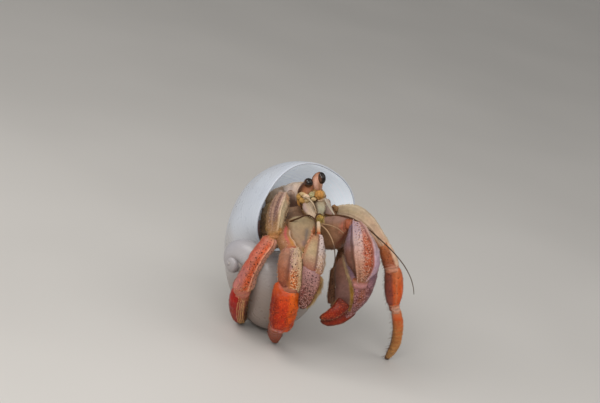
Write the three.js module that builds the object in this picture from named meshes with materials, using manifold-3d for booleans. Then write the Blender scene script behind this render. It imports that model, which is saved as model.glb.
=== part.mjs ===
// Caribbean land hermit crab (Coenobita clypeatus) standing in a moon-snail shell, life size, in millimetres.
//
// Everything is laid out in a construction frame that is square to the shell: x runs from the crab's right to its
// left across the shell, y runs up across the opening, z comes out of the opening. STANCE then turns the whole
// animal onto its walking legs, so that +Z is up, the crab looks towards -Y and the tips of three legs and the
// belly of the shell share one level.
import * as THREE from "three";
import { mergeVertices } from "three/addons/utils/BufferGeometryUtils.js";
import Module from "manifold-3d";

const wasm = await Module();
wasm.setup();

// ---------- driving dimensions (mm, degrees) ----------
const GAP = 0.3; // clearance kept between neighbouring pieces
const STANCE = { pitch: 18, roll: 14.4 }; // how the construction frame leans when the crab stands
const FLAT = 0.12; // depth that the tips and the belly of the shell are worn flat
const SHELL = {
  growth: [1, 0.759, 0.23], // size of the whorl at the lip, half a turn back and a whole turn back
  earlier: 0.5, // and from there on, for each half turn
  radius: 6.71, // from the coiling axis to the middle of the opening
  drop: 14.02, // from the apex down the axis to the middle of the opening
  halfWidth: 9.08, // half width of the opening's section, across the axis
  halfHeight: 9.59, // half height of the opening's section, along the axis
  tilt: -27.5, // turn of that section in its own plane
  square: 2.34, // roundness of the section: 2 is an ellipse
  lipTurn: 15.2, // where the growth stops, in degrees round the axis
  wall: 0.95, // thickness of the wall
  lip: 0.55, // thickness at the lip
  column: { radius: 0.75, ease: 0.9 }, // radius that the whorls keep clear round the axis, and how softly
  navel: { reach: 3.6, depth: 0.9 }, // the base curves in towards the axis: how far from it, and how steeply
  spire: { lift: 1.4, from: 0.35, to: 1, sink: 0.8, sinkFrom: 0.95, sinkTo: 1.5 }, // the first whorls stand a little proud, and the very first ones sink back: heights, and turns back
  pole: [-11.316, -9.795, 7.0], // where the whorls start
  axis: [-0.8305, -0.0407, 0.5555], // towards the apex
  // spindle that the whorls turn round: radius and distance down the axis
  spindle: [[0, 0.35], [0.7, 0.1], [1.05, -0.6], [1.7, -1.6], [2.3, -3.2], [2.5, -4.6], [2.0, -6.4], [1.3, -9], [1.3, -15.2], [0.95, -16.6], [0, -17.2]],
};

// The soft abdomen, in the hollow: degrees back from the lip, and how much of the whorl it fills at each end.
const ABDOMEN = { from: -160, to: -62, steps: 6, sides: 12, fill: [0.3, 0.5] };

// Each piece of the crab is a loft along its spine. girth rows are [place along the spine, half width, half depth],
// back is the direction that the depth is measured in, rank says which piece gives way where two meet.
const SEGMENTS = [
  { name: "thorax", rank: 9, spine: [[-1.37, -2.14, -6.5], [0, -2.61, -2], [1.97, -3.37, 3.4]], girth: [[0, 3, 2.6], [0.5, 3.6, 3.2], [1, 3, 2.2]], back: [0, 1, 0], rings: 5, sides: 10, square: 2.3, finish: "mauve" },
  { name: "shield", rank: 8, spine: [[-3.55, 0.76, -3.2], [-1.32, 1.57, 1.8], [0.81, 1.87, 6.2]], girth: [[0, 2.4, 1.3], [0.5, 2.9, 1.7], [0.85, 2.3, 1.5], [1, 1.6, 1.1]], back: [0, 1, 0], rings: 6, sides: 10, square: 2.3, finish: "tan" },
  { name: "eyestalk_r", rank: 2, spine: [[0.16, 1.7, 6.8], [1.13, 2.65, 8.4]], girth: [[0, 0.62, 0.62], [1, 0.72, 0.72]], back: [0, 0, 1], rings: 3, sides: 8, square: 2.3, finish: "brown" },
  { name: "eye_r", rank: 1, spine: [[0.97, 2.41, 8.2], [1.44, 3.04, 9.3]], girth: [[0, 0.75, 0.75], [0.5, 0.9, 0.9], [1, 0.35, 0.35]], back: [0, 0, 1], rings: 5, sides: 8, square: 2.3, finish: "eye" },
  { name: "eyestalk_l", rank: 2, spine: [[2.51, 1.7, 6.9], [2.65, 3.14, 8.3], [3.05, 4.49, 9]], girth: [[0, 0.55, 0.6], [0.55, 0.9, 0.8], [0.9, 0.72, 0.7], [1, 0.45, 0.45]], back: [0, 0, 1], rings: 5, sides: 8, square: 2.3, finish: "brown" },
  { name: "eye_l", rank: 1, spine: [[3.32, 2.82, 7.8], [3.67, 3.78, 8.3], [3.63, 4.66, 8.5]], girth: [[0, 0.4, 0.4], [0.5, 0.72, 0.75], [1, 0.35, 0.35]], back: [0, 0, 1], rings: 5, sides: 8, square: 2.3, finish: "eye" },
  { name: "antennule_base_r", rank: 3, spine: [[0.81, 1.86, 6.6], [0.64, 0.72, 8.4], [1.12, -0.4, 9.6]], girth: [[0, 0.7, 0.7], [0.5, 0.95, 0.9], [1, 0.6, 0.6]], back: [0, 0, 1], rings: 5, sides: 8, square: 2.3, finish: "gold" },
  { name: "antennule_base_l", rank: 3, spine: [[3.24, 2.03, 6.4], [3.22, 0.88, 8.2], [3.84, 0.08, 9.2]], girth: [[0, 0.6, 0.6], [0.5, 0.75, 0.75], [1, 0.5, 0.5]], back: [0, 0, 1], rings: 5, sides: 8, square: 2.3, finish: "gold" },
  { name: "antennule_r", rank: 2, spine: [[1.12, -0.24, 9.5], [1.9, -0.55, 11.5], [2.53, -1.82, 12.3]], girth: [[0, 0.33, 0.33], [1, 0.27, 0.27]], back: [0, 0, 1], rings: 6, sides: 6, square: 2.3, finish: "cream" },
  { name: "antenna_r", rank: 1, spine: [[0.16, 0.4, 7.2], [1.43, -2.3, 11.2], [2.44, -3.23, 13], [2.49, -5.06, 15.6]], girth: [[0, 0.5, 0.5], [0.3, 0.4, 0.4], [1, 0.26, 0.26]], back: [0, 0, 1], rings: 8, sides: 6, square: 2.3, finish: "feeler" },
  { name: "antennule_l", rank: 2, spine: [[3.85, 0.24, 9], [4.46, -0.72, 10.5], [5.25, -1.83, 10.8]], girth: [[0, 0.33, 0.33], [1, 0.27, 0.27]], back: [0, 0, 1], rings: 6, sides: 6, square: 2.3, finish: "cream" },
  { name: "antenna_l", rank: 1, spine: [[4.02, -2.01, 8.2], [4.95, -2.16, 9.8], [7.11, -2.29, 12.3], [10.68, -4.16, 13.6], [14.11, -7.29, 14], [17.14, -11.4, 13.4], [17.97, -14.74, 12.8]], girth: [[0, 0.6, 0.6], [0.1, 0.4, 0.4], [1, 0.26, 0.26]], back: [0, 0, 1], rings: 14, sides: 6, square: 2.3, finish: "feeler" },
  { name: "maxilliped_r", rank: 6, spine: [[1.22, 0, 6.2], [1.52, -1.36, 8.8], [2.23, -2.79, 10.2]], girth: [[0, 0.95, 0.9], [0.5, 0.9, 0.85], [1, 0.35, 0.35]], back: [0, 0, 1], rings: 5, sides: 8, square: 2.3, finish: "cream" },
  { name: "maxilliped_l", rank: 6, spine: [[3.42, 0.24, 5.2], [3.22, -1.37, 8], [3.19, -3.27, 10]], girth: [[0, 1, 0.9], [0.5, 0.95, 0.9], [1, 0.5, 0.5]], back: [0, 0, 1], rings: 4, sides: 8, square: 2.3, finish: "cream" },
  { name: "p3_r_merus", rank: 6, spine: [[0, -3.43, -1], [-1.49, -0.58, 2], [-2.46, 1.23, 4.2]], girth: [[0, 1.2, 1.2], [0.5, 1.35, 1.3], [1, 1, 1]], back: [0, 0, 1], rings: 4, sides: 8, square: 2.3, finish: "mauve" },
  { name: "p3_r_carpus", rank: 3, spine: [[-2.68, 1.55, 5.6], [-3.68, -1.52, 9.2], [-4.35, -5.29, 12.2]], girth: [[0, 0.7, 0.8], [0.15, 1.15, 1.1], [0.45, 1.65, 1.35], [0.8, 1.62, 1.35], [1, 1.35, 1.15]], back: [0, 0, 1], rings: 7, sides: 9, square: 2.3, finish: "tan" },
  { name: "p3_r_propodus", rank: 2, spine: [[-4.74, -5.61, 12.2], [-6.82, -9.44, 11.4], [-9.21, -13.85, 9.2]], girth: [[0, 1.1, 1.05], [0.15, 1.22, 1.15], [0.6, 1.3, 1.2], [0.9, 1.5, 1.3], [1, 1.25, 1.1]], back: [0, 0, 1], rings: 7, sides: 9, square: 2.3, finish: "orange" },
  { name: "p3_r_dactyl", rank: 1, spine: [[-9.46, -14.03, 9], [-9.93, -16.35, 5.6], [-10.18, -18.8, 1.5], [-10.08, -20.08, -1.9]], girth: [[0, 1.3, 1.15], [0.2, 1.5, 1.3], [0.6, 1.35, 1.2], [0.85, 0.8, 0.8], [1, 0.3, 0.3]], back: [0, -0.3, 1], rings: 8, sides: 9, square: 2.3, finish: "red" },
  { name: "p2_r_merus", rank: 5, spine: [[0.33, -3.35, 4.8], [-0.8, -5.18, 10.2], [-1.73, -7.01, 12.9]], girth: [[0, 1.3, 1.2], [0.6, 1.5, 1.3], [1, 1.25, 1.1]], back: [0, 0, 1], rings: 4, sides: 8, square: 2.3, finish: "cream" },
  { name: "p2_r_carpus", rank: 3, spine: [[-1.89, -7.47, 13.2], [-1.57, -10.11, 14], [-1.65, -13.4, 14.1]], girth: [[0, 0.9, 0.9], [0.2, 1.7, 1.3], [0.5, 2.15, 1.5], [0.85, 2, 1.45], [1, 1.7, 1.2]], back: [0, 0, 1], rings: 7, sides: 9, square: 2.3, finish: "tan" },
  { name: "p2_r_propodus", rank: 2, spine: [[-2.04, -13.64, 14], [-2.44, -16.62, 13], [-3.34, -19.78, 11]], girth: [[0, 1.45, 1.1], [0.15, 2.05, 1.35], [0.6, 2.2, 1.4], [0.9, 1.75, 1.2], [1, 1.4, 1]], back: [0, 0, 1], rings: 7, sides: 9, square: 2.3, finish: "red" },
  { name: "p2_r_dactyl", rank: 1, spine: [[-3.5, -19.9, 10.6], [-3.88, -21.53, 6.8], [-4.05, -22.92, 2.2]], girth: [[0, 1.2, 1.1], [0.3, 1.35, 1.15], [0.7, 1.1, 1], [1, 0.35, 0.35]], back: [0, -0.3, 1], rings: 7, sides: 8, square: 2.3, finish: "brown" },
  { name: "claw_r_merus", rank: 5, spine: [[0.49, -3.16, 6.6], [0.63, -5.79, 11.4], [1.42, -8.74, 13]], girth: [[0, 1.9, 1.2], [0.35, 2.75, 1.35], [0.75, 2.5, 1.35], [1, 1.6, 1.1]], back: [0, 0, 1], rings: 6, sides: 10, square: 2.3, finish: "tan" },
  { name: "claw_r_carpus", rank: 3, spine: [[2.5, -5.4, 14.4], [2.18, -7.86, 15.6], [1.94, -10.65, 15.8]], girth: [[0, 1, 0.8], [0.3, 1.6, 1.2], [0.7, 1.85, 1.3], [1, 1.5, 1.1]], back: [0, 0, 1], rings: 6, sides: 10, square: 2.3, finish: "cream" },
  { name: "claw_r_palm", rank: 2, spine: [[2.1, -10.5, 15.7], [1.87, -12.37, 15.6], [0.7, -15.4, 14.6], [0.24, -16.7, 14]], girth: [[0, 1.35, 1.1], [0.25, 1.75, 1.4], [0.55, 1.75, 1.3], [0.85, 1.2, 0.9], [1, 0.4, 0.4]], back: [0, 0, 1], rings: 7, sides: 10, square: 2.3, finish: "purple" },
  { name: "claw_r_dactyl", rank: 1, spine: [[2.85, -13.31, 15.6], [2.26, -15.07, 14.9], [1.1, -16.76, 14.2]], girth: [[0, 0.7, 0.85], [0.4, 0.75, 0.8], [1, 0.3, 0.3]], back: [0, 0, 1], rings: 5, sides: 7, square: 2.3, finish: "purple" },
  { name: "claw_l_merus", rank: 5, spine: [[3.89, -5.59, 6.6], [5.76, -4.88, 9.6], [7.92, -4.2, 11.8]], girth: [[0, 1.8, 1.6], [0.4, 2.6, 2], [0.85, 2, 1.7], [1, 1.2, 1.2]], back: [0, 0, 1], rings: 6, sides: 10, square: 2.3, finish: "mauve" },
  { name: "claw_l_carpus", rank: 2, spine: [[8.61, -3, 12.4], [9.38, -6.02, 14.6], [9.88, -9.42, 15.6], [9.39, -12.91, 14.4]], girth: [[0, 0.6, 0.7], [0.14, 1.25, 1.2], [0.32, 2.15, 1.55], [0.58, 2.75, 1.85], [0.82, 2.45, 1.75], [1, 1.3, 1.1]], back: [0, 0, 1], rings: 9, sides: 11, square: 2.3, finish: "orange" },
  { name: "claw_l_palm", rank: 3, spine: [[9.88, -9.64, 10.4], [8.7, -13.05, 12], [7.67, -16.04, 12.2], [6.57, -17.96, 12]], girth: [[0, 2.2, 1.8], [0.25, 3.15, 2.2], [0.55, 3.1, 2.2], [0.85, 2.2, 1.8], [1, 1, 1]], back: [0, 0, 1], rings: 8, sides: 12, square: 2.3, finish: "purple" },
  { name: "claw_l_finger", rank: 2, spine: [[8.24, -17.83, 11.6], [6.02, -19, 11.8], [3.63, -18.95, 12.4]], girth: [[0, 1.2, 1.2], [0.5, 0.95, 1], [1, 0.4, 0.4]], back: [0, 0, 1], rings: 6, sides: 8, square: 2.3, grownOn: "claw_l_palm" },
  { name: "claw_l_dactyl", rank: 1, spine: [[7.5, -15.86, 14.8], [5.79, -17.51, 14.6], [3.3, -18.28, 13.8]], girth: [[0, 1.3, 1.1], [0.5, 1.05, 1], [0.85, 0.75, 0.7], [1, 0.4, 0.4]], back: [0, 0, 1], rings: 6, sides: 8, square: 2.3, finish: "red" },
  { name: "p2_l_merus", rank: 7, spine: [[5.2, -4.04, 2.4], [6.37, -5.88, 4.8], [7.23, -7.54, 6.3]], girth: [[0, 1.15, 1.1], [0.5, 1.2, 1.1], [1, 1.05, 1]], back: [0, 0, 1], rings: 4, sides: 8, square: 2.3, finish: "brown" },
  { name: "p2_l_carpus", rank: 6, spine: [[7.26, -7.54, 6.4], [6.95, -9.14, 7], [6.22, -11.29, 7.7]], girth: [[0, 1.05, 1], [0.5, 1.2, 1.05], [1, 0.85, 0.85]], back: [0, 0, 1], rings: 5, sides: 8, square: 2.3, finish: "brown" },
  { name: "p2_l_propodus", rank: 6, spine: [[6.05, -11.27, 8.1], [5.44, -13.11, 8.3], [5.16, -16.21, 7.6]], girth: [[0, 0.85, 0.85], [0.5, 0.85, 0.85], [1, 0.7, 0.7]], back: [0, 0, 1], rings: 5, sides: 8, square: 2.3, finish: "brown" },
  { name: "p2_l_dactyl", rank: 5, spine: [[5.26, -16.14, 7.5], [6.03, -17.96, 5.4], [7.27, -19.63, 2.2]], girth: [[0, 0.65, 0.65], [0.5, 0.6, 0.6], [1, 0.25, 0.25]], back: [0, 0, 1], rings: 6, sides: 8, square: 2.3, finish: "brown" },
  { name: "p3_l_merus", rank: 4, spine: [[5.62, -2.73, 1.8], [7.83, -1.88, 5], [10.66, -2.99, 7.2], [12.74, -5.73, 7.6]], girth: [[0, 1.3, 1.2], [0.35, 1.5, 1.3], [0.75, 1.2, 1.2], [1, 0.95, 1]], back: [0, 0, 1], rings: 8, sides: 9, square: 2.3, finish: "tan" },
  { name: "p3_l_carpus", rank: 3, spine: [[12.82, -6.05, 7.6], [13.72, -8.48, 7.4], [14.48, -10.76, 6.9]], girth: [[0, 0.8, 0.9], [0.5, 0.95, 1], [0.85, 1.25, 1.1], [1, 1.05, 1]], back: [0, 0, 1], rings: 6, sides: 9, square: 2.3, finish: "orange" },
  { name: "p3_l_propodus", rank: 2, spine: [[14.65, -11.01, 6.8], [15.24, -14.1, 5.2], [15.52, -17.49, 3.4]], girth: [[0, 1.1, 1], [0.3, 1.6, 1.25], [0.7, 1.55, 1.2], [1, 1, 0.95]], back: [0, 0, 1], rings: 7, sides: 9, square: 2.3, finish: "orange" },
  { name: "p3_l_dactyl", rank: 1, spine: [[15.7, -17.84, 3.2], [16.15, -20.63, 1.4], [16.03, -23.62, -0.4], [14.45, -26.63, -1.9]], girth: [[0, 0.85, 0.85], [0.3, 1, 0.9], [0.65, 0.88, 0.8], [0.88, 0.45, 0.5], [1, 0.2, 0.25]], back: [0, 0, 1], rings: 9, sides: 8, square: 2.3, finish: "orange" },
  { name: "p4_r", rank: 8, spine: [[-0.34, -4.97, -2.5], [-2.67, -3.76, -0.5], [-4.12, -4.2, 2.6]], girth: [[0, 0.7, 0.7], [0.6, 0.85, 0.8], [1, 0.4, 0.4]], back: [0, 0, 1], rings: 5, sides: 7, square: 2.3, finish: "cream" },
  { name: "p4_l", rank: 8, spine: [[4.39, -3.8, -3], [6.54, -3.61, -1.6], [8.16, -2.91, 0.2]], girth: [[0, 0.7, 0.7], [0.6, 0.85, 0.8], [1, 0.4, 0.4]], back: [0, 0, 1], rings: 5, sides: 7, square: 2.3, finish: "cream" },
];

const FINISH = {
  shell: { color: 0xdfe6f2, roughness: 0.35 },
  tan: { color: 0xb99d7c, roughness: 0.45 },
  mauve: { color: 0x9a7f8c, roughness: 0.45 },
  orange: { color: 0xe4703a, roughness: 0.4 },
  red: { color: 0xd23a1c, roughness: 0.4 },
  purple: { color: 0x8e6c8c, roughness: 0.42 },
  brown: { color: 0x7a5a48, roughness: 0.5 },
  cream: { color: 0xe2cfa4, roughness: 0.45 },
  gold: { color: 0xc8a04e, roughness: 0.5 },
  eye: { color: 0x15110f, roughness: 0.08 },
  feeler: { color: 0x3a2a22, roughness: 0.4 },
};

// ---------- small helpers ----------
const V = (a) => new THREE.Vector3(...a);
const rad = THREE.MathUtils.degToRad;
const turnIn = (() => {
  const r = rad(STANCE.roll);
  const e = rad(STANCE.pitch);
  const [cr, sr, ce, se] = [Math.cos(r), Math.sin(r), Math.cos(e), Math.sin(e)];
  // columns: where construction x, y and z go in the standing frame
  return new THREE.Matrix4().makeBasis(
    V([cr, se * sr, ce * sr]),
    V([-sr, se * cr, ce * cr]),
    V([0, -ce, se]),
  );
})();

// A closed three.js geometry as a manifold-3d solid, and back.
function solid(geometry) {
  const g = geometry.index ? geometry.toNonIndexed() : geometry.clone();
  g.deleteAttribute("normal");
  g.deleteAttribute("uv");
  const m = mergeVertices(g, 1e-5);
  const made = new wasm.Manifold(
    new wasm.Mesh({ numProp: 3, vertProperties: m.attributes.position.array, triVerts: new Uint32Array(m.index.array) }),
  );
  return made.volume() > 0 ? made : solid(turnedInsideOut(m));
}
function turnedInsideOut(g) {
  const index = Array.from(g.index.array);
  for (let i = 0; i < index.length; i += 3) [index[i + 1], index[i + 2]] = [index[i + 2], index[i + 1]];
  return g.clone().setIndex(index);
}
function geometryOf(made) {
  const m = made.getMesh();
  const v = new Float32Array(m.numVert * 3);
  for (let i = 0; i < m.numVert; i++) v.set(m.vertProperties.subarray(i * m.numProp, i * m.numProp + 3), i * 3);
  return new THREE.BufferGeometry()
    .setAttribute("position", new THREE.BufferAttribute(v, 3))
    .setIndex(new THREE.BufferAttribute(new Uint32Array(m.triVerts), 1));
}
// Vertices closer than a micrometre become one, and the specks that the cuts leave are dropped.
function tidy(geometry) {
  const g = geometry.toNonIndexed();
  g.deleteAttribute("normal");
  const m = mergeVertices(g, 1e-3);
  const keep = [];
  for (let i = 0; i < m.index.count; i += 3) {
    const [a, b, c] = [m.index.getX(i), m.index.getX(i + 1), m.index.getX(i + 2)];
    if (a !== b && b !== c && c !== a) keep.push(a, b, c);
  }
  return geometryOf(biggest(new wasm.Manifold(new wasm.Mesh({ numProp: 3, vertProperties: m.attributes.position.array, triVerts: new Uint32Array(keep) }))));
}
const biggest = (made) => made.decompose().reduce((a, b) => (b.volume() > a.volume() ? b : a));

// Skin over a stack of closed rings with the same number of points, with a fan at each end.
function skin(rings) {
  const n = rings[0].length;
  const pos = [];
  const tri = [];
  rings.forEach((ring) => ring.forEach((p) => pos.push(p.x, p.y, p.z)));
  const at = (i, j) => i * n + (j % n);
  for (let i = 0; i + 1 < rings.length; i++)
    for (let j = 0; j < n; j++) tri.push(at(i, j), at(i, j + 1), at(i + 1, j + 1), at(i, j), at(i + 1, j + 1), at(i + 1, j));
  for (const [i, way] of [[0, 1], [rings.length - 1, 0]]) {
    const c = rings[i].reduce((s, p) => s.add(p), new THREE.Vector3()).divideScalar(n);
    const k = pos.length / 3;
    pos.push(c.x, c.y, c.z);
    for (let j = 0; j < n; j++) way ? tri.push(k, at(i, j + 1), at(i, j)) : tri.push(k, at(i, j), at(i, j + 1));
  }
  return new THREE.BufferGeometry().setAttribute("position", new THREE.Float32BufferAttribute(pos, 3)).setIndex(tri);
}
const power = (x, e) => Math.sign(x) * Math.pow(Math.abs(x), e);

// ---------- the limbs, head and body ----------
function lookUp(rows, t) {
  let i = 0;
  while (i < rows.length - 2 && t > rows[i + 1][0]) i++;
  const [a, b] = [rows[i], rows[i + 1]];
  let f = THREE.MathUtils.clamp((t - a[0]) / (b[0] - a[0]), 0, 1);
  f = f * f * (3 - 2 * f);
  return [a[1] + (b[1] - a[1]) * f, a[2] + (b[2] - a[2]) * f];
}
function loft(seg, grow = 0) {
  const spine = seg.spine.map(V);
  const along = (t) => {
    const n = spine.length - 1;
    const x = t * n;
    const i = Math.min(Math.floor(x), n - 1);
    const f = x - i;
    const p = (k) =>
      k < 0 ? spine[0].clone().multiplyScalar(2).sub(spine[1]) : k > n ? spine[n].clone().multiplyScalar(2).sub(spine[n - 1]) : spine[k].clone();
    const [p0, p1, p2, p3] = [p(i - 1), p(i), p(i + 1), p(i + 2)];
    const out = p1.clone().multiplyScalar(2);
    out.addScaledVector(p2.clone().sub(p0), f);
    out.addScaledVector(p0.clone().multiplyScalar(2).addScaledVector(p1, -5).addScaledVector(p2, 4).sub(p3), f * f);
    out.addScaledVector(p1.clone().multiplyScalar(3).sub(p0).addScaledVector(p2, -3).add(p3), f * f * f);
    return out.multiplyScalar(0.5);
  };
  const rings = [];
  const last = seg.rings - 1;
  for (let i = 0; i <= last; i++) {
    const t = i / last;
    const c = along(t);
    const tan = along(Math.min(1, t + 0.02)).sub(along(Math.max(0, t - 0.02))).normalize();
    if (grow && i === 0) c.addScaledVector(tan, -grow);
    if (grow && i === last) c.addScaledVector(tan, grow);
    const up = V(seg.back);
    up.addScaledVector(tan, -up.dot(tan)).normalize();
    const side = new THREE.Vector3().crossVectors(up, tan);
    const [a, b] = lookUp(seg.girth, t);
    const ring = [];
    for (let j = 0; j < seg.sides; j++) {
      const ph = (2 * Math.PI * j) / seg.sides;
      ring.push(
        c
          .clone()
          .addScaledVector(side, (a + grow) * power(Math.cos(ph), 2 / seg.square))
          .addScaledVector(up, (b + grow) * power(Math.sin(ph), 2 / seg.square)),
      );
    }
    rings.push(ring);
  }
  return solid(skin(rings));
}

// ---------- the shell ----------
const A = V(SHELL.axis).normalize();
const N = V([0.55, 0, 0.83]).addScaledVector(A, -V([0.55, 0, 0.83]).dot(A)).normalize();
const O = new THREE.Vector3().crossVectors(A, N);
const LIP = rad(SHELL.lipTurn);
// Size of the whorl at angle th, from the half-turn sizes, smoothly on a log scale.
const SIZES = [...SHELL.growth];
while (SIZES.length < 9) SIZES.push(SIZES[SIZES.length - 1] * SHELL.earlier);
function growth(th) {
  const L = SIZES.map(Math.log);
  const n = L.length;
  const x = THREE.MathUtils.clamp((LIP - th) / Math.PI, 0, n - 1.0001);
  const i = Math.floor(x);
  const f = x - i;
  const e = (k) => (k < 0 ? 2 * L[0] - L[1] : k >= n ? 2 * L[n - 1] - L[n - 2] : L[k]);
  const [p0, p1, p2, p3] = [e(i - 1), e(i), e(i + 1), e(i + 2)];
  return Math.exp(0.5 * (2 * p1 + (p2 - p0) * f + (2 * p0 - 5 * p1 + 4 * p2 - p3) * f * f + (3 * p1 - p0 - 3 * p2 + p3) * f * f * f));
}
// One section of the whorl, in the half plane at angle th round the axis; inset moves it inwards.
function whorlRing(th, inset, sides) {
  const g = growth(th);
  const [ct, st] = [Math.cos(rad(SHELL.tilt)), Math.sin(rad(SHELL.tilt))];
  const out = O.clone().multiplyScalar(Math.cos(th)).addScaledVector(N, Math.sin(th));
  const back = -th / (2 * Math.PI);
  const rise = SHELL.spire.lift * THREE.MathUtils.smoothstep(back, SHELL.spire.from, SHELL.spire.to);
  const lift = rise - SHELL.spire.sink * THREE.MathUtils.smoothstep(back, SHELL.spire.sinkFrom, SHELL.spire.sinkTo);
  const ring = [];
  for (let j = 0; j < sides; j++) {
    const ph = (2 * Math.PI * j) / sides;
    const x = power(Math.cos(ph), 2 / SHELL.square) * (SHELL.halfWidth * g - inset);
    const y = power(Math.sin(ph), 2 / SHELL.square) * (SHELL.halfHeight * g - inset);
    const wide = SHELL.radius * g + x * ct - y * st;
    // the inner side never crosses the axis: it eases round it at the column's radius
    const ease = (wide / g - SHELL.column.radius) / SHELL.column.ease;
    const from = g * (SHELL.column.radius + SHELL.column.ease * Math.log1p(Math.exp(ease))) + inset / (1 + Math.exp(ease));
    const near = y < 0 ? THREE.MathUtils.clamp(SHELL.navel.reach * g - wide, 0, SHELL.navel.reach * g) : 0;
    const down = lift - SHELL.drop * g + x * st + y * ct + (SHELL.navel.depth * near * near) / (SHELL.navel.reach * g);
    ring.push(V(SHELL.pole).addScaledVector(out, from).addScaledVector(A, down));
  }
  return ring;
}
// A length of whorl between two angles; inset is a number, or a function of the angle.
function whorl(from, to, steps, sides, inset) {
  const rings = [];
  for (let i = 0; i <= steps; i++) {
    const th = from + ((to - from) * i) / steps;
    rings.push(whorlRing(th, typeof inset === "function" ? inset(th) : inset, sides));
  }
  return solid(skin(rings));
}
const TURN = 2 * Math.PI;
function shell(grow = 0) {
  const wall = (th) => THREE.MathUtils.lerp(SHELL.wall, SHELL.lip, THREE.MathUtils.smoothstep(th, LIP - 0.5, LIP)) + grow;
  const sides = 18;
  const hollow = whorl(LIP - TURN / 2 + 0.12, LIP + 0.12, 12, sides, wall);
  let made = whorl(LIP - TURN / 2, LIP, 12, sides, -grow).subtract(hollow);
  made = made.add(whorl(LIP - TURN, LIP - TURN / 2, 11, sides, -grow));
  made = made.add(whorl(LIP - 1.5 * TURN, LIP - TURN, 8, sides, -grow));
  made = made.add(whorl(LIP - 2 * TURN, LIP - 1.5 * TURN, 7, 12, -grow));
  made = made.add(whorl(LIP - 2.4 * TURN, LIP - 2 * TURN, 4, 12, -grow));
  const spindle = new THREE.LatheGeometry(SHELL.spindle.map(([x, y]) => new THREE.Vector2(x, y)), 14);
  spindle.applyMatrix4(new THREE.Matrix4().makeBasis(O, A, new THREE.Vector3().crossVectors(O, A)).setPosition(V(SHELL.pole)));
  return made.add(solid(spindle));
}

// The soft abdomen follows the hollow of the whorl, well clear of its wall.
function abdomen(grow = 0) {
  const { from, to, steps, sides, fill } = ABDOMEN;
  const rings = [];
  for (let i = 0; i <= steps; i++) {
    const s = i / steps;
    const size = fill[0] + (fill[1] - fill[0]) * s;
    const ring = whorlRing(LIP + rad(from + (to - from) * s), 0, sides);
    const c = ring.reduce((q, p) => q.add(p), new THREE.Vector3()).divideScalar(sides);
    rings.push(ring.map((p) => c.clone().addScaledVector(p.clone().sub(c), size)));
  }
  return solid(skin(rings));
}

// ---------- assembly ----------
const pieces = [{ name: "shell", finish: "shell", made: biggest(shell()), clear: shell(GAP) }];
[...SEGMENTS.filter((s) => !s.grownOn), { name: "abdomen", rank: 20, finish: "mauve", make: abdomen }].sort((a, b) => a.rank - b.rank).forEach((seg) => {
  const whole = (grow) => SEGMENTS.filter((s) => s.grownOn === seg.name).reduce((m, s) => m.add(loft(s, grow)), seg.make ? seg.make(grow) : loft(seg, grow));
  let made = whole(0);
  for (const other of pieces) made = made.subtract(other.clear);
  pieces.push({ name: seg.name, finish: seg.finish, made: biggest(made), clear: whole(GAP) });
});

// Stand it up, wear the contact points flat, and bring the origin to the middle of the footprint.
const stood = pieces.map((p) => {
  const g = geometryOf(p.made);
  g.applyMatrix4(turnIn);
  g.computeBoundingBox();
  return { ...p, g };
});
const lowest = (name) => stood.find((p) => p.name === name).g.boundingBox.min.z;
const FEET = ["shell", "p3_r_dactyl", "p2_r_dactyl", "p3_l_dactyl"];
const level = Math.max(...FEET.map(lowest)) + FLAT;
const floorCut = new THREE.BoxGeometry(200, 200, 40);
floorCut.translate(0, 0, level - 20);
const box = new THREE.Box3();
for (const p of stood) {
  if (p.g.boundingBox.min.z < level) p.g = geometryOf(biggest(solid(p.g).subtract(solid(floorCut))));
  p.g.computeBoundingBox();
  box.union(p.g.boundingBox);
}
const crab = new THREE.Group();
crab.name = "hermit_crab";
for (const p of stood) {
  p.g.translate(-(box.min.x + box.max.x) / 2, -(box.min.y + box.max.y) / 2, -level);
  p.g = tidy(p.g);
  p.g.computeVertexNormals();
  const f = FINISH[p.finish];
  const mesh = new THREE.Mesh(p.g, new THREE.MeshStandardMaterial({ color: f.color, roughness: f.roughness, metalness: 0 }));
  mesh.name = p.name;
  crab.add(mesh);
}

export default crab;
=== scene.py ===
import math

import bpy
import numpy as np
from mathutils import Matrix, Vector, kdtree

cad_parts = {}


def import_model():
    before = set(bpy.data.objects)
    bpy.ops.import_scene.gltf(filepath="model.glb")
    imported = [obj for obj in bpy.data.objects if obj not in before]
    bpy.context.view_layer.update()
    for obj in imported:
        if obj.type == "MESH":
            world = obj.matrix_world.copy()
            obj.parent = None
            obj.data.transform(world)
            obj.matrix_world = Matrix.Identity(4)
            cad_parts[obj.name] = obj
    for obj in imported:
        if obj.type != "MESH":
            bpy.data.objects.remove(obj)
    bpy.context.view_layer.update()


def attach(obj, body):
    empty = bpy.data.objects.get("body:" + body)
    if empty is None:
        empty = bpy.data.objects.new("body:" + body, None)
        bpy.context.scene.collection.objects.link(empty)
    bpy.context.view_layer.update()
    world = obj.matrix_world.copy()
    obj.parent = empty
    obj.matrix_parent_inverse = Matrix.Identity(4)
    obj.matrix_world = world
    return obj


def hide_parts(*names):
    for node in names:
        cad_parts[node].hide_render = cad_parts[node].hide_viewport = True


# Caribbean land hermit crab in a moon-snail shell. Shapes are worked out in millimetres in the same construction
# frame as the CAD part (x to the crab's left, y up across the opening, z out of the opening) and then stood up.
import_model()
RNG = np.random.default_rng(7)

PITCH, ROLL = math.radians(18), math.radians(14.4)
_cr, _sr, _ce, _se = math.cos(ROLL), math.sin(ROLL), math.cos(PITCH), math.sin(PITCH)
TURN = np.array([[_cr, -_sr, 0.0], [_se * _sr, _se * _cr, -_ce], [_ce * _sr, _ce * _cr, _se]])
STAND = np.array([-5.6571, 4.4508, 21.5527])


def world(p):
    return (np.asarray(p, float) @ TURN.T + STAND) * 0.001


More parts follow.
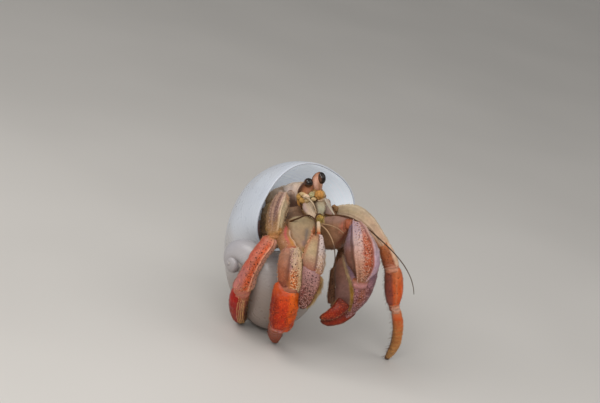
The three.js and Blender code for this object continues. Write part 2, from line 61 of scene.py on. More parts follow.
# ---------------------------------------------------------------- numbers shared with the CAD part (mm)
SEG = {
    'thorax': dict(spine=[(-1.37, -2.141, -6.5), (0.0, -2.605, -2.0), (1.971, -3.367, 3.4)], girth=[(0, 3.0, 2.6), (0.5, 3.6, 3.2), (1, 3.0, 2.2)], back=(0, 1, 0)),
    'shield': dict(spine=[(-3.547, 0.76, -3.2), (-1.323, 1.571, 1.8), (0.811, 1.866, 6.2)], girth=[(0, 2.4, 1.3), (0.5, 2.9, 1.7), (0.85, 2.3, 1.5), (1, 1.6, 1.1)], back=(0, 1, 0)),
    'eyestalk_r': dict(spine=[(0.162, 1.7, 6.8), (1.125, 2.652, 8.4)], girth=[(0, 0.62, 0.62), (1, 0.72, 0.72)], back=(0, 0, 1)),
    'eye_r': dict(spine=[(0.965, 2.413, 8.2), (1.441, 3.042, 9.3)], girth=[(0, 0.75, 0.75), (0.5, 0.9, 0.9), (1, 0.35, 0.35)], back=(0, 0, 1)),
    'eyestalk_l': dict(spine=[(2.508, 1.699, 6.9), (2.653, 3.136, 8.3), (3.046, 4.489, 9.0)], girth=[(0, 0.55, 0.6), (0.55, 0.9, 0.8), (0.9, 0.72, 0.7), (1, 0.45, 0.45)], back=(0, 0, 1)),
    'eye_l': dict(spine=[(3.32, 2.82, 7.8), (3.666, 3.779, 8.3), (3.631, 4.659, 8.5)], girth=[(0, 0.4, 0.4), (0.5, 0.72, 0.75), (1, 0.35, 0.35)], back=(0, 0, 1)),
    'antennule_base_r': dict(spine=[(0.81, 1.863, 6.6), (0.643, 0.723, 8.4), (1.119, -0.4, 9.6)], girth=[(0, 0.7, 0.7), (0.5, 0.95, 0.9), (1, 0.6, 0.6)], back=(0, 0, 1)),
    'antennule_base_l': dict(spine=[(3.243, 2.027, 6.4), (3.218, 0.885, 8.2), (3.844, 0.08, 9.2)], girth=[(0, 0.6, 0.6), (0.5, 0.75, 0.75), (1, 0.5, 0.5)], back=(0, 0, 1)),
    'antennule_r': dict(spine=[(1.12, -0.24, 9.5), (1.903, -0.555, 11.5), (2.528, -1.817, 12.3)], girth=[(0, 0.33, 0.33), (1, 0.27, 0.27)], back=(0, 0, 1)),
    'antenna_r': dict(spine=[(0.162, 0.404, 7.2), (1.429, -2.302, 11.2), (2.441, -3.229, 13.0), (2.49, -5.059, 15.6)], girth=[(0, 0.5, 0.5), (0.3, 0.4, 0.4), (1, 0.26, 0.26)], back=(0, 0, 1)),
    'antennule_l': dict(spine=[(3.848, 0.24, 9.0), (4.459, -0.717, 10.5), (5.248, -1.829, 10.8)], girth=[(0, 0.33, 0.33), (1, 0.27, 0.27)], back=(0, 0, 1)),
    'antenna_l': dict(spine=[(4.022, -2.011, 8.2), (4.952, -2.157, 9.8), (7.109, -2.291, 12.3), (10.681, -4.162, 13.6), (14.111, -7.29, 14.0), (17.136, -11.398, 13.4), (17.97, -14.739, 12.8)], girth=[(0, 0.6, 0.6), (0.1, 0.4, 0.4), (1, 0.26, 0.26)], back=(0, 0, 1)),
    'maxilliped_r': dict(spine=[(1.304, -0.244, 5.2), (1.287, -1.689, 8.2), (1.759, -2.958, 9.6)], girth=[(0, 1.0, 0.9), (0.5, 1.0, 0.9), (1, 0.55, 0.5)], back=(0, 0, 1)),
    'maxilliped_l': dict(spine=[(3.423, 0.244, 5.2), (3.22, -1.369, 8.0), (3.192, -3.272, 10.0)], girth=[(0, 1.0, 0.9), (0.5, 0.95, 0.9), (1, 0.5, 0.5)], back=(0, 0, 1)),
    'p3_r_merus': dict(spine=[(0.0, -3.431, -1.0), (-1.487, -0.578, 2.0), (-2.456, 1.228, 4.2)], girth=[(0, 1.2, 1.2), (0.5, 1.35, 1.3), (1, 1.0, 1.0)], back=(0, 0, 1)),
    'p3_r_carpus': dict(spine=[(-2.685, 1.546, 5.6), (-3.684, -1.522, 9.2), (-4.347, -5.295, 12.2)], girth=[(0, 0.7, 0.8), (0.15, 1.15, 1.1), (0.45, 1.65, 1.35), (0.8, 1.62, 1.35), (1, 1.35, 1.15)], back=(0, 0, 1)),
    'p3_r_propodus': dict(spine=[(-4.742, -5.611, 12.2), (-6.821, -9.438, 11.4), (-9.21, -13.855, 9.2)], girth=[(0, 1.1, 1.05), (0.15, 1.22, 1.15), (0.6, 1.3, 1.2), (0.9, 1.5, 1.3), (1, 1.25, 1.1)], back=(0, 0, 1)),
    'p3_r_dactyl': dict(spine=[(-9.459, -14.027, 9.0), (-9.926, -16.353, 5.6), (-10.185, -18.796, 1.5), (-10.08, -20.077, -1.9)], girth=[(0, 1.3, 1.15), (0.2, 1.5, 1.3), (0.6, 1.35, 1.2), (0.85, 0.8, 0.8), (1, 0.3, 0.3)], back=(0, -0.3, 1)),
    'p2_r_merus': dict(spine=[(0.327, -3.347, 4.8), (-0.797, -5.183, 10.2), (-1.733, -7.011, 12.9)], girth=[(0, 1.3, 1.2), (0.6, 1.5, 1.3), (1, 1.25, 1.1)], back=(0, 0, 1)),
    'p2_r_carpus': dict(spine=[(-1.888, -7.474, 13.2), (-1.568, -10.113, 14.0), (-1.645, -13.399, 14.1)], girth=[(0, 0.9, 0.9), (0.2, 1.7, 1.3), (0.5, 2.15, 1.5), (0.85, 2.0, 1.45), (1, 1.7, 1.2)], back=(0, 0, 1)),
    'p2_r_propodus': dict(spine=[(-2.038, -13.64, 14.0), (-2.441, -16.615, 13.0), (-3.337, -19.783, 11.0)], girth=[(0, 1.45, 1.1), (0.15, 2.05, 1.35), (0.6, 2.2, 1.4), (0.9, 1.75, 1.2), (1, 1.4, 1.0)], back=(0, 0, 1)),
    'p2_r_dactyl': dict(spine=[(-3.502, -19.898, 10.6), (-3.885, -21.528, 6.8), (-4.045, -22.918, 2.2)], girth=[(0, 1.2, 1.1), (0.3, 1.35, 1.15), (0.7, 1.1, 1.0), (1, 0.35, 0.35)], back=(0, -0.3, 1)),
    'claw_r_merus': dict(spine=[(0.486, -3.159, 6.6), (0.634, -5.79, 11.4), (1.417, -8.741, 13.0)], girth=[(0, 1.9, 1.2), (0.35, 2.75, 1.35), (0.75, 2.5, 1.35), (1, 1.6, 1.1)], back=(0, 0, 1)),
    'claw_r_carpus': dict(spine=[(2.504, -5.399, 14.4), (2.179, -7.861, 15.6), (1.944, -10.653, 15.8)], girth=[(0, 1.0, 0.8), (0.3, 1.6, 1.2), (0.7, 1.85, 1.3), (1, 1.5, 1.1)], back=(0, 0, 1)),
    'claw_r_palm': dict(spine=[(2.1, -10.502, 15.7), (1.868, -12.375, 15.6), (0.704, -15.402, 14.6), (0.235, -16.698, 14.0)], girth=[(0, 1.35, 1.1), (0.25, 1.75, 1.4), (0.55, 1.75, 1.3), (0.85, 1.2, 0.9), (1, 0.4, 0.4)], back=(0, 0, 1)),
    'claw_r_dactyl': dict(spine=[(2.848, -13.308, 15.6), (2.264, -15.068, 14.9), (1.097, -16.761, 14.2)], girth=[(0, 0.7, 0.85), (0.4, 0.75, 0.8), (1, 0.3, 0.3)], back=(0, 0, 1)),
    'claw_l_merus': dict(spine=[(3.888, -5.589, 6.6), (5.756, -4.877, 9.6), (7.917, -4.196, 11.8)], girth=[(0, 1.8, 1.6), (0.4, 2.6, 2.0), (0.85, 2.0, 1.7), (1, 1.2, 1.2)], back=(0, 0, 1)),
    'claw_l_carpus': dict(spine=[(8.756, -3.077, 12.6), (9.382, -5.864, 14.6), (9.651, -9.417, 15.6), (9.225, -12.743, 14.6)], girth=[(0, 0.7, 0.8), (0.15, 1.6, 1.3), (0.45, 2.75, 1.8), (0.75, 2.9, 1.9), (1, 1.7, 1.3)], back=(0, 0, 1)),
    'claw_l_palm': dict(spine=[(10.984, -9.631, 10.6), (9.949, -13.186, 12.4), (7.889, -16.172, 12.6), (6.322, -17.623, 12.2)], girth=[(0, 1.6, 1.6), (0.2, 2.5, 2.2), (0.5, 3.6, 2.4), (0.8, 2.6, 2.0), (1, 1.0, 1.0)], back=(0, 0, 1)),
    'claw_l_finger': dict(spine=[(8.241, -17.829, 11.6), (6.017, -19.0, 11.8), (3.632, -18.95, 12.4)], girth=[(0, 1.2, 1.2), (0.5, 0.95, 1), (1, 0.4, 0.4)], back=(0, 0, 1)),
    'claw_l_dactyl': dict(spine=[(7.499, -15.856, 14.8), (5.785, -17.512, 14.6), (3.295, -18.282, 13.8)], girth=[(0, 1.3, 1.1), (0.5, 1.05, 1.0), (0.85, 0.75, 0.7), (1, 0.4, 0.4)], back=(0, 0, 1)),
    'p2_l_merus': dict(spine=[(4.627, -4.379, 2.0), (5.86, -5.616, 5.5), (6.596, -7.159, 8.2)], girth=[(0, 1.3, 1.2), (0.5, 1.4, 1.3), (1, 1.1, 1.1)], back=(0, 0, 1)),
    'p2_l_carpus': dict(spine=[(6.584, -7.468, 8.6), (5.921, -9.362, 9.4), (5.116, -11.272, 9.6)], girth=[(0, 1.1, 1.1), (0.5, 1.4, 1.2), (1, 1.2, 1.1)], back=(0, 0, 1)),
    'p2_l_propodus': dict(spine=[(5.039, -11.597, 9.5), (4.805, -13.695, 9.2), (4.987, -16.007, 8.2)], girth=[(0, 1.0, 1.0), (0.5, 1.15, 1.05), (1, 0.9, 0.9)], back=(0, 0, 1)),
    'p2_l_dactyl': dict(spine=[(5.072, -16.182, 8.0), (5.858, -17.654, 5.6), (7.253, -18.873, 2.6)], girth=[(0, 0.95, 0.95), (0.5, 0.85, 0.85), (1, 0.3, 0.3)], back=(0, 0, 1)),
    'p3_l_merus': dict(spine=[(5.623, -2.729, 1.8), (7.831, -1.876, 5.0), (10.665, -2.989, 7.2), (12.743, -5.726, 7.6)], girth=[(0, 1.3, 1.2), (0.35, 1.5, 1.3), (0.75, 1.2, 1.2), (1, 0.95, 1.0)], back=(0, 0, 1)),
    'p3_l_carpus': dict(spine=[(12.824, -6.049, 7.6), (13.723, -8.476, 7.4), (14.481, -10.759, 6.9)], girth=[(0, 0.8, 0.9), (0.5, 0.95, 1.0), (0.85, 1.25, 1.1), (1, 1.05, 1.0)], back=(0, 0, 1)),
    'p3_l_propodus': dict(spine=[(14.649, -11.007, 6.8), (15.24, -14.099, 5.2), (15.523, -17.494, 3.4)], girth=[(0, 1.1, 1.0), (0.3, 1.45, 1.15), (0.7, 1.4, 1.1), (1, 0.95, 0.95)], back=(0, 0, 1)),
    'p3_l_dactyl': dict(spine=[(15.701, -17.838, 3.2), (16.154, -20.627, 1.4), (16.027, -23.623, -0.4), (14.449, -26.629, -1.9)], girth=[(0, 0.85, 0.85), (0.3, 1.0, 0.9), (0.65, 0.8, 0.75), (0.9, 0.35, 0.4), (1, 0.2, 0.25)], back=(0, 0, 1)),
    'p4_r': dict(spine=[(-0.337, -4.969, -2.5), (-2.672, -3.758, -0.5), (-4.121, -4.203, 2.6)], girth=[(0, 0.7, 0.7), (0.6, 0.85, 0.8), (1, 0.4, 0.4)], back=(0, 0, 1)),
    'p4_l': dict(spine=[(4.388, -3.798, -3.0), (6.544, -3.608, -1.6), (8.16, -2.914, 0.2)], girth=[(0, 0.7, 0.7), (0.6, 0.85, 0.8), (1, 0.4, 0.4)], back=(0, 0, 1)),
}

# plates: how deep they are to the front and back against their half width, and their two edges (x, y, x, y) and level z
EDGE = {
    "p3_r_merus": (0.8, 0.8, [[-2.12, 1.71, -0.65, 1.79, 5.0], [-2.21, 0.57, 0.08, 0.57, 4.2], [-2.3, -0.74, 0.33, -1.07, 3.2], [-2.23, -2.07, 0.41, -2.23, 2.0], [-2.0, -3.41, 0.33, -3.74, 0.5]]),
    "p3_r_carpus": (0.95, 0.9, [[-2.76, 1.32, -2.18, 1.32, 6.0], [-3.56, 0.96, -1.91, 0.83, 6.7], [-4.36, 0.08, -1.84, -0.02, 7.6], [-4.91, -1.2, -2.05, -1.2, 8.8], [-5.21, -2.32, -2.43, -2.32, 9.9], [-5.27, -3.73, -2.7, -3.73, 11.2], [-5.19, -4.82, -2.94, -4.75, 12.0], [-4.9, -5.61, -3.32, -5.45, 12.3]]),
    "p3_r_propodus": (0.9, 0.9, [[-5.22, -5.06, -3.64, -5.53, 12.2], [-5.82, -5.69, -3.61, -6.48, 12.1], [-6.73, -6.81, -4.3, -7.76, 11.9], [-7.68, -8.16, -5.15, -8.79, 11.7], [-8.52, -9.52, -5.9, -10.0, 11.3], [-9.31, -10.9, -6.62, -11.22, 10.7], [-10.09, -12.29, -7.05, -12.5, 10.0], [-10.69, -13.45, -7.4, -13.62, 9.3], [-10.19, -14.36, -8.18, -14.44, 8.8]]),
    "p3_r_dactyl": (0.85, 0.85, [[-10.41, -13.37, -8.33, -13.53, 9.3], [-11.05, -14.38, -8.1, -14.46, 8.5], [-11.45, -15.61, -8.31, -15.69, 7.0], [-11.59, -16.97, -8.62, -17.06, 4.9], [-11.47, -18.21, -8.8, -18.21, 2.6], [-11.05, -19.31, -8.92, -19.19, 0.3], [-10.41, -20.13, -9.48, -20.03, -1.7]]),
    "p2_r_merus": (0.8, 0.8, [[-2.59, -3.32, -0.49, -3.96, 7.0], [-3.35, -4.39, -1.44, -4.7, 10.2], [-3.72, -5.77, -1.42, -5.7, 12.0], [-3.39, -7.17, -0.55, -6.93, 12.9], [-2.75, -8.26, -0.19, -7.79, 13.2], [-2.28, -8.81, -0.47, -8.34, 13.2]]),
    "p2_r_carpus": (0.72, 0.8, [[-2.28, -7.08, -0.87, -7.16, 13.2], [-2.86, -7.85, -0.03, -7.82, 13.6], [-3.26, -9.02, 0.44, -8.94, 14.0], [-3.48, -10.26, 0.53, -10.26, 14.2], [-3.48, -11.59, 0.5, -11.59, 14.3], [-3.26, -12.77, 0.34, -12.84, 14.2], [-2.82, -13.59, 0.0, -13.69, 14.0], [-2.28, -14.12, -0.63, -14.12, 13.8]]),
    "p2_r_propodus": (0.66, 0.72, [[-3.22, -12.39, -1.41, -13.02, 13.9], [-3.86, -13.01, -0.47, -13.95, 14.0], [-4.27, -14.35, -0.13, -14.98, 13.9], [-4.51, -15.87, -0.22, -16.19, 13.5], [-4.67, -17.34, -0.66, -17.58, 12.8], [-4.77, -18.48, -0.85, -18.56, 12.3], [-4.72, -19.44, -1.24, -19.63, 11.7], [-4.51, -20.09, -1.91, -20.35, 11.1]]),
    "p2_r_dactyl": (0.8, 0.85, [[-4.61, -18.83, -2.7, -19.31, 11.0], [-5.09, -19.92, -2.53, -20.32, 9.4], [-5.2, -20.99, -2.78, -21.23, 7.4], [-4.93, -22.14, -3.23, -22.24, 5.0], [-4.42, -23.03, -3.69, -23.03, 2.6]]),
    "claw_r_merus": (0.42, 0.55, [[-1.29, -2.89, 1.45, -2.73, 8.4], [-2.14, -3.52, 2.4, -3.36, 9.6], [-2.16, -4.46, 2.52, -4.46, 10.6], [-1.68, -5.55, 2.22, -5.39, 11.5], [-0.95, -6.64, 1.61, -6.4, 12.3], [-0.25, -7.52, 1.17, -7.3, 12.9], [0.22, -8.41, 0.94, -8.26, 13.3]]),
    "claw_r_carpus": (0.62, 0.62, [[2.54, -4.99, 3.19, -5.12, 14.3], [1.91, -5.58, 3.63, -6.02, 14.7], [1.22, -6.56, 3.82, -7.17, 15.2], [0.75, -7.7, 3.89, -8.41, 15.6], [0.47, -8.71, 3.86, -9.64, 15.8], [0.47, -9.49, 3.67, -10.65, 15.8], [1.09, -10.2, 3.24, -11.5, 15.6]]),
    "claw_r_palm": (0.66, 0.62, [[0.86, -9.5, 2.73, -10.91, 15.4], [0.44, -10.2, 3.25, -11.75, 15.6], [0.34, -11.45, 3.21, -12.69, 15.5], [0.23, -12.86, 2.81, -13.8, 15.2], [-0.03, -14.14, 2.23, -14.76, 14.8], [-0.28, -15.34, 1.72, -15.73, 14.4], [-0.31, -16.22, 1.02, -16.5, 14.1], [-0.06, -16.8, 0.41, -16.86, 13.9]]),
    "claw_r_dactyl": (0.7, 0.8, [[2.26, -12.47, 3.24, -12.32, 15.2], [1.93, -13.49, 3.06, -13.49, 15.2], [1.47, -14.66, 2.47, -14.72, 14.9], [0.78, -15.72, 1.75, -15.85, 14.5], [0.22, -16.63, 0.75, -16.78, 14.1]]),
    "claw_l_merus": (0.62, 0.7, [[3.39, -7.1, 3.55, -2.83, 7.4], [4.64, -7.68, 4.88, -2.38, 9.4], [5.89, -7.56, 6.29, -2.28, 10.6], [6.88, -6.58, 7.32, -2.43, 11.5], [7.53, -5.3, 8.0, -2.74, 12.1], [7.89, -4.42, 8.37, -3.24, 12.5]]),
    "claw_l_carpus": (0.58, 0.62, [[8.04, -2.92, 8.99, -3.08, 12.7], [7.66, -3.92, 10.04, -3.84, 13.8], [7.19, -5.24, 11.0, -5.08, 14.7], [6.8, -6.63, 11.79, -6.47, 15.2], [6.76, -8.02, 12.3, -7.94, 15.5], [7.1, -9.42, 12.39, -9.34, 15.6], [7.79, -10.68, 11.97, -10.68, 15.3], [8.5, -11.79, 11.15, -11.79, 14.8], [9.09, -12.67, 10.34, -12.67, 14.2]]),
    "claw_l_palm": (0.6, 0.62, [[6.21, -9.15, 10.19, -9.31, 10.6], [5.65, -10.39, 12.44, -10.39, 11.4], [5.51, -11.87, 12.19, -11.79, 11.9], [5.5, -13.36, 11.76, -13.36, 12.2], [5.53, -14.76, 11.18, -14.76, 12.4], [5.56, -16.04, 10.27, -16.04, 12.3], [5.69, -17.16, 9.14, -17.16, 12.1], [6.17, -18.09, 8.13, -18.18, 11.9], [6.73, -18.7, 7.52, -18.73, 11.8]]),
    "claw_l_finger": (0.75, 0.8, [[7.45, -16.24, 9.03, -17.67, 11.6], [6.57, -17.17, 7.68, -18.75, 11.9], [5.46, -17.87, 6.09, -19.5, 12.1], [4.34, -18.34, 4.66, -19.67, 12.3], [3.47, -18.55, 3.6, -19.38, 12.4], [3.16, -18.78, 3.19, -19.03, 12.4]]),
    "claw_l_dactyl": (0.75, 0.8, [[6.06, -15.02, 7.86, -16.59, 13.3], [5.33, -15.98, 6.78, -17.58, 13.9], [4.61, -16.82, 5.52, -18.29, 14.1], [3.83, -17.46, 4.36, -18.59, 13.9], [3.24, -17.9, 3.43, -18.56, 13.5], [3.02, -18.17, 3.05, -18.42, 13.3]]),
    "p2_l_merus": (0.8, 0.8, [[4.45, -4.7, 6.1, -3.71, 2.6], [5.39, -6.45, 7.51, -5.47, 4.8], [6.17, -7.87, 8.44, -7.22, 6.2]]),
    "p2_l_carpus": (0.8, 0.8, [[6.33, -7.55, 8.28, -7.22, 6.2], [5.82, -9.14, 8.17, -8.98, 7.0], [5.39, -10.57, 7.5, -10.73, 7.6], [5.48, -11.52, 6.85, -11.68, 7.9]]),
    "p2_l_propodus": (0.85, 0.85, [[5.47, -10.39, 6.84, -10.79, 8.0], [4.89, -11.18, 6.44, -11.5, 8.2], [4.7, -12.78, 6.18, -12.95, 8.3], [4.51, -14.4, 5.96, -14.57, 8.1], [4.42, -15.72, 5.84, -15.88, 7.7], [4.75, -16.47, 5.65, -16.55, 7.4]]),
    "p2_l_dactyl": (0.85, 0.85, [[4.81, -15.9, 5.81, -16.06, 7.5], [4.99, -17.09, 6.19, -16.93, 6.6], [5.61, -18.17, 6.65, -17.91, 5.2], [6.47, -19.14, 7.13, -18.87, 3.4], [7.17, -19.67, 7.4, -19.53, 2.2]]),
    "p3_l_merus": (0.66, 0.72, [[5.93, -2.88, 5.7, -0.91, 2.6], [6.87, -3.11, 6.95, -0.54, 4.4], [8.14, -3.43, 8.4, -0.44, 5.6], [9.4, -4.1, 10.11, -1.02, 6.6], [10.5, -5.03, 11.47, -2.08, 7.2], [11.46, -6.05, 12.59, -3.5, 7.4], [12.39, -7.18, 13.56, -5.15, 7.5], [13.07, -7.99, 14.27, -6.54, 7.5], [13.5, -8.41, 14.3, -7.51, 7.4]]),
    "p3_l_carpus": (0.85, 0.85, [[12.99, -6.29, 13.96, -6.13, 7.5], [12.78, -7.18, 14.62, -7.1, 7.5], [12.92, -8.4, 15.25, -8.24, 7.3], [13.23, -9.62, 15.75, -9.38, 7.0], [13.6, -10.76, 16.02, -10.52, 6.8], [14.09, -11.58, 15.68, -11.42, 6.6]]),
    "p3_l_propodus": (0.8, 0.8, [[14.16, -10.2, 15.54, -10.05, 6.8], [13.76, -11.17, 16.29, -11.01, 6.7], [13.74, -12.73, 16.68, -12.57, 6.3], [13.82, -14.41, 16.77, -14.24, 5.5], [14.05, -15.85, 16.57, -15.7, 4.6], [14.53, -17.14, 16.2, -17.07, 3.8], [14.95, -17.99, 15.94, -17.99, 3.3]]),
    "p3_l_dactyl": (0.85, 0.85, [[15.26, -17.14, 16.14, -17.11, 3.7], [15.12, -18.26, 16.61, -18.14, 3.1], [15.3, -19.74, 16.98, -19.74, 2.1], [15.43, -21.33, 17.06, -21.49, 1.0], [15.31, -22.82, 16.86, -23.24, 0.1], [14.92, -24.33, 16.25, -24.83, -0.8], [14.42, -25.58, 15.3, -26.05, -1.5], [14.18, -26.39, 14.62, -26.6, -1.9]]),
    "skin_a1": (0.9, 0.8, [[-4.75, -4.35, -2.69, -4.19, 11.9], [-4.9, -5.06, -2.97, -5.2, 12.1], [-5.22, -5.77, -3.64, -6.25, 12.0]]),
    "skin_a2": (0.9, 0.8, [[-10.07, -13.11, -7.83, -13.27, 9.7], [-10.57, -13.93, -7.84, -14.14, 9.3], [-10.61, -14.63, -8.2, -14.79, 8.4]]),
    "skin_b0": (0.8, 0.8, [[-2.99, -7.32, -0.47, -7.08, 13.1], [-2.67, -7.94, -0.13, -7.81, 13.5], [-2.59, -8.56, -0.08, -8.4, 13.7]]),
    "skin_b1": (0.62, 0.7, [[-2.9, -12.68, -0.47, -13.47, 14.3], [-2.97, -13.45, -0.41, -14.0, 14.5], [-2.76, -14.18, -0.71, -14.5, 14.1]]),
    "skin_b2": (0.8, 0.8, [[-4.64, -19.13, -2.22, -19.45, 11.2], [-4.78, -19.92, -2.36, -20.15, 10.4], [-4.82, -20.8, -2.81, -20.96, 8.6]]),
    "skin_c1": (0.9, 0.85, [[14.49, -16.6, 16.19, -16.5, 4.4], [14.99, -17.56, 16.33, -17.46, 3.8], [15.22, -18.4, 16.47, -18.33, 3.2]]),
    "skin_c2": (0.9, 0.85, [[13.49, -9.95, 15.78, -9.78, 7.0], [13.69, -10.76, 16.02, -10.6, 6.9], [13.93, -11.58, 16.1, -11.42, 6.7]]),
    "skin_c3": (0.8, 0.8, [[12.65, -7.42, 13.65, -5.97, 7.5], [12.91, -7.75, 14.33, -6.78, 7.5], [13.04, -8.15, 14.69, -7.67, 7.4]]),
    "skin_f1": (0.8, 0.8, [[7.24, -4.82, 7.59, -2.61, 12.1], [7.82, -4.49, 8.1, -2.82, 12.8], [8.44, -4.41, 8.66, -3.13, 13.1]]),
    "skin_f2": (0.66, 0.7, [[8.3, -11.9, 10.89, -12.14, 14.2], [8.16, -12.78, 10.51, -13.1, 13.9], [8.34, -13.76, 9.91, -13.92, 13.3]]),
    "skin_e1": (0.66, 0.66, [[0.56, -8.95, 3.49, -10.97, 15.6], [0.56, -9.65, 3.21, -11.45, 15.5], [0.62, -10.21, 3.05, -11.85, 15.3]]),
    "link": (0.8, 0.8, [[2.64, -3.16, 3.12, -3.16, 13.2], [2.57, -3.92, 3.23, -3.92, 13.8], [2.65, -4.78, 3.21, -4.87, 14.3], [2.72, -5.46, 3.13, -5.46, 14.4]]),
    "flank_r": (0.5, 0.6, [[-5.7, -0.42, -4.02, -0.25, -1.2], [-6.26, -1.58, -3.99, -1.58, 0.4], [-6.54, -2.89, -3.97, -2.89, 2.0], [-6.6, -4.19, -3.94, -4.19, 3.4], [-6.54, -5.15, -4.09, -5.32, 4.4], [-6.04, -5.95, -4.4, -6.12, 5.0]]),
    "shield": (0.55, 0.95, [[-5.41, -1.1, -5.67, 1.1, -3.5], [-4.01, -0.75, -4.18, 1.99, -0.6], [-2.31, -0.58, -2.48, 2.69, 2.0], [-0.65, -0.25, -0.65, 3.13, 4.2], [0.65, 0.24, 0.57, 3.24, 5.4], [1.54, 0.73, 1.46, 2.52, 6.0]]),
    "thorax": (0.3, 0.5, [[-1.99, 0.25, 4.97, 0.25, 1.4], [-2.29, -1.88, 5.73, -1.88, 4.2], [-2.11, -3.66, 6.67, -3.66, 5.8], [-1.13, -5.58, 6.15, -6.23, 7.0], [0.16, -7.18, 4.52, -7.34, 7.6]]),
    "face": (0.34, 0.6, [[0.08, 2.2, 3.5, 2.2, 5.2], [-0.32, 1.22, 4.06, 1.22, 6.0], [-0.16, 0.24, 4.22, 0.24, 6.3], [0.16, -0.89, 4.3, -0.89, 6.4], [0.65, -2.02, 4.04, -2.02, 7.2], [1.29, -2.82, 3.54, -2.82, 8.2]]),
    "eyestalk_r": (0.75, 0.85, [[-0.39, 1.57, 0.81, 1.02, 6.4], [-0.29, 1.96, 1.78, 1.28, 7.1], [0.06, 2.5, 2.09, 1.85, 7.9], [0.51, 3.01, 2.15, 2.46, 8.4], [0.9, 3.39, 1.93, 3.1, 8.6]]),
    "eyestalk_l": (0.8, 0.85, [[2.27, 1.28, 3.34, 1.28, 6.7], [2.03, 2.15, 3.58, 2.28, 7.5], [1.8, 3.04, 3.7, 3.14, 8.1], [1.99, 3.87, 3.66, 3.94, 8.4], [2.41, 4.45, 3.53, 4.58, 8.5], [2.83, 4.77, 3.41, 4.79, 8.5]]),
    "maxilliped_r": (0.62, 0.7, [[0.58, 0.08, 1.54, 0.15, 7.2], [0.45, -0.56, 1.93, -0.48, 8.2], [0.51, -1.2, 2.24, -1.28, 9.0], [0.96, -1.84, 2.46, -1.92, 9.8], [1.51, -2.34, 2.55, -2.41, 10.3], [2.13, -2.85, 2.52, -2.85, 10.6]]),
    "maxilliped_l": (0.55, 0.7, [[2.17, 0.31, 3.88, 0.4, 6.8], [2.39, -0.31, 4.03, -0.31, 7.7], [2.6, -0.98, 4.05, -1.04, 8.4], [2.73, -1.68, 3.82, -1.75, 9.0], [2.82, -2.32, 3.58, -2.38, 9.4], [2.97, -2.96, 3.36, -2.96, 9.7]]),
    "cheek_l": (0.5, 0.7, [[3.88, 0.47, 4.49, 0.47, 5.4], [3.92, -0.49, 4.93, -0.44, 6.4], [3.85, -1.54, 5.24, -1.54, 7.2], [3.84, -2.58, 5.16, -2.58, 7.8]]),
}
TUBE = {
    "antennule_r": ([[0.88, 0.75, 9.3], [1.48, 0.33, 10.5], [2.03, -0.3, 11.2], [2.38, -1.09, 11.6], [2.58, -1.92, 11.8]], 0.17, 0.11),
    "antennule_r2": ([[1.22, 0.63, 9.0], [1.82, 0.14, 10.2], [2.26, -0.46, 11.0], [2.52, -1.13, 11.4]], 0.12, 0.06),
    "antennule_l": ([[3.95, 0.5, 8.4], [4.32, -0.3, 9.6], [4.86, -1.2, 10.2], [5.48, -2.12, 10.6]], 0.17, 0.11),
    "antennule_l2": ([[4.52, -0.37, 9.2], [5.01, -1.23, 9.9], [5.39, -1.87, 10.2]], 0.12, 0.06),
    "antenna_r": ([[-1.67, -3.21, 10.2], [-0.95, -2.91, 10.9], [-0.16, -2.62, 11.3], [0.63, -2.28, 11.6], [1.33, -2.2, 12.0], [1.99, -2.48, 12.7], [2.42, -3.0, 13.4], [2.5, -4.14, 14.6], [2.43, -5.31, 15.6]], 0.15, 0.09),
    "antenna_l": ([[4.02, -2.08, 8.2], [4.95, -2.25, 9.8], [6.03, -2.21, 11.2], [7.26, -2.38, 12.4], [8.34, -2.75, 13.2], [9.57, -3.47, 13.8], [10.97, -4.53, 14.0], [12.54, -5.94, 14.1], [14.11, -7.42, 14.0], [15.38, -8.8, 13.8], [16.5, -10.29, 13.5], [17.39, -11.96, 13.2], [17.83, -13.47, 13.0], [17.97, -14.68, 12.8]], 0.17, 0.06),
    "strand_a": ([[3.25, -3.55, 12.4], [4.09, -3.62, 13.2], [5.03, -3.85, 13.6], [5.96, -4.28, 13.8], [6.9, -5.01, 13.8]], 0.11, 0.07),
    "strand_b": ([[3.25, -3.71, 12.6], [4.08, -4.38, 13.6], [4.7, -5.31, 14.2], [5.16, -6.4, 14.6], [5.41, -7.58, 14.8], [5.47, -9.45, 14.8], [5.44, -11.49, 14.7], [5.54, -13.53, 14.6]], 0.12, 0.06),
    "loop": ([[2.39, -3.23, 13.2], [2.42, -2.56, 13.2], [2.71, -2.1, 12.9], [3.16, -1.96, 12.6], [3.6, -2.26, 12.2]], 0.15, 0.1),
}
BULBS = [
    ([-0.1, 0.79, 7.5], 0.48, 0.6, "gold"),
    ([0.55, 1.14, 8.0], 0.69, 0.37, "pale"),
    ([1.03, 0.72, 8.7], 0.55, 0.4, "cream"),
    ([0.42, 0.11, 8.0], 0.63, 0.47, "gold"),
    ([-0.18, -0.05, 7.2], 0.31, 0.58, "amber"),
    ([1.12, 0.14, 8.5], 0.39, 0.39, "pale"),
    ([1.9, 1.05, 8.1], 0.52, 0.56, "green"),
    ([2.22, 0.37, 8.5], 0.39, 0.27, "pale"),
    ([3.04, 1.05, 8.2], 0.76, 0.69, "amber"),
    ([3.7, 1.15, 7.5], 0.35, 0.56, "pale"),
    ([2.56, 0.26, 8.1], 0.32, 0.24, "dark"),
    ([3.32, 0.27, 8.1], 0.52, 0.26, "cream"),
    # a flat dark patch beneath the right eyestalk: painted shade
    ([1.23, 1.34, 7.7], 0.74, 0.21, "dark"),
    ([2.58, 1.79, 7.7], 0.58, 0.31, "gold"),
    ([1.68, 1.79, 7.8], 0.39, 0.24, "gold"),
    ([2.16, 1.5, 8.0], 0.31, 0.21, "pale"),
    ([0.26, -0.69, 7.5], 0.21, 0.55, "dark"),
    ([6.05, -1.36, 4.4], 0.52, 0.68, "brown"),
    ([5.6, -0.87, 4.2], 0.35, 0.32, "brown"),
]
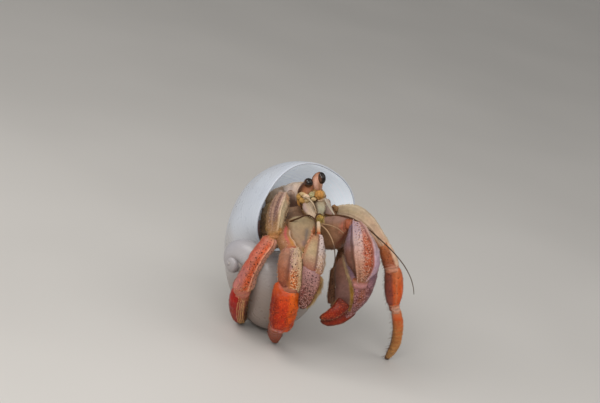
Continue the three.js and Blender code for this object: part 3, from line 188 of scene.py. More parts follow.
EYES = [
    ("eye_r", [1.35, 3.0, 8.75], 0.76, 0.79, 0.78, 0),
    ("eye_l", [3.45, 3.77, 8.6], 0.69, 0.97, 0.7, 7),
]
TUFT = [3.16, -2.67, 12.6]


# ---------------------------------------------------------------- small maths
def unit(v):
    v = np.asarray(v, float)
    return v / np.maximum(np.linalg.norm(v, axis=-1, keepdims=True), 1e-12)


def sstep(x, a, b):
    t = np.clip((np.asarray(x, float) - a) / (b - a), 0, 1)
    return t * t * (3 - 2 * t)


def band(x, lo, hi, soft):
    return sstep(x, lo - soft, lo + soft) * (1 - sstep(x, hi - soft, hi + soft))


def off(a, centre):
    """Signed difference of two angles, in degrees."""
    return (np.asarray(a, float) - centre + 180) % 360 - 180


def bump(a, centre, width):
    """Smooth hump round an angle."""
    return np.exp(-((off(a, centre) / width) ** 2))


def sector(a, centre, half, soft):
    return 1 - sstep(np.abs(off(a, centre)), half - soft, half + soft)


def pchip(x, y, q):
    x, y = np.asarray(x, float), np.asarray(y, float)
    h, d = np.diff(x), np.diff(y) / np.diff(x)
    m = np.zeros_like(y)
    for i in range(1, len(x) - 1):
        if d[i - 1] * d[i] > 0:
            w1, w2 = 2 * h[i] + h[i - 1], h[i] + 2 * h[i - 1]
            m[i] = (w1 + w2) / (w1 / d[i - 1] + w2 / d[i])
    m[0], m[-1] = d[0], d[-1]
    q = np.clip(q, x[0], x[-1])
    i = np.clip(np.searchsorted(x, q, side="right") - 1, 0, len(x) - 2)
    t = (q - x[i]) / h[i]
    return (
        (2 * t**3 - 3 * t**2 + 1) * y[i]
        + (t**3 - 2 * t**2 + t) * h[i] * m[i]
        + (-2 * t**3 + 3 * t**2) * y[i + 1]
        + (t**3 - t**2) * h[i] * m[i + 1]
    )


def catmull(pts, t):
    pts = np.asarray(pts, float)
    n = len(pts)
    x = np.asarray(t, float) * (n - 1)
    i = np.clip(np.floor(x).astype(int), 0, n - 2)
    f = (x - i)[:, None]
    e = np.vstack([2 * pts[0] - pts[1], pts, 2 * pts[-1] - pts[-2]])
    p0, p1, p2, p3 = e[i], e[i + 1], e[i + 2], e[i + 3]
    return 0.5 * (2 * p1 + (p2 - p0) * f + (2 * p0 - 5 * p1 + 4 * p2 - p3) * f**2 + (3 * p1 - p0 - 3 * p2 + p3) * f**3)


def noise(p, scale, seed=0):
    """Smooth lattice noise from 0 to 1 at points in mm; scale is cells per mm."""
    q = np.asarray(p, float) * scale + 100.5
    i = np.floor(q).astype(np.int64)
    f = q - i
    f = f * f * (3 - 2 * f)

    def h(a, b, c):
        n = (i[..., 0] + a) * 73856093 ^ (i[..., 1] + b) * 19349663 ^ (i[..., 2] + c) * 83492791 ^ (seed * 2654435 + 977)
        n = ((n ^ (n >> 13)) * 1274126177) & 0xFFFFFFFF
        return ((n ^ (n >> 15)) & 0xFFFF) / 65535.0

    def mix(a, b, t):
        return a + (b - a) * t

    x, y, z = f[..., 0], f[..., 1], f[..., 2]
    lo = mix(mix(h(0, 0, 0), h(1, 0, 0), x), mix(h(0, 1, 0), h(1, 1, 0), x), y)
    hi = mix(mix(h(0, 0, 1), h(1, 0, 1), x), mix(h(0, 1, 1), h(1, 1, 1), x), y)
    return mix(lo, hi, z)


def col(r, g, b):
    """A colour given as screen values 0-255, as linear light."""
    c = np.array([r, g, b], float) / 255
    return np.where(c <= 0.04045, c / 12.92, ((c + 0.055) / 1.055) ** 2.4)


def mixc(base, other, k):
    k = np.asarray(k, float)[..., None]
    return base * (1 - k) + other * k


def flat_paint(c):
    return lambda t, a, p: np.broadcast_to(c, p.shape).copy()


# ---------------------------------------------------------------- meshes
RICH, DEEP = 1.08, 0.82  # strength and depth of the colours of the body


class Bag:
    """Collects closed parts of one mesh: points in mm, faces, and what the material reads at each point."""

    def __init__(self):
        self.v, self.q, self.t, self.tint, self.dots, self.uv, self.n = [], [], [], [], [], [], 0

    def add(self, v, quads=None, tris=None, tint=None, dots=0.0, uv=None):
        v = np.asarray(v, float).reshape(-1, 3)
        k = len(v)
        self.v.append(v)
        if quads is not None and len(quads):
            self.q.append(np.asarray(quads, np.int64).reshape(-1, 4) + self.n)
        if tris is not None and len(tris):
            self.t.append(np.asarray(tris, np.int64).reshape(-1, 3) + self.n)
        tint = np.asarray(tint if tint is not None else (0.5, 0.5, 0.5), float)
        self.tint.append(np.broadcast_to(tint, (k, 3)).copy() if tint.ndim == 1 else tint.reshape(-1, 3))
        self.dots.append(np.broadcast_to(np.asarray(dots, float).reshape(-1), (k,)).copy() if np.size(dots) == 1 else np.asarray(dots, float).reshape(-1))
        self.uv.append(np.zeros((k, 2)) if uv is None else np.asarray(uv, float).reshape(-1, 2))
        self.n += k

    def build(self, name, material, smooth=True, coat=False):
        v = world(np.concatenate(self.v)).astype(np.float32)
        v[:, 2] = np.maximum(v[:, 2], 0.0)
        q = np.concatenate(self.q) if self.q else np.zeros((0, 4), np.int64)
        t = np.concatenate(self.t) if self.t else np.zeros((0, 3), np.int64)
        me = bpy.data.meshes.new(name)
        me.vertices.add(len(v))
        me.vertices.foreach_set("co", v.ravel())
        loops = np.concatenate([q.ravel(), t.ravel()]).astype(np.int32)
        start = np.concatenate([np.arange(len(q)) * 4, len(q) * 4 + np.arange(len(t)) * 3]).astype(np.int32)
        me.loops.add(len(loops))
        me.loops.foreach_set("vertex_index", loops)
        me.polygons.add(len(start))
        me.polygons.foreach_set("loop_start", start)
        me.update(calc_edges=True)
        me.validate()
        tint = np.clip(np.concatenate(self.tint), 0.0005, 1)
        grey = tint @ np.array([0.25, 0.6, 0.15])
        tint = DEEP * grey[:, None] * (tint / grey[:, None]) ** RICH
        rgba = np.ones((len(v), 4), np.float32)
        rgba[:, :3] = np.clip(tint, 0, 1)
        me.attributes.new("tint", "FLOAT_COLOR", "POINT").data.foreach_set("color", rgba.ravel())
        me.attributes.new("dots", "FLOAT", "POINT").data.foreach_set("value", np.concatenate(self.dots).astype(np.float32))
        if coat:
            uvl = me.uv_layers.new(name="OFBake")
            uv = np.concatenate(self.uv).astype(np.float32)
            idx = np.zeros(len(me.loops), np.int32)
            me.loops.foreach_get("vertex_index", idx)
            uvl.data.foreach_set("uv", uv[idx].ravel())
        if smooth:
            me.shade_smooth()
        me.materials.append(material)
        ob = bpy.data.objects.new(name, me)
        bpy.context.scene.collection.objects.link(ob)
        return ob


def place(ob, slot, *nodes):
    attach(ob, "root")
    if nodes:
        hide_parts(*nodes)
    return ob


def domes(bag, p, n, r, h, tint, lean=None, sides=8, sharp=0.0, dots=0.0):
    """Small closed bumps or spines standing on points p along directions n. lean shifts the tip."""
    p, n = np.asarray(p, float).reshape(-1, 3), unit(np.asarray(n, float).reshape(-1, 3))
    k = len(p)
    if k == 0:
        return
    r, h = np.broadcast_to(r, (k,)), np.broadcast_to(h, (k,))
    lean = np.zeros((k, 3)) if lean is None else np.broadcast_to(lean, (k, 3))
    a = unit(np.cross(n, np.where(np.abs(n[:, :1]) < 0.8, [[1.0, 0, 0]], [[0, 1.0, 0]])))
    b = np.cross(n, a)
    ph = 2 * np.pi * np.arange(sides) / sides
    prof = [(1.0, -0.35), (0.92 - 0.15 * sharp, 0.3), (0.62 - 0.25 * sharp, 0.75)]
    rings = []
    for rho, z in prof:
        c = p + n * (h * z)[:, None] + lean * max(z, 0) ** 1.3
        rings.append(c[:, None] + (r * rho)[:, None, None] * (a[:, None] * np.cos(ph)[None, :, None] + b[:, None] * np.sin(ph)[None, :, None]))
    tip = p + n * h[:, None] + lean
    foot = p - n * (0.4 * h)[:, None]
    v = np.concatenate([np.stack(rings, 1).reshape(k, -1, 3), tip[:, None], foot[:, None]], 1)
    m = 3 * sides
    j = np.arange(sides)
    j1 = (j + 1) % sides
    quads = np.concatenate([np.stack([i * sides + j, i * sides + j1, (i + 1) * sides + j1, (i + 1) * sides + j], 1) for i in range(2)])
    tris = np.concatenate([np.stack([2 * sides + j, 2 * sides + j1, 0 * j + m], 1), np.stack([j1, j, 0 * j + m + 1], 1)])
    base = (np.arange(k) * (m + 2))[:, None, None]
    tint = np.asarray(tint, float)
    if tint.ndim == 2:
        tint = np.repeat(tint, m + 2, 0)
    bag.add(v.reshape(-1, 3), (quads[None] + base).reshape(-1, 4), (tris[None] + base).reshape(-1, 3), tint, dots)


def hairs(bag, p, n, d, length, radius, tint, tip=None, droop=0.0, steps=3, uv=None, curl=0.3):
    """Tapering three-sided bristles: root p, surface normal n, growing towards d, bending over by droop."""
    p, n, d = (np.asarray(x, float).reshape(-1, 3) for x in (p, n, d))
    k = len(p)
    if k == 0:
        return
    length, radius = np.broadcast_to(length, (k,)), np.broadcast_to(radius, (k,))
    d = unit(d)
    bend = unit(np.cross(np.cross(d, n) + 1e-9, d)) * -1
    a = unit(np.cross(d, n + 1e-6))
    b = np.cross(d, a)
    ph = 2 * np.pi * np.arange(3) / 3
    rings = []
    side = RNG.normal(0, 1, (k, 1)) * a * curl
    for i in range(steps):
        s = i / steps
        c = p + d * (length * s)[:, None] + (bend * droop + side) * (length * s * s)[:, None] - n * (0.08 if i == 0 else 0.0) * 0.5
        rr = radius * (1 - 0.75 * s)
        rings.append(c[:, None] + rr[:, None, None] * (a[:, None] * np.cos(ph)[None, :, None] + b[:, None] * np.sin(ph)[None, :, None]))
    end = p + d * length[:, None] + (bend * droop + side) * length[:, None]
    v = np.concatenate([np.stack(rings, 1).reshape(k, -1, 3), end[:, None]], 1)
    m = 3 * steps
    j = np.arange(3)
    j1 = (j + 1) % 3
    quads = np.concatenate([np.stack([i * 3 + j, i * 3 + j1, (i + 1) * 3 + j1, (i + 1) * 3 + j], 1) for i in range(steps - 1)])
    tris = np.concatenate([np.stack([(steps - 1) * 3 + j, (steps - 1) * 3 + j1, 0 * j + m], 1), [[2, 1, 0]]])
    base = (np.arange(k) * (m + 1))[:, None, None]
    tint = np.broadcast_to(np.asarray(tint, float), (k, 3))
    tip = tint if tip is None else np.broadcast_to(np.asarray(tip, float), (k, 3))
    f = np.concatenate([np.repeat(np.arange(steps) / steps, 3), [1.0]])[None, :, None]
    tt = tint[:, None] * (1 - f) + tip[:, None] * f
    if uv is None:
        uv = np.zeros((k, 2))
    spot = np.concatenate([np.stack([np.cos(ph), np.sin(ph)], 1) * 0.0013 * (1 - 0.6 * i / steps) for i in range(steps)] + [np.zeros((1, 2))])
    bag.add(v.reshape(-1, 3), (quads[None] + base).reshape(-1, 4), (tris[None] + base).reshape(-1, 3), tt.reshape(-1, 3), 0.0, (uv[:, None] + spot[None]).reshape(-1, 2))


# ---------------------------------------------------------------- a limb piece: a loft with ridges, closed and rounded at both ends
TILES = {}


class Limb:
    """A plate lofted between its two edges; a (degrees) runs round it: 0 the second edge, 90 the front, 180 the first."""

    def __init__(self, name, edge, square=2.4, nr=90, ns=72, cap=(0.35, 0.35), shape=None, deep=None):
        self.name = name
        front, rear, st = edge
        st = np.asarray(st, float)
        one, two = st[:, [0, 1, 4]], st[:, [2, 3, 4]]
        if st.shape[1] > 5:
            one[:, 2] += st[:, 5]
            two[:, 2] -= st[:, 5]
        mid = (one + two) / 2
        s = np.concatenate([[0], np.cumsum(np.linalg.norm(np.diff(mid, axis=0), axis=1))])
        self.length = float(s[-1])
        s /= s[-1]
        u = np.linspace(0, 1, nr)
        t = 0.002 + 0.996 * (0.5 * u + 0.5 * (1 - np.cos(np.pi * u)) / 2)
        self.t = t
        A, B = (np.stack([pchip(s, e[:, i], t) for i in range(3)], 1) for e in (one, two))
        c = (A + B) / 2
        tan = unit(np.gradient(c, t, axis=0))
        half = np.linalg.norm(B - A, axis=1) / 2
        side = unit(B - A)
        up = unit(np.cross(side, -tan))
        up = up * np.sign(up[:, 2:].mean())
        hw = np.maximum(half, 0.12)
        deep = np.ones(nr) if deep is None else np.interp(t, *deep)
        k = np.ones(nr)
        for d, w in ((t * self.length, cap[0]), ((1 - t) * self.length, cap[1])):
            if w > 0:
                x = np.clip(d / w, 0, 1)
                k = k * np.clip(1 - (1 - x) ** 2.4, 0, 1) ** (1 / 2.4)
        ang = 2 * np.pi * np.arange(ns) / ns
        e = 2 / square
        X = np.sign(np.cos(ang)) * np.abs(np.cos(ang)) ** e
        Y = np.sign(np.sin(ang)) * np.abs(np.sin(ang)) ** e
        Y = np.where(Y > 0, Y * front, Y * rear)
        self.c, self.tan, self.up, self.side = c, tan, up, side
        self.deg = np.degrees(ang)
        P = c[:, None] + side[:, None] * ((half * k)[:, None] * X)[..., None] + up[:, None] * ((hw * deep * k)[:, None] * Y)[..., None]
        T, A = np.broadcast_to(t[:, None], P.shape[:2]), np.broadcast_to(self.deg[None], P.shape[:2])
        N = self._normals(P)
        if shape is not None:
            lift = shape(T, A, P) * (k[:, None] ** 0.5)
            P = P + N * lift[..., None]
            N = self._normals(P)
        self.P, self.N, self.T, self.A = P, N, T, A
        TILES.setdefault(name, len(TILES))

    def _normals(self, P):
        du = np.gradient(P, axis=0)
        dv = np.roll(P, -1, 1) - np.roll(P, 1, 1)
        n = np.cross(dv, du)
        n = unit(n)
        out = P - P.mean(1, keepdims=True)
        return n * np.sign((n * out).sum(-1).mean() + 1e-12)

    def skin(self, bag, paint, dots=None):
        nr, ns = self.P.shape[:2]
        tint = paint(self.T, self.A, self.P)
        dd = np.zeros((nr, ns)) if dots is None else dots(self.T, self.A, self.P)
        i, j = np.arange(nr - 1)[:, None], np.arange(ns)[None]
        j1 = (j + 1) % ns
        quads = np.stack([i * ns + j, i * ns + j1, (i + 1) * ns + j1, (i + 1) * ns + j], -1).reshape(-1, 4)
        v = np.concatenate([self.P.reshape(-1, 3), self.P[0].mean(0)[None], self.P[-1].mean(0)[None]])
        k, j = nr * ns, np.arange(ns)
        j1 = (j + 1) % ns
        tris = np.concatenate([np.stack([j1, j, 0 * j + k], 1), np.stack([(nr - 1) * ns + j, (nr - 1) * ns + j1, 0 * j + k + 1], 1)])
        # faces look outwards
        f = self.P[nr // 2, 1] - self.P[nr // 2, 0]
        g = self.P[nr // 2 + 1, 0] - self.P[nr // 2, 0]
        if np.dot(np.cross(f, g), self.N[nr // 2, 0]) < 0:
            quads, tris = quads[:, ::-1], tris[:, ::-1]
        tt = np.concatenate([tint.reshape(-1, 3), tint[0].mean(0)[None], tint[-1].mean(0)[None]])
        d = np.concatenate([dd.reshape(-1), [0.0], [0.0]])
        bag.add(v, quads, tris, tt, d)

    def at(self, t, a):
        """Point, normal and the way towards the tip, at places t along and angles a (degrees)."""
        t, a = np.broadcast_arrays(np.asarray(t, float), np.asarray(a, float))
        t, a = t.ravel(), a.ravel()
        nr, ns = self.P.shape[:2]
        i = np.clip(np.searchsorted(self.t, t) - 1, 0, nr - 2)
        f = np.clip((t - self.t[i]) / (self.t[i + 1] - self.t[i]), 0, 1)[:, None]
        x = (a % 360) / 360 * ns
        j = np.floor(x).astype(int) % ns
        g = (x - np.floor(x))[:, None]
        j1 = (j + 1) % ns

        def s(G):
            return (G[i, j] * (1 - f) + G[i + 1, j] * f) * (1 - g) + (G[i, j1] * (1 - f) + G[i + 1, j1] * f) * g

        p, n = s(self.P), unit(s(self.N))
        d = unit(self.P[i + 1, j] - self.P[i, j])
        return p, n, unit(d - (d * n).sum(1)[:, None] * n)

    def uv(self, t, a):
        """Place on the unwrap of this limb's skin, in its own tile of the sheet."""
        k = TILES[self.name]
        t, a = np.broadcast_arrays(np.asarray(t, float), np.asarray(a, float))
        u = (k % 10 + 0.06 + 0.88 * (a.ravel() % 360) / 360) / 10
        v = (k // 10 + 0.06 + 0.88 * t.ravel()) / 10
        return np.stack([u, v], 1)


def rows(t0, t1, n, angles, jitter=0.25, ajit=2.0):
    """Staggered rows of places: n along, for each of the angles."""
    tt, aa = [], []
    step = (t1 - t0) / max(n - 1, 1)
    for k, a in enumerate(angles):
        t = t0 + step * (np.arange(n) + (0.5 if k % 2 else 0.0)) + RNG.normal(0, 1, n) * step * jitter * 0.5
        keep = (t > t0 - step) & (t < t1 + step * 0.6)
        tt.append(t[keep])
        aa.append(a + RNG.normal(0, ajit, keep.sum()))
    return np.clip(np.concatenate(tt), 0.01, 0.99), np.concatenate(aa)


def scatter(n, t0, t1, a0, a1):
    return RNG.uniform(t0, t1, n), RNG.uniform(a0, a1, n)


# ---------------------------------------------------------------- materials (all procedural)
class Nodes:
    def __init__(self, name):
        self.m = bpy.data.materials.new(name)
        self.m.use_nodes = True
        self.t = self.m.node_tree
        self.t.nodes.clear()
        self.out = self.t.nodes.new("ShaderNodeOutputMaterial")
        self.bsdf = self.t.nodes.new("ShaderNodeBsdfPrincipled")
        self.link(self.bsdf.outputs[0], self.out.inputs["Surface"])
        self.where = self.t.nodes.new("ShaderNodeTexCoord").outputs["Object"]

    def link(self, a, b):
        self.t.links.new(a, b)

    def set(self, node, key, v):
        s = node.inputs[key]
        if isinstance(v, bpy.types.NodeSocket):
            self.link(v, s)
        else:
            s.default_value = v

    def attr(self, name, kind="Color"):
        n = self.t.nodes.new("ShaderNodeAttribute")
        n.attribute_name = name
        return n.outputs[kind]

    def noise(self, scale, detail=2.0, rough=0.5, where=None, dim="3D"):
        n = self.t.nodes.new("ShaderNodeTexNoise")
        n.noise_dimensions = dim
        if dim == "1D":
            self.set(n, "W", where)
        else:
            self.set(n, "Vector", where or self.where)
        self.set(n, "Scale", scale)
        self.set(n, "Detail", detail)
        self.set(n, "Roughness", rough)
        return n.outputs[0]

    def cells(self, scale, feature="F1", random=0.8, where=None):
        n = self.t.nodes.new("ShaderNodeTexVoronoi")
        n.feature = feature
        self.set(n, "Vector", where or self.where)
        self.set(n, "Scale", scale)
        self.set(n, "Randomness", random)
        return n.outputs["Distance"]

    def ramp(self, v, a, b, lo=0.0, hi=1.0):
        n = self.t.nodes.new("ShaderNodeMapRange")
        n.interpolation_type = "SMOOTHSTEP"
        self.set(n, "Value", v)
        self.set(n, "From Min", a)
        self.set(n, "From Max", b)
        self.set(n, "To Min", lo)
        self.set(n, "To Max", hi)
        return n.outputs[0]

    def math(self, op, a, b=0.0):
        n = self.t.nodes.new("ShaderNodeMath")
        n.operation = op
        self.set(n, 0, a)
        self.set(n, 1, b)
        return n.outputs[0]

    def mix(self, k, a, b, blend="MIX"):
        n = self.t.nodes.new("ShaderNodeMix")
        n.data_type = "RGBA"
        n.blend_type = blend
        n.clamp_result = False
        self.set(n, 0, k)
        for i, v in ((6, a), (7, b)):
            self.set(n, i, v if isinstance(v, bpy.types.NodeSocket) else (*v, 1.0))
        return n.outputs[2]

    def grey(self, v):
        n = self.t.nodes.new("ShaderNodeCombineColor")
        for i in range(3):
            self.link(v, n.inputs[i])
        return n.outputs[0]

    def bump(self, height, strength, distance, normal=None):
        n = self.t.nodes.new("ShaderNodeBump")
        self.set(n, "Strength", strength)
        self.set(n, "Distance", distance)
        self.link(height, n.inputs["Height"])
        if normal is not None:
            self.link(normal, n.inputs["Normal"])
        return n.outputs[0]


def chitin(name, rough=0.44, dot=(60, 22, 18), dot_scale=1700.0, dot_size=0.22, mottle=0.16, stipple=0.04, coat=0.05, bump=0.3, spec=0.20, sss=0.0, sss_rgb=(1.0, 0.4, 0.2)):
    """Horny plate: the painted ground, blotched, stippled with pale grains and dark pits, softly glossy."""
    n = Nodes(name)
    base = n.attr("tint")
    slow = n.noise(700.0, 3.0, 0.55)
    fast = n.noise(5200.0, 2.0, 0.6)
    grain = n.cells(5200.0, random=0.9)
    c = n.mix(1.0, base, n.grey(n.ramp(slow, 0.28, 0.72, 1 - mottle, 1 + mottle)), "MULTIPLY")
    c = n.mix(1.0, c, n.grey(n.ramp(fast, 0.25, 0.75, 1 - 0.5 * mottle, 1 + 0.5 * mottle)), "MULTIPLY")
    c = n.mix(n.ramp(grain, 0.34, 0.12, 0.0, stipple), c, tuple(np.minimum(col(250, 225, 200), 1)))
    pits = n.cells(dot_scale, random=0.75)
    k = n.math("MULTIPLY", n.ramp(pits, dot_size + 0.07, dot_size - 0.03), n.attr("dots", "Fac"))
    c = n.mix(k, c, tuple(col(*dot)))
    b = n.bsdf
    n.link(c, b.inputs["Base Color"])
    n.link(n.ramp(n.noise(2600.0, 2.0), 0.3, 0.7, rough - 0.08, rough + 0.1), b.inputs["Roughness"])
    h = n.math("ADD", n.math("MULTIPLY", grain, -0.5), n.math("MULTIPLY", fast, 0.8))
    h = n.math("SUBTRACT", h, n.math("MULTIPLY", k, 0.9))
    n.link(n.bump(h, bump, 0.00004), b.inputs["Normal"])
    b.inputs["IOR"].default_value = 1.5
    b.inputs["Specular IOR Level"].default_value = spec
    b.inputs["Coat Weight"].default_value = coat
    b.inputs["Coat Roughness"].default_value = 0.22
    if sss:
        b.inputs["Subsurface Weight"].default_value = sss
        b.inputs["Subsurface Radius"].default_value = sss_rgb
        b.inputs["Subsurface Scale"].default_value = 0.0004
    return n.m


def membrane(name):
    n = Nodes(name)
    base = n.attr("tint")
    fold = n.noise(2600.0, 3.0, 0.6)
    c = n.mix(1.0, base, n.grey(n.ramp(fold, 0.3, 0.7, 0.82, 1.12)), "MULTIPLY")
    n.link(c, n.bsdf.inputs["Base Color"])
    n.link(n.ramp(fold, 0.3, 0.7, 0.34, 0.5), n.bsdf.inputs["Roughness"])
    n.link(n.bump(fold, 0.4, 0.00006), n.bsdf.inputs["Normal"])
    n.bsdf.inputs["Specular IOR Level"].default_value = 0.2
    n.bsdf.inputs["Subsurface Weight"].default_value = 0.15
    n.bsdf.inputs["Subsurface Radius"].default_value = (1.0, 0.5, 0.35)
    n.bsdf.inputs["Subsurface Scale"].default_value = 0.0003
    return n.m


def bristle(name):
    n = Nodes(name)
    base = n.attr("tint")
    v = n.noise(1800.0, 2.0)
    c = n.mix(1.0, base, n.grey(n.ramp(v, 0.3, 0.7, 0.75, 1.2)), "MULTIPLY")
    n.link(c, n.bsdf.inputs["Base Color"])
    n.link(n.ramp(v, 0.3, 0.7, 0.4, 0.55), n.bsdf.inputs["Roughness"])
    n.bsdf.inputs["IOR"].default_value = 1.5
    n.bsdf.inputs["Specular IOR Level"].default_value = 0.3
    return n.m


def cornea(name):
    """Polished dark eye: a brown depth with a faint net of facets."""
    n = Nodes(name)
    cell = n.cells(9000.0, "DISTANCE_TO_EDGE", 0.3)
    base = n.mix(n.ramp(cell, 0.02, 0.12), tuple(col(30, 18, 12)), tuple(col(13, 9, 8)))
    base = n.mix(n.attr("dots", "Fac"), base, n.attr("tint"))
    n.link(base, n.bsdf.inputs["Base Color"])
    n.link(n.ramp(n.noise(3000.0), 0.3, 0.7, 0.07, 0.14), n.bsdf.inputs["Roughness"])
    n.bsdf.inputs["IOR"].default_value = 1.56
    n.bsdf.inputs["Coat Weight"].default_value = 0.1
    n.bsdf.inputs["Specular IOR Level"].default_value = 0.3
    n.bsdf.inputs["Coat Roughness"].default_value = 0.04
    return n.m


def porcelain(name):
    """Moon-snail shell: smooth, with fine growth lines across the whorl; its see-through look near the mouth is a
    painted glow (emission).
    """
    n = Nodes(name)
    base = n.attr("tint")
    turn = n.attr("dots", "Fac")
    fine = n.noise(64.0, 1.0, 0.5, turn, "1D")
    broad = n.noise(26.0, 2.0, 0.5, turn, "1D")
    cloud = n.noise(260.0, 3.0, 0.55)
    c = n.mix(1.0, base, n.grey(n.ramp(fine, 0.3, 0.7, 0.965, 1.025)), "MULTIPLY")
    c = n.mix(1.0, c, n.grey(n.ramp(broad, 0.3, 0.7, 0.95, 1.03)), "MULTIPLY")
    c = n.mix(1.0, c, n.mix(n.ramp(cloud, 0.35, 0.7), (1.0, 1.0, 1.0), (0.95, 0.95, 0.965)), "MULTIPLY")
    n.link(c, n.bsdf.inputs["Base Color"])
    n.link(n.ramp(n.noise(900.0, 2.0), 0.3, 0.7, 0.26, 0.4), n.bsdf.inputs["Roughness"])
    n.link(n.bump(n.noise(1500.0, 2.0), 0.05, 0.00003), n.bsdf.inputs["Normal"])
    n.bsdf.inputs["IOR"].default_value = 1.5
    n.bsdf.inputs["Coat Weight"].default_value = 0.15
    n.bsdf.inputs["Coat Roughness"].default_value = 0.3
    # painted glow: the shell emits light in its own colour near the mouth
    n.link(n.mix(1.0, c, (0.97, 0.98, 1.0), "MULTIPLY"), n.bsdf.inputs["Emission Color"])
    n.link(n.math("MULTIPLY", n.attr("wall_glow", "Fac"), 0.42), n.bsdf.inputs["Emission Strength"])
    return n.m


MAT = {
    "tan": chitin("tan_chitin", 0.44, (96, 62, 46), mottle=0.12),
    "mauve": chitin("mauve_chitin", 0.46, (70, 40, 36), mottle=0.16),
    "orange": chitin("orange_chitin", 0.42, (88, 38, 24), mottle=0.13),
    "red": chitin("red_chitin", 0.40, (84, 20, 10), mottle=0.15),
    "purple": chitin("purple_chitin", 0.44, (84, 34, 36), mottle=0.14),
    "brown": chitin("brown_chitin", 0.48, (44, 26, 20), mottle=0.2),
    "cream": chitin("cream_chitin", 0.44, (104, 66, 52), mottle=0.1),
    "gold": chitin("gold_chitin", 0.46, (90, 60, 20), mottle=0.2),
    "feeler": chitin("feeler_chitin", 0.42, (20, 12, 10), mottle=0.2),
    "eye": cornea("cornea"),
    "shell": porcelain("shell_lime"),
    "joint": membrane("joint_skin"),
    "bristle": bristle("bristle"),
}




# ---------------------------------------------------------------- the shell
SHELL = dict(
    growth=[1, 0.759, 0.23], earlier=0.5, radius=6.71, drop=14.02, half_width=9.08, half_height=9.59,
    tilt=math.radians(-27.5), square=2.34, lip=math.radians(15.2), wall=0.95, lip_wall=0.32, column=0.75, ease=0.9,
    navel_reach=3.6, navel_depth=0.9, lift=1.4, lift_from=0.35, lift_to=1.0, sink=0.8, sink_from=0.95, sink_to=1.5,
    pole=np.array([-11.316, -9.795, 7.0]), axis=unit([-0.8305, -0.0407, 0.5555]),
    spindle=[(0, 0.35), (0.7, 0.1), (1.05, -0.6), (1.7, -1.6), (2.3, -3.2), (2.5, -4.6), (2.0, -6.4), (1.3, -9), (1.3, -15.2), (0.95, -16.6), (0, -17.2)],
)
AX = SHELL["axis"]
NX = unit(np.array([0.55, 0, 0.83]) - np.dot([0.55, 0, 0.83], AX) * AX)
OX = np.cross(AX, NX)
LIP = SHELL["lip"]
SIZES = list(SHELL["growth"])
while len(SIZES) < 9:
    SIZES.append(SIZES[-1] * SHELL["earlier"])


def growth(th):
    L = np.log(np.array(SIZES))
    n = len(L)
    x = np.clip((LIP - np.asarray(th)) / math.pi, 0, n - 1.0001)
    i = np.floor(x).astype(int)
    f = x - i
    e = np.concatenate([[2 * L[0] - L[1]], L, [2 * L[-1] - L[-2]]])
    p0, p1, p2, p3 = e[i], e[i + 1], e[i + 2], e[np.minimum(i + 3, n + 1)]
    return np.exp(0.5 * (2 * p1 + (p2 - p0) * f + (2 * p0 - 5 * p1 + 4 * p2 - p3) * f * f + (3 * p1 - p0 - 3 * p2 + p3) * f**3))


def whorl(th, ph, inset=0.0):
    """Points of the whorl at turns th and section angles ph, moved inwards by inset (mm)."""
    th, ph = np.asarray(th, float)[:, None], np.asarray(ph, float)[None]
    inset = np.broadcast_to(np.asarray(inset, float).reshape(-1, 1) if np.ndim(inset) == 1 else inset, (th.shape[0], ph.shape[1]))
    g = growth(th)
    S = SHELL
    e = 2 / S["square"]
    x = np.sign(np.cos(ph)) * np.abs(np.cos(ph)) ** e * (S["half_width"] * g - inset)
    y = np.sign(np.sin(ph)) * np.abs(np.sin(ph)) ** e * (S["half_height"] * g - inset)
    ct, st = math.cos(S["tilt"]), math.sin(S["tilt"])
    wide = S["radius"] * g + x * ct - y * st
    ease = (wide / g - S["column"]) / S["ease"]
    out = g * (S["column"] + S["ease"] * np.log1p(np.exp(ease))) + inset / (1 + np.exp(ease))
    near = np.where(y < 0, np.clip(S["navel_reach"] * g - wide, 0, S["navel_reach"] * g), 0)
    lift = S["lift"] * sstep(-th / (2 * math.pi), S["lift_from"], S["lift_to"]) - S["sink"] * sstep(-th / (2 * math.pi), S["sink_from"], S["sink_to"])
    down = lift - S["drop"] * g + x * st + y * ct + S["navel_depth"] * near**2 / (S["navel_reach"] * g)
    way = np.cos(th)[..., None] * OX + np.sin(th)[..., None] * NX
    return S["pole"] + out[..., None] * way + down[..., None] * AX


def grid_normals(P):
    du, dv = np.gradient(P, axis=0), np.roll(P, -1, 1) - np.roll(P, 1, 1)
    n = unit(np.cross(dv, du))
    return n * np.sign((n * (P - P.mean(1, keepdims=True))).sum(-1).mean())


def wrinkle(th):
    """Relief of the growth lines, in mm."""
    p = np.stack([th * 9.0, 0 * th, 0 * th], -1)
    q = np.stack([th * 26.0, 0 * th + 5, 0 * th], -1)
    return 0.026 * (noise(p, 1.0, 3) - 0.5) + 0.006 * (noise(q, 1.0, 4) - 0.5)


def closed_grid(rings):
    """A closed solid from a stack of rings (n, m, 3), with a point at each end."""
    n, m = rings.shape[:2]
    i, j = np.arange(n - 1)[:, None], np.arange(m)[None]
    j1 = (j + 1) % m
    q = np.stack([i * m + j, i * m + j1, (i + 1) * m + j1, (i + 1) * m + j], -1).reshape(-1, 4)
    v = np.concatenate([rings.reshape(-1, 3), rings[0].mean(0)[None], rings[-1].mean(0)[None]])
    k, j = n * m, np.arange(m)
    j1 = (j + 1) % m
    t = np.concatenate([np.stack([j1, j, 0 * j + k], 1), np.stack([(n - 1) * m + j, (n - 1) * m + j1, 0 * j + k + 1], 1)])
    return v, q, t


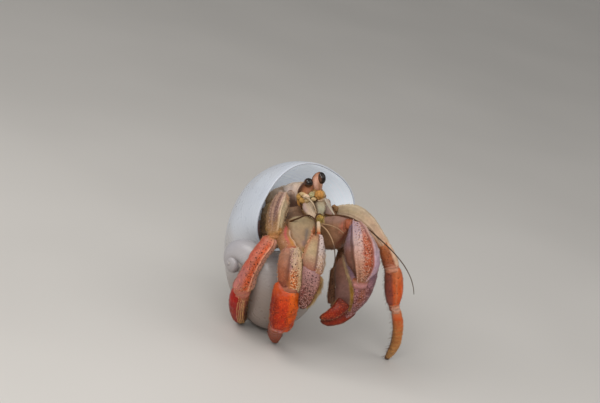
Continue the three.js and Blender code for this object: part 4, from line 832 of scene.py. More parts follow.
def raw_object(name, v, q, t):
    me = bpy.data.meshes.new(name)
    me.from_pydata([tuple(p) for p in world(v)], [], [tuple(map(int, f)) for f in q] + [tuple(map(int, f)) for f in t])
    me.validate()
    ob = bpy.data.objects.new(name, me)
    bpy.context.scene.collection.objects.link(ob)
    import bmesh

    bm = bmesh.new()
    bm.from_mesh(me)
    if bm.calc_volume(signed=True) < 0:
        bmesh.ops.reverse_faces(bm, faces=bm.faces)
        bm.to_mesh(me)
    bm.free()
    return ob


def make_shell():
    pi = math.pi
    m = 150
    ph = 2 * pi * np.arange(m) / m
    marks = []  # (points, th, ph, kind) to tell later which part of the surface a point is on

    def note(P, th, kind):
        T = np.broadcast_to(th[:, None], P.shape[:2])
        H = np.broadcast_to((2 * pi * np.arange(P.shape[1]) / P.shape[1])[None], P.shape[:2])
        marks.append((P.reshape(-1, 3), T.ravel(), H.ravel(), np.full(T.size, kind)))

    # last half whorl as a cup with a rounded lip
    th = LIP - pi + (pi) * (1 - (1 - np.linspace(0, 1, 190)) ** 1.15)
    outer = whorl(th, ph)
    outer = outer + grid_normals(outer) * (wrinkle(th) * sstep(th, LIP - pi, LIP - pi + 0.3))[:, None, None]
    note(outer, th, 0)
    fwd = unit(whorl([LIP], ph) - whorl([LIP - 0.02], ph))[0]
    w = SHELL["lip_wall"]
    edge = [whorl([LIP], ph, w / 2 * (1 - math.cos(s)))[0] + fwd * (w * 0.55 * math.sin(s)) for s in np.linspace(0, pi, 9)[1:-1]]
    edge = np.array(edge)
    note(edge, np.full(len(edge), LIP), 1)
    thi = np.linspace(LIP, LIP - pi + 0.12, 120)
    wall = SHELL["wall"] + (SHELL["lip_wall"] - SHELL["wall"]) * sstep(thi, LIP - 0.5, LIP)
    inner = whorl(thi, ph, wall)
    note(inner, thi, 2)
    cup = np.concatenate([outer, edge, inner])
    parts = [raw_object("shell_cup", *closed_grid(cup))]
    for k, (a, b, n, mm) in enumerate([(2, 1, 120, 120), (3, 2, 90, 84), (4, 3, 64, 64), (5.2, 4, 60, 48)]):
        t = np.linspace(LIP - a * pi, LIP - b * pi, n)
        q = 2 * pi * np.arange(mm) / mm
        P = whorl(t, q)
        P = P + grid_normals(P) * (wrinkle(t) * 0.7 * growth(t) ** 0.5)[:, None, None]
        note(P, t, 0 if k == 0 else 3)
        parts.append(raw_object(f"shell_w{k}", *closed_grid(P)))
    prof = np.array(SHELL["spindle"], float)
    s = np.linspace(0, 1, 60)
    L = np.concatenate([[0], np.cumsum(np.linalg.norm(np.diff(prof, axis=0), axis=1))])
    r, z = pchip(L, prof[:, 0], s * L[-1]), pchip(L, prof[:, 1], s * L[-1])
    a = 2 * pi * np.arange(48) / 48
    P = SHELL["pole"] + np.maximum(r, 0.02)[:, None, None] * (np.cos(a)[None, :, None] * OX + np.sin(a)[None, :, None] * np.cross(OX, AX)) + z[:, None, None] * AX
    note(P, np.full(60, LIP - 2 * pi), 4)
    parts.append(raw_object("shell_spindle", *closed_grid(P)))
    ob = parts[0]
    bpy.context.view_layer.objects.active = ob
    for other in parts[1:]:
        md = ob.modifiers.new("join", "BOOLEAN")
        md.operation, md.object, md.solver = "UNION", other, "MANIFOLD"
    dg = bpy.context.evaluated_depsgraph_get()
    me = bpy.data.meshes.new_from_object(ob.evaluated_get(dg))
    ob.modifiers.clear()
    for other in parts[1:]:
        bpy.data.objects.remove(other)
    ob.data = me
    ob.name = me.name = "moon_snail_shell"
    # what each point of the surface is
    P = np.concatenate([x[0] for x in marks])
    TH, PH, KD = (np.concatenate([x[i] for x in marks]) for i in (1, 2, 3))
    co = np.zeros(len(me.vertices) * 3, np.float32)
    me.vertices.foreach_get("co", co)
    co[2::3] = np.maximum(co[2::3], 0)  # stands on a small flat
    me.vertices.foreach_set("co", co)
    me.update()
    mm_ = (co.reshape(-1, 3) * 1000 - STAND) @ TURN
    tree = kdtree.KDTree(len(P))
    for i, p in enumerate(P):
        tree.insert(p, i)
    tree.balance()
    near = np.array([tree.find(p)[1] for p in mm_])
    th, phv, kind = TH[near], PH[near], KD[near]
    back = LIP - th
    white = col(204, 211, 222)
    c = np.tile(white, (len(mm_), 1))
    c = mixc(c, col(172, 176, 192), sstep(back, 1.1 * pi, 2.2 * pi) * (kind != 2))  # bluer early whorls
    c = mixc(c, col(170, 150, 132), 0.10 * sstep(noise(mm_, 0.35, 21), 0.55, 0.85))
    c = mixc(c, col(172, 160, 146), 0.35 * sstep(noise(mm_, 0.25, 5), 0.55, 0.8) * (kind == 0) * sstep(back, 0.7, 1.6))
    # painted shade and painted reflection: the underside of the whorl is greyed and warmed, and lower still darkened
    # and browned as the painted shadow of the legs with the ground reflected in it
    underside_shade = sstep(-mm_[:, 1], 2.5, 9.0) * (kind != 2)
    c = mixc(c, col(176, 166, 158), 0.6 * underside_shade)  # greyer, warmer towards the underside
    c = mixc(c, col(138, 116, 100), 0.75 * sstep(-mm_[:, 1], 8.5, 15.5) * (kind != 2))
    inside = (kind == 2).astype(float)
    deep = sstep(back, 0.15, 1.5) * inside
    c = mixc(c, col(212, 219, 224), 0.85 * inside)
    # painted shade: the inner wall deeper inside the whorl is darkened and browned
    c = mixc(c, col(138, 110, 84), 0.6 * sstep(back, 1.1, 2.4) * inside)
    c = mixc(c, col(196, 202, 212), 0.7 * (kind == 1))
    c = mixc(c, col(196, 186, 174), 0.5 * (kind == 4))
    # painted glow: the wall near the mouth emits light in place of the light that would come through the thin wall
    wall_glow = inside * (1 - sstep(back, 0.5, 1.9)) * (1 - 0.75 * sstep(-mm_[:, 0], 2.0, 7.0) * sstep(-mm_[:, 1], -4.0, 1.0)) + 0.1 * (kind == 1)
    wall_glow = wall_glow * (1 + 0.35 * sstep(mm_[:, 0], 1.0, 8.0) * inside)
    rgba = np.ones((len(mm_), 4), np.float32)
    rgba[:, :3] = np.clip(c, 0, 1)
    for a in [a.name for a in me.attributes if a.name in ("tint", "dots")]:
        me.attributes.remove(me.attributes[a])
    me.attributes.new("tint", "FLOAT_COLOR", "POINT").data.foreach_set("color", rgba.ravel())
    me.attributes.new("dots", "FLOAT", "POINT").data.foreach_set("value", back.astype(np.float32))
    for a in [a.name for a in me.attributes if a.name == "wall_glow"]:
        me.attributes.remove(me.attributes[a])
    me.attributes.new("wall_glow", "FLOAT", "POINT").data.foreach_set("value", wall_glow.astype(np.float32))
    me.shade_smooth()
    me.materials.clear()
    me.materials.append(MAT["shell"])
    place(ob, "shell", "shell")
    return ob
# ---------------------------------------------------------------- plates of the legs and claws
LIMBS = {}
SQ = 0.83  # how square the sections are


def across(a):
    """Place across the front of a plate, -1 at its first edge to 1 at its second, and how far round to the front."""
    c, s = np.cos(np.radians(a)), np.sin(np.radians(a))
    return np.sign(c) * np.abs(c) ** SQ, sstep(s, -0.35, 0.1)


def turn(x, front=True):
    """Angle of a place across."""
    x = np.clip(np.asarray(x, float), -1, 1)
    a = np.degrees(np.arccos(np.sign(x) * np.abs(x) ** (1 / SQ)))
    return a if front else 360 - a


def hump(v, centre, width):
    return np.exp(-(((np.asarray(v, float) - centre) / width) ** 2))


def ground(*stops):
    ts = [s[0] for s in stops]
    cs = np.array([s[1] for s in stops])
    return lambda t: np.stack([np.interp(t, ts, cs[:, i]) for i in range(3)], -1)


def mottled(c, p, amount=0.12, scale=1.1, seed=1):
    k = 0.65 * noise(p, scale, seed) + 0.35 * noise(p, scale * 2.7, seed + 7)
    return c * (1 + amount * 2 * (k - 0.5)[..., None])


def piece(name, slot, paint, shape=None, dots=None, extra=None, mat=None, nr=96, ns=80, cap=(0.35, 0.35), node=True, rim=0.08, neck=0.0, deep=None, edge=None, rough=0.05):
    """One plate. paint(t, x, f, p), shape(t, x, f, p) in mm, dots(t, x, f, p) from 0 to 1."""
    e = edge or EDGE[name]
    length = None

    def lift(t, a, p):
        x, f = across(a)
        L = length
        q = rim * (hump((1 - t) * L, 0.30, 0.17) - 0.7 * hump((1 - t) * L, 0.72, 0.16)) - neck * hump(t * L, 0.25, 0.35)
        q = q + rough * (noise(p, 1.5, 11) - 0.5) * 2 + 0.4 * rough * (noise(p, 4.2, 12) - 0.5) * 2
        return q + (shape(t, x, f, p) if shape else 0)

    st = np.asarray(e[2], float)
    length = float(np.linalg.norm(np.diff((st[:, [0, 1, 4]] + st[:, [2, 3, 4]]) / 2, axis=0), axis=1).sum())
    limb = Limb(name, e, 2 / SQ, nr, ns, cap, lift, deep)
    bag = Bag()

    def tint(t, a, p):
        x, f = across(a)
        return paint(t, x, f, p)

    def spots(t, a, p):
        x, f = across(a)
        return dots(t, x, f, p)

    limb.skin(bag, tint, spots if dots else None)
    if extra:
        extra(limb, bag)
    LIMBS[name] = limb
    ob = bag.build("crab_" + name, MAT[mat or slot])
    place(ob, slot, *([name] if node else []))
    return limb


def streaks(c, t, x, amount=0.14, across_=7.0, along=2.2, seed=90):
    """Fine lengthwise streaking."""
    q = np.stack([np.asarray(x) * across_, np.asarray(t) * along, 0 * np.asarray(x)], -1)
    k = 0.6 * noise(q, 1.0, seed) + 0.4 * noise(q * [2.6, 1.6, 1], 1.0, seed + 3)
    return c * (1 + amount * 2 * (k - 0.5)[..., None])


def grains(limb, bag, t, x, r, h, tint, lean=0.0, sides=8, sharp=0.0, front=True):
    """Tubercles or spinules at places t along and x across."""
    p, n, d = limb.at(t, turn(x, front))
    k = len(p)
    r = np.broadcast_to(r, (k,)) * RNG.uniform(0.75, 1.25, k)
    h = np.broadcast_to(h, (k,)) * RNG.uniform(0.75, 1.25, k)
    domes(bag, p, n, r, h, tint, d * (lean * h)[:, None], sides, sharp)


def pits(limb, bag, t, x, r=0.09, tint=col(84, 36, 22)):
    p, n, d = limb.at(t, turn(x))
    rr = np.broadcast_to(r, (len(p),)) * RNG.uniform(0.85, 1.5, len(p))
    domes(bag, p, n, rr, rr * 0.22, tint * 0.42, None, 8)


def line(t0, t1, n, xs, jit=0.3, xj=0.03):
    tt, xx = [], []
    step = (t1 - t0) / max(n - 1, 1)
    for k, x in enumerate(np.atleast_1d(xs)):
        t = t0 + step * (np.arange(n) + (0.5 if k % 2 else 0)) + RNG.normal(0, 1, n) * step * jit * 0.5
        t = t[(t > t0 - step) & (t < t1 + 0.6 * step)]
        tt.append(t)
        xx.append(x + RNG.normal(0, xj, len(t)))
    return np.clip(np.concatenate(tt), 0.01, 0.99), np.clip(np.concatenate(xx), -1, 1)


def cloud(n, t0, t1, x0, x1):
    """Evenly spread random places."""
    t, x = RNG.uniform(t0, t1, 6 * n), RNG.uniform(x0, x1, 6 * n)
    keep, cell = [], set()
    m = max(int(math.sqrt(n * 1.6)), 2)
    for i in range(6 * n):
        c = (int((t[i] - t0) / (t1 - t0) * m), int((x[i] - x0) / (x1 - x0) * m))
        if c not in cell:
            cell.add(c)
            keep.append(i)
        if len(keep) >= n:
            break
    return t[keep], x[keep]


def edge_row(limb, bag, t0, t1, n, side, r, h, tint, sharp=0.6, lean=0.8):
    """Teeth along one edge of a plate: side -1 the first edge, 1 the second."""
    a = (0 if side > 0 else 180) + RNG.normal(0, 4, n)
    t = np.linspace(t0, t1, n) + RNG.normal(0, 0.25 * (t1 - t0) / max(n, 2), n)
    p, nn, d = limb.at(np.clip(t, 0.01, 0.99), a)
    k = RNG.uniform(0.7, 1.25, n)
    domes(bag, p, nn, r * k, h * k, tint, d * (lean * h * k)[:, None], 8, sharp)


# painted shade: browns towards which the side of each plate turned away from the front is blended
BACK_SHADE, DARK_SHADE = col(112, 76, 54), col(58, 36, 26)


# --- right outer leg (third pereopod)
def build_right_outer():
    base = ground((0, col(206, 174, 146)), (0.14, col(176, 144, 122)), (0.5, col(150, 118, 98)), (0.72, col(134, 102, 78)), (0.88, col(156, 118, 84)), (1, col(156, 116, 78)))

    def ridge(t):
        return 0.30 - 0.12 * t

    def sh(t, x, f, p):
        m = band(t, 0.07, 0.93, 0.05) * f
        return m * (0.20 * hump(x, 0.52, 0.13) + 0.16 * hump(x, -0.60, 0.13) - 0.10 * hump(x, -0.05, 0.2) + 0.10 * hump(x, 0.12, 0.10)) + 0.10 * hump(np.abs(x), 0.98, 0.08) * band(t, 0.1, 0.95, 0.05)

    def pt(t, x, f, p):
        c = base(t)
        wav = 0.06 * (noise(p, 0.9, 31) - 0.5)
        # partly painted shade: the groove near the middle is darkened where shade falls in it, over the plate's own
        # mauve-brown
        c = mixc(c, col(104, 78, 80), 0.8 * hump(x + wav, -0.08, 0.15) * band(t, 0.10, 0.8, 0.08))
        c = mixc(c, col(172, 140, 124), 0.7 * hump(x + wav, -0.32, 0.10) * band(t, 0.06, 0.9, 0.08))
        c = mixc(c, col(120, 92, 86), 0.6 * hump(x, -0.58, 0.14) * band(t, 0.1, 0.8, 0.1))
        c = mixc(c, col(150, 118, 96), 0.6 * hump(x, -0.88, 0.12))
        # partly painted highlight: the raised ridge carries its own paler cream, brightened as a painted highlight
        c = mixc(c, ground((0, col(236, 208, 188)), (0.5, col(222, 194, 166)), (0.8, col(206, 174, 138)), (1, col(186, 144, 100)))(t), 0.9 * hump(x + wav, 0.50, 0.14) * band(t, 0.05, 0.97, 0.08))
        c = mixc(c, col(226, 190, 182), 0.8 * hump(x + wav, 0.26, 0.05) * band(t, 0.04, 0.6, 0.08))
        c = mixc(c, col(136, 104, 66), 0.6 * (1 - sstep(x, -0.95, -0.6)))
        c = mixc(c, col(206, 192, 158), 0.75 * hump(x, 0.74, 0.24) * band(t, 0.30, 0.96, 0.1))
        c = mixc(c, col(238, 188, 146), 0.85 * hump(x, 0.84, 0.2) * (1 - sstep(t, 0.14, 0.40)))
        c = mixc(c, col(204, 172, 152), 0.7 * (1 - sstep(t, 0.0, 0.09)))
        c = mixc(c, col(182, 136, 92), 0.6 * sstep(t, 0.88, 0.98))
        c = mixc(c, col(110, 78, 76), 0.6 * hump(x + 0.12 * np.sin(t * 5), 0.16, 0.09) * band(t, 0.1, 0.8, 0.08))
        c = streaks(c, t, x, 0.26, 9.0, 3.0, 91)
        # painted shade: the side turned away from the front is blended towards a set brown
        c = mixc(c, BACK_SHADE, 0.75 * (1 - f))
        return mottled(c * 1.04, p, 0.26, 3.4, 5)

    def ex(limb, bag):
        t, x = line(0.08, 0.9, 17, [0.5], 0.3, 0.02)
        grains(limb, bag, t, x, 0.075, 0.10, col(222, 196, 168), 0.6)
        t, x = line(0.08, 0.9, 16, [-0.6], 0.3, 0.02)
        grains(limb, bag, t, x, 0.07, 0.08, col(190, 160, 138), 0.6)
        edge_row(limb, bag, 0.06, 0.95, 22, 1, 0.08, 0.13, col(216, 180, 140))
        edge_row(limb, bag, 0.10, 0.95, 20, -1, 0.07, 0.10, col(160, 128, 104))
        t, x = cloud(220, 0.05, 0.94, -0.9, 0.9)
        grains(limb, bag, t, x, 0.045, 0.05, col(214, 184, 160), 0.6)

    piece("p3_r_carpus", "tan", pt, sh, lambda t, x, f, p: 0.10 * f, ex, cap=(1.3, 0.7), nr=140, ns=96, rough=0.09)

    def sh2(t, x, f, p):
        m = band(t, 0.05, 0.93, 0.03)
        return m * f * (0.16 * hump(x, 0.50, 0.10) - 0.05 * hump(x, 0.72, 0.10) + 0.07 * hump(x, -0.7, 0.12)) + 0.08 * m * hump(np.abs(x), 0.98, 0.07)

    base2 = ground((0, col(196, 140, 100)), (0.10, col(190, 112, 90)), (0.5, col(200, 110, 84)), (0.78, col(200, 96, 60)), (1, col(196, 128, 96)))

    def pt2(t, x, f, p):
        c = base2(t)
        c = mixc(c, col(184, 84, 70), 0.65 * hump(x, -0.82, 0.22))
        c = mixc(c, col(214, 92, 44), 0.75 * hump(x, 0.14, 0.24) * band(t, 0.12, 0.93, 0.08))
        c = mixc(c, col(206, 126, 112), 0.6 * hump(x, -0.42, 0.22) * band(t, 0.05, 0.6, 0.1))
        # partly painted highlight: a pale line along the raised ridge, the ridge's own paler tone brightened as a
        # painted highlight
        c = mixc(c, col(236, 176, 146), 0.8 * hump(x, 0.46, 0.07) * band(t, 0.03, 0.95, 0.06))
        c = mixc(c, col(206, 158, 138), 0.9 * sstep(x, 0.55, 0.72))
        c = mixc(c, col(188, 122, 116), 0.85 * (1 - sstep(x, -0.55, 0.0)) * band(t, 0.55, 0.93, 0.07))
        c = mixc(c, col(196, 128, 62), 0.7 * sstep(t, 0.88, 0.97) * sstep(x, -0.2, 0.3))
        c = mixc(c, col(200, 96, 84), 0.6 * sstep(t, 0.88, 0.97) * (1 - sstep(x, -0.4, 0.1)))
        # painted shade: the side turned away from the front is blended towards a set brown
        c = mixc(c, col(134, 76, 54), 0.75 * (1 - f))
        c = mixc(c, col(150, 60, 44), 0.5 * hump(x, 0.58, 0.04) * band(t, 0.03, 0.9, 0.05))
        c = streaks(c, t, x, 0.14, 8.0, 6.0, 92)
        return mottled(c, p, 0.22, 3.6, 6)

    def ex2(limb, bag):
        for t, x in ((0.10, 0.12), (0.19, -0.05), (0.22, 0.22), (0.28, 0.02), (0.36, 0.14), (0.37, -0.25), (0.45, 0.30), (0.47, 0.0), (0.55, -0.3), (0.56, 0.16), (0.60, 0.42), (0.66, 0.02), (0.68, 0.34), (0.74, -0.12), (0.76, 0.25), (0.82, 0.48), (0.84, 0.05), (0.15, -0.4), (0.30, -0.5), (0.44, -0.55)):
            pits(limb, bag, [t], [x], 0.095, col(96, 40, 24))
        t, x = cloud(64, 0.06, 0.93, -0.55, 0.5)
        pits(limb, bag, t, x, 0.06, col(110, 46, 28))
        t, x = cloud(26, 0.1, 0.95, 0.62, 0.9)
        pits(limb, bag, t, x, 0.06, col(120, 62, 44))
        t, x = cloud(340, 0.04, 0.95, -0.85, 0.8)
        grains(limb, bag, t, x, 0.045, 0.04, col(232, 142, 100), 0.4)
        t, x = line(0.05, 0.94, 30, [0.50], 0.3, 0.02)
        grains(limb, bag, t, x, 0.06, 0.09, col(228, 168, 128), 0.7, sharp=0.3)
        edge_row(limb, bag, 0.05, 0.95, 34, 1, 0.06, 0.12, col(206, 156, 112))
        edge_row(limb, bag, 0.05, 0.95, 30, -1, 0.06, 0.09, col(176, 92, 70))
        t, x = cloud(46, 0.8, 0.97, -0.9, 0.9)
        grains(limb, bag, t, x, 0.06, 0.09, col(226, 170, 130), 0.8, sharp=0.4)

    piece("p3_r_propodus", "orange", pt2, sh2, lambda t, x, f, p: 0.5 * f * band(t, 0.35, 1, 0.2), ex2, cap=(0.5, 0.45), nr=150, ns=96, neck=0.1, rough=0.09)

    base3 = ground((0, col(196, 116, 92)), (0.14, col(176, 92, 66)), (0.5, col(158, 82, 50)), (0.85, col(130, 70, 42)), (1, col(66, 36, 22)))

    def pt3(t, x, f, p):
        c = base3(t)
        c = mixc(c, col(168, 16, 0), 0.98 * (1 - sstep(x + 0.25 * (noise(p, 1.3, 97) - 0.5) + 0.35 * sstep(t, 0.3, 0.8), -0.05, 0.35)) * band(t, 0.03, 0.9, 0.07))
        c = mixc(c, col(124, 34, 10), 0.6 * (1 - sstep(x, -0.95, -0.6)) * band(t, 0.3, 0.95, 0.2))
        c = mixc(c, col(184, 128, 104), 0.6 * hump(x, 0.35, 0.25) * band(t, 0.02, 0.4, 0.1))
        c = mixc(c, col(84, 46, 32), 0.8 * sstep(x, 0.55, 0.85) * sstep(t, 0.12, 0.4))
        c = mixc(c, col(60, 30, 18), 0.8 * sstep(t, 0.86, 0.98))
        # painted shade: the side turned away from the front is blended towards a set brown
        c = mixc(c, col(92, 44, 30), 0.7 * (1 - f))
        return mottled(c, p, 0.16, 2.4, 8)

    def ex3(limb, bag):
        for k, x in enumerate((-0.12, 0.1, 0.3, 0.5)):
            t, xx = line(0.10 + 0.02 * k, 0.9, 26, [x], 0.25, 0.02)
            grains(limb, bag, t, xx, 0.066, 0.17, col(236, 190, 132), 1.4, sharp=0.8)
        t, x = line(0.16, 0.93, 24, [0.72, 0.9], 0.3, 0.02)
        grains(limb, bag, t, x, 0.06, 0.16, col(74, 44, 30), 1.2, sharp=0.9)
        t, x = line(0.35, 0.92, 20, [-0.35, -0.55, -0.75], 0.3, 0.03)
        grains(limb, bag, t, x, 0.05, 0.10, col(150, 60, 28), 1.2, sharp=0.7)
        edge_row(limb, bag, 0.12, 0.95, 26, 1, 0.06, 0.16, col(60, 34, 24))
        edge_row(limb, bag, 0.2, 0.95, 22, -1, 0.05, 0.11, col(110, 26, 10))

    piece("p3_r_dactyl", "red", pt3, lambda t, x, f, p: f * 0.08 * band(t, 0.06, 0.9, 0.05) * (hump(x, 0.62, 0.1) + hump(x, -0.2, 0.12)), None, ex3, cap=(0.35, 0.4), nr=120)

    def pt4(t, x, f, p):
        c = ground((0, col(176, 152, 136)), (0.25, col(128, 98, 84)), (0.6, col(120, 90, 78)), (0.64, col(84, 58, 44)), (0.72, col(120, 98, 82)), (1, col(110, 88, 72)))(t)
        c = mixc(c, col(168, 134, 114), 0.6 * sstep(x, 0.3, 0.8) * (1 - sstep(t, 0.5, 0.65)))
        c = mixc(c, col(92, 70, 60), 0.5 * hump(x, -0.3, 0.4))
        # painted shade: the side turned away from the front is blended towards a set brown
        return mottled(mixc(c, BACK_SHADE, 0.5 * (1 - f)), p, 0.15, 1.6, 4)

    piece("p3_r_merus", "mauve", pt4, lambda t, x, f, p: -0.3 * hump(t, 0.62, 0.03) * f, None, None, nr=70, ns=56, cap=(0.5, 0.4))


# --- right inner walking leg (second pereopod)
def build_right_inner():
    def pt(t, x, f, p):
        c = ground((0, col(196, 146, 100)), (0.35, col(176, 128, 90)), (1, col(166, 116, 84)))(t)
        c = mixc(c, col(236, 204, 180), 0.9 * sstep(x, 0.62, 0.85) * sstep(t, 0.1, 0.25))
        c = mixc(c, col(196, 96, 96), 0.85 * hump(x, 0.22, 0.22) * band(t, 0.36, 0.8, 0.1))
        c = mixc(c, col(196, 136, 66), 0.75 * hump(x, 0.55, 0.2) * sstep(t, 0.6, 0.8))
        c = mixc(c, col(126, 88, 58), 0.6 * (1 - sstep(x, -0.9, -0.1)))
        c = mixc(c, col(176, 74, 82), 0.6 * hump(x, 0.1, 0.3) * sstep(t, 0.8, 0.95))
        # painted shade: the side turned away from the front is blended towards a set brown
        return mottled(mixc(c, BACK_SHADE, 0.7 * (1 - f)), p, 0.15, 2, 3)

    def ex(limb, bag):
        edge_row(limb, bag, 0.3, 0.97, 18, 1, 0.075, 0.12, col(236, 204, 168))
        t, x = line(0.5, 0.95, 7, [-0.35, -0.05], 0.3, 0.04)
        grains(limb, bag, t, x, 0.1, 0.2, col(228, 176, 146), 0.9, sharp=0.7)

    piece("p2_r_merus", "cream", pt, lambda t, x, f, p: f * 0.12 * hump(x, 0.8, 0.12), None, ex, nr=80, ns=64, cap=(0.4, 0.4))

    def split(t):  # the dark line that parts the two faces of the plate
        return np.interp(t, [0, 0.2, 0.5, 0.8, 1.0], [0.02, -0.06, -0.20, -0.28, -0.3])

    def sh2(t, x, f, p):
        m = band(t, 0.05, 0.94, 0.04)
        return m * f * (0.20 * hump(x, 0.80, 0.12) - 0.14 * hump(x, split(t), 0.07) + 0.10 * hump(x, split(t) + 0.2, 0.12) + 0.06 * hump(x, -0.6, 0.2)) + 0.1 * m * hump(x, 1.0, 0.06)

    base2 = ground((0, col(200, 168, 152)), (0.15, col(204, 174, 156)), (0.45, col(196, 152, 122)), (0.75, col(198, 128, 80)), (1, col(186, 128, 90)))

    def pt2(t, x, f, p):
        c = base2(t)
        s = split(t)
        c = mixc(c, ground((0, col(196, 136, 122)), (0.2, col(184, 130, 104)), (0.6, col(160, 92, 64)), (0.85, col(146, 76, 56)), (1, col(150, 100, 100)))(t), 0.95 * (1 - sstep(x, s - 0.16, s + 0.06)))
        c = mixc(c, col(112, 54, 44), 0.85 * hump(x, s + 0.04, 0.12) * band(t, 0.10, 0.80, 0.12))
        c = mixc(c, col(176, 128, 130), 0.8 * hump(x, s + 0.24, 0.11) * band(t, 0.0, 0.60, 0.14))
        c = mixc(c, col(226, 198, 176), 0.6 * hump(x, s + 0.48, 0.14) * band(t, 0.02, 0.5, 0.1))
        c = mixc(c, col(226, 196, 154), 0.85 * sstep(x, 0.45, 0.8) * band(t, 0.08, 1.1, 0.08))
        c = mixc(c, col(214, 110, 44), 0.8 * hump(x, 0.22, 0.3) * band(t, 0.58, 0.92, 0.1))
        c = mixc(c, col(128, 84, 88), 0.8 * hump(x, -0.45, 0.18) * sstep(t, 0.80, 0.92))
        # painted shade: the side turned away from the front is blended towards a set brown
        c = mixc(c, col(110, 70, 46), 0.7 * (1 - f))
        c = streaks(c, t, x, 0.12, 8.0, 5.0, 93)
        return mottled(c * 0.86, p, 0.24, 3.8, 7)

    def ex2(limb, bag):
        for t, x in ((0.22, 0.42), (0.30, 0.18), (0.34, 0.55), (0.42, 0.38), (0.47, 0.15), (0.50, 0.62), (0.55, 0.40), (0.58, 0.06), (0.64, 0.55), (0.67, 0.25), (0.74, 0.46), (0.78, 0.10), (0.84, 0.36), (0.38, 0.0), (0.26, 0.66)):
            pits(limb, bag, [t], [x], 0.09, col(104, 58, 38))
        t, x = cloud(16, 0.15, 0.95, -0.1, 0.75)
        pits(limb, bag, t, x, 0.055, col(128, 74, 48))
        t, x = cloud(230, 0.08, 0.95, -0.05, 0.98)
        grains(limb, bag, t, x, 0.068, 0.08, col(238, 208, 170), 0.6)
        t, x = cloud(60, 0.1, 0.9, -0.95, -0.35)
        grains(limb, bag, t, x, 0.05, 0.04, col(190, 130, 90), 0.5)
        edge_row(limb, bag, 0.08, 0.96, 22, 1, 0.13, 0.24, col(244, 222, 180), 0.4)
        edge_row(limb, bag, 0.12, 0.95, 20, -1, 0.08, 0.2, col(206, 146, 104))
        t = np.full(9, 0.955)
        grains(limb, bag, t, np.linspace(0.0, 0.95, 9), 0.11, 0.18, col(234, 194, 146), 1.1, sharp=0.5)

    piece("p2_r_carpus", "tan", pt2, sh2, lambda t, x, f, p: 0.4 * f * sstep(x, -0.1, 0.1), ex2, cap=(0.9, 0.5), nr=150, ns=110, rough=0.10)

    def sh3(t, x, f, p):
        m = band(t, 0.05, 0.96, 0.04)
        return m * f * (0.10 * hump(x, 0.66, 0.1) + 0.08 * hump(x, -0.72, 0.12)) - 0.28 * f * hump(x, -0.1, 0.45) * (1 - sstep(t, 0.04, 0.2)) + 0.08 * m * hump(np.abs(x), 1.0, 0.07)

    base3 = ground((0, col(196, 96, 58)), (0.15, col(198, 84, 40)), (0.4, col(196, 60, 18)), (0.75, col(184, 48, 12)), (0.92, col(176, 66, 40)), (1, col(190, 122, 112)))

    def pt3(t, x, f, p):
        c = base3(t)
        c = mixc(c, col(122, 32, 8), 0.9 * (1 - sstep(x, -0.80, -0.25)) * sstep(t, 0.12, 0.35) * (1 - 0.5 * sstep(t, 0.8, 0.95)))
        c = mixc(c, col(190, 82, 34), 0.8 * (1 - sstep(x, -0.7, -0.4)) * (1 - sstep(t, 0.1, 0.3)))
        c = mixc(c, col(224, 104, 26), 0.95 * sstep(x, 0.15, 0.5) * (1 - 0.65 * sstep(t, 0.55, 0.85)))
        c = mixc(c, col(216, 134, 92), 0.6 * hump(x, 0.75, 0.2) * (1 - sstep(t, 0.12, 0.28)))
        c = mixc(c, col(204, 152, 150), 0.9 * hump(x, -0.2, 0.35) * (1 - sstep(t, 0.05, 0.15)))
        c = mixc(c, col(196, 146, 142), 0.85 * sstep(t, 0.88, 0.95) * (1 - sstep(x, -0.1, 0.5)))
        c = mixc(c, col(122, 30, 10), 0.5 * sstep(noise(p * [1, 1.6, 1], 1.6, 94), 0.5, 0.8) * sstep(t, 0.3, 0.5))
        # painted shade: the side turned away from the front is blended towards a set brown
        c = mixc(c, col(112, 60, 34), 0.6 * (1 - f))
        return mottled(c, p, 0.2, 3.4, 9)

    def ex3(limb, bag):
        t, x = cloud(300, 0.2, 0.96, -0.92, 0.95)
        grains(limb, bag, t, x, 0.055, 0.06, col(218, 92, 28), 0.6)
        t, x = cloud(60, 0.25, 0.95, -0.9, 0.9)
        pits(limb, bag, t, x, 0.05, col(130, 38, 14))
        for t, x in ((0.22, 0.5), (0.34, 0.4), (0.36, 0.7), (0.5, 0.55), (0.62, 0.5), (0.3, -0.35), (0.46, -0.1), (0.72, 0.2)):
            pits(limb, bag, [t], [x], 0.075, col(120, 40, 16))
        edge_row(limb, bag, 0.12, 0.96, 26, 1, 0.07, 0.14, col(206, 110, 56))
        edge_row(limb, bag, 0.1, 0.96, 24, -1, 0.06, 0.1, col(150, 60, 30))

    piece("p2_r_propodus", "red", pt3, sh3, lambda t, x, f, p: 0.25 * f * sstep(t, 0.2, 0.4), ex3, cap=(0.45, 0.3), nr=150, ns=110, rough=0.10)

    def pt4(t, x, f, p):
        c = ground((0, col(150, 84, 66)), (0.3, col(146, 80, 62)), (0.6, col(150, 66, 38)), (0.88, col(130, 52, 26)), (1, col(60, 34, 24)))(t)
        c = mixc(c, col(172, 124, 106), 0.5 * hump(x, 0.1, 0.3) * (1 - sstep(t, 0.2, 0.45)))
        c = mixc(c, col(112, 52, 34), 0.6 * sstep(np.abs(x), 0.6, 0.95))
        # painted shade: the side turned away from the front is blended towards a set brown
        return mottled(mixc(c, DARK_SHADE, 0.4 * (1 - f)), p, 0.2, 2.2, 10)

    def ex4(limb, bag):
        for k, x in enumerate((-0.6, -0.3, 0.0, 0.3, 0.6)):
            t, xx = line(0.25 + 0.03 * (k % 2), 0.9, 16, [x], 0.3, 0.03)
            grains(limb, bag, t, xx, 0.055, 0.11, col(176, 96, 60), 1.1, sharp=0.7)
        edge_row(limb, bag, 0.15, 0.95, 20, 1, 0.06, 0.14, col(120, 64, 44))
        edge_row(limb, bag, 0.15, 0.95, 20, -1, 0.06, 0.12, col(110, 56, 38))

    piece("p2_r_dactyl", "brown", pt4, None, None, ex4, cap=(0.4, 0.4), nr=90)


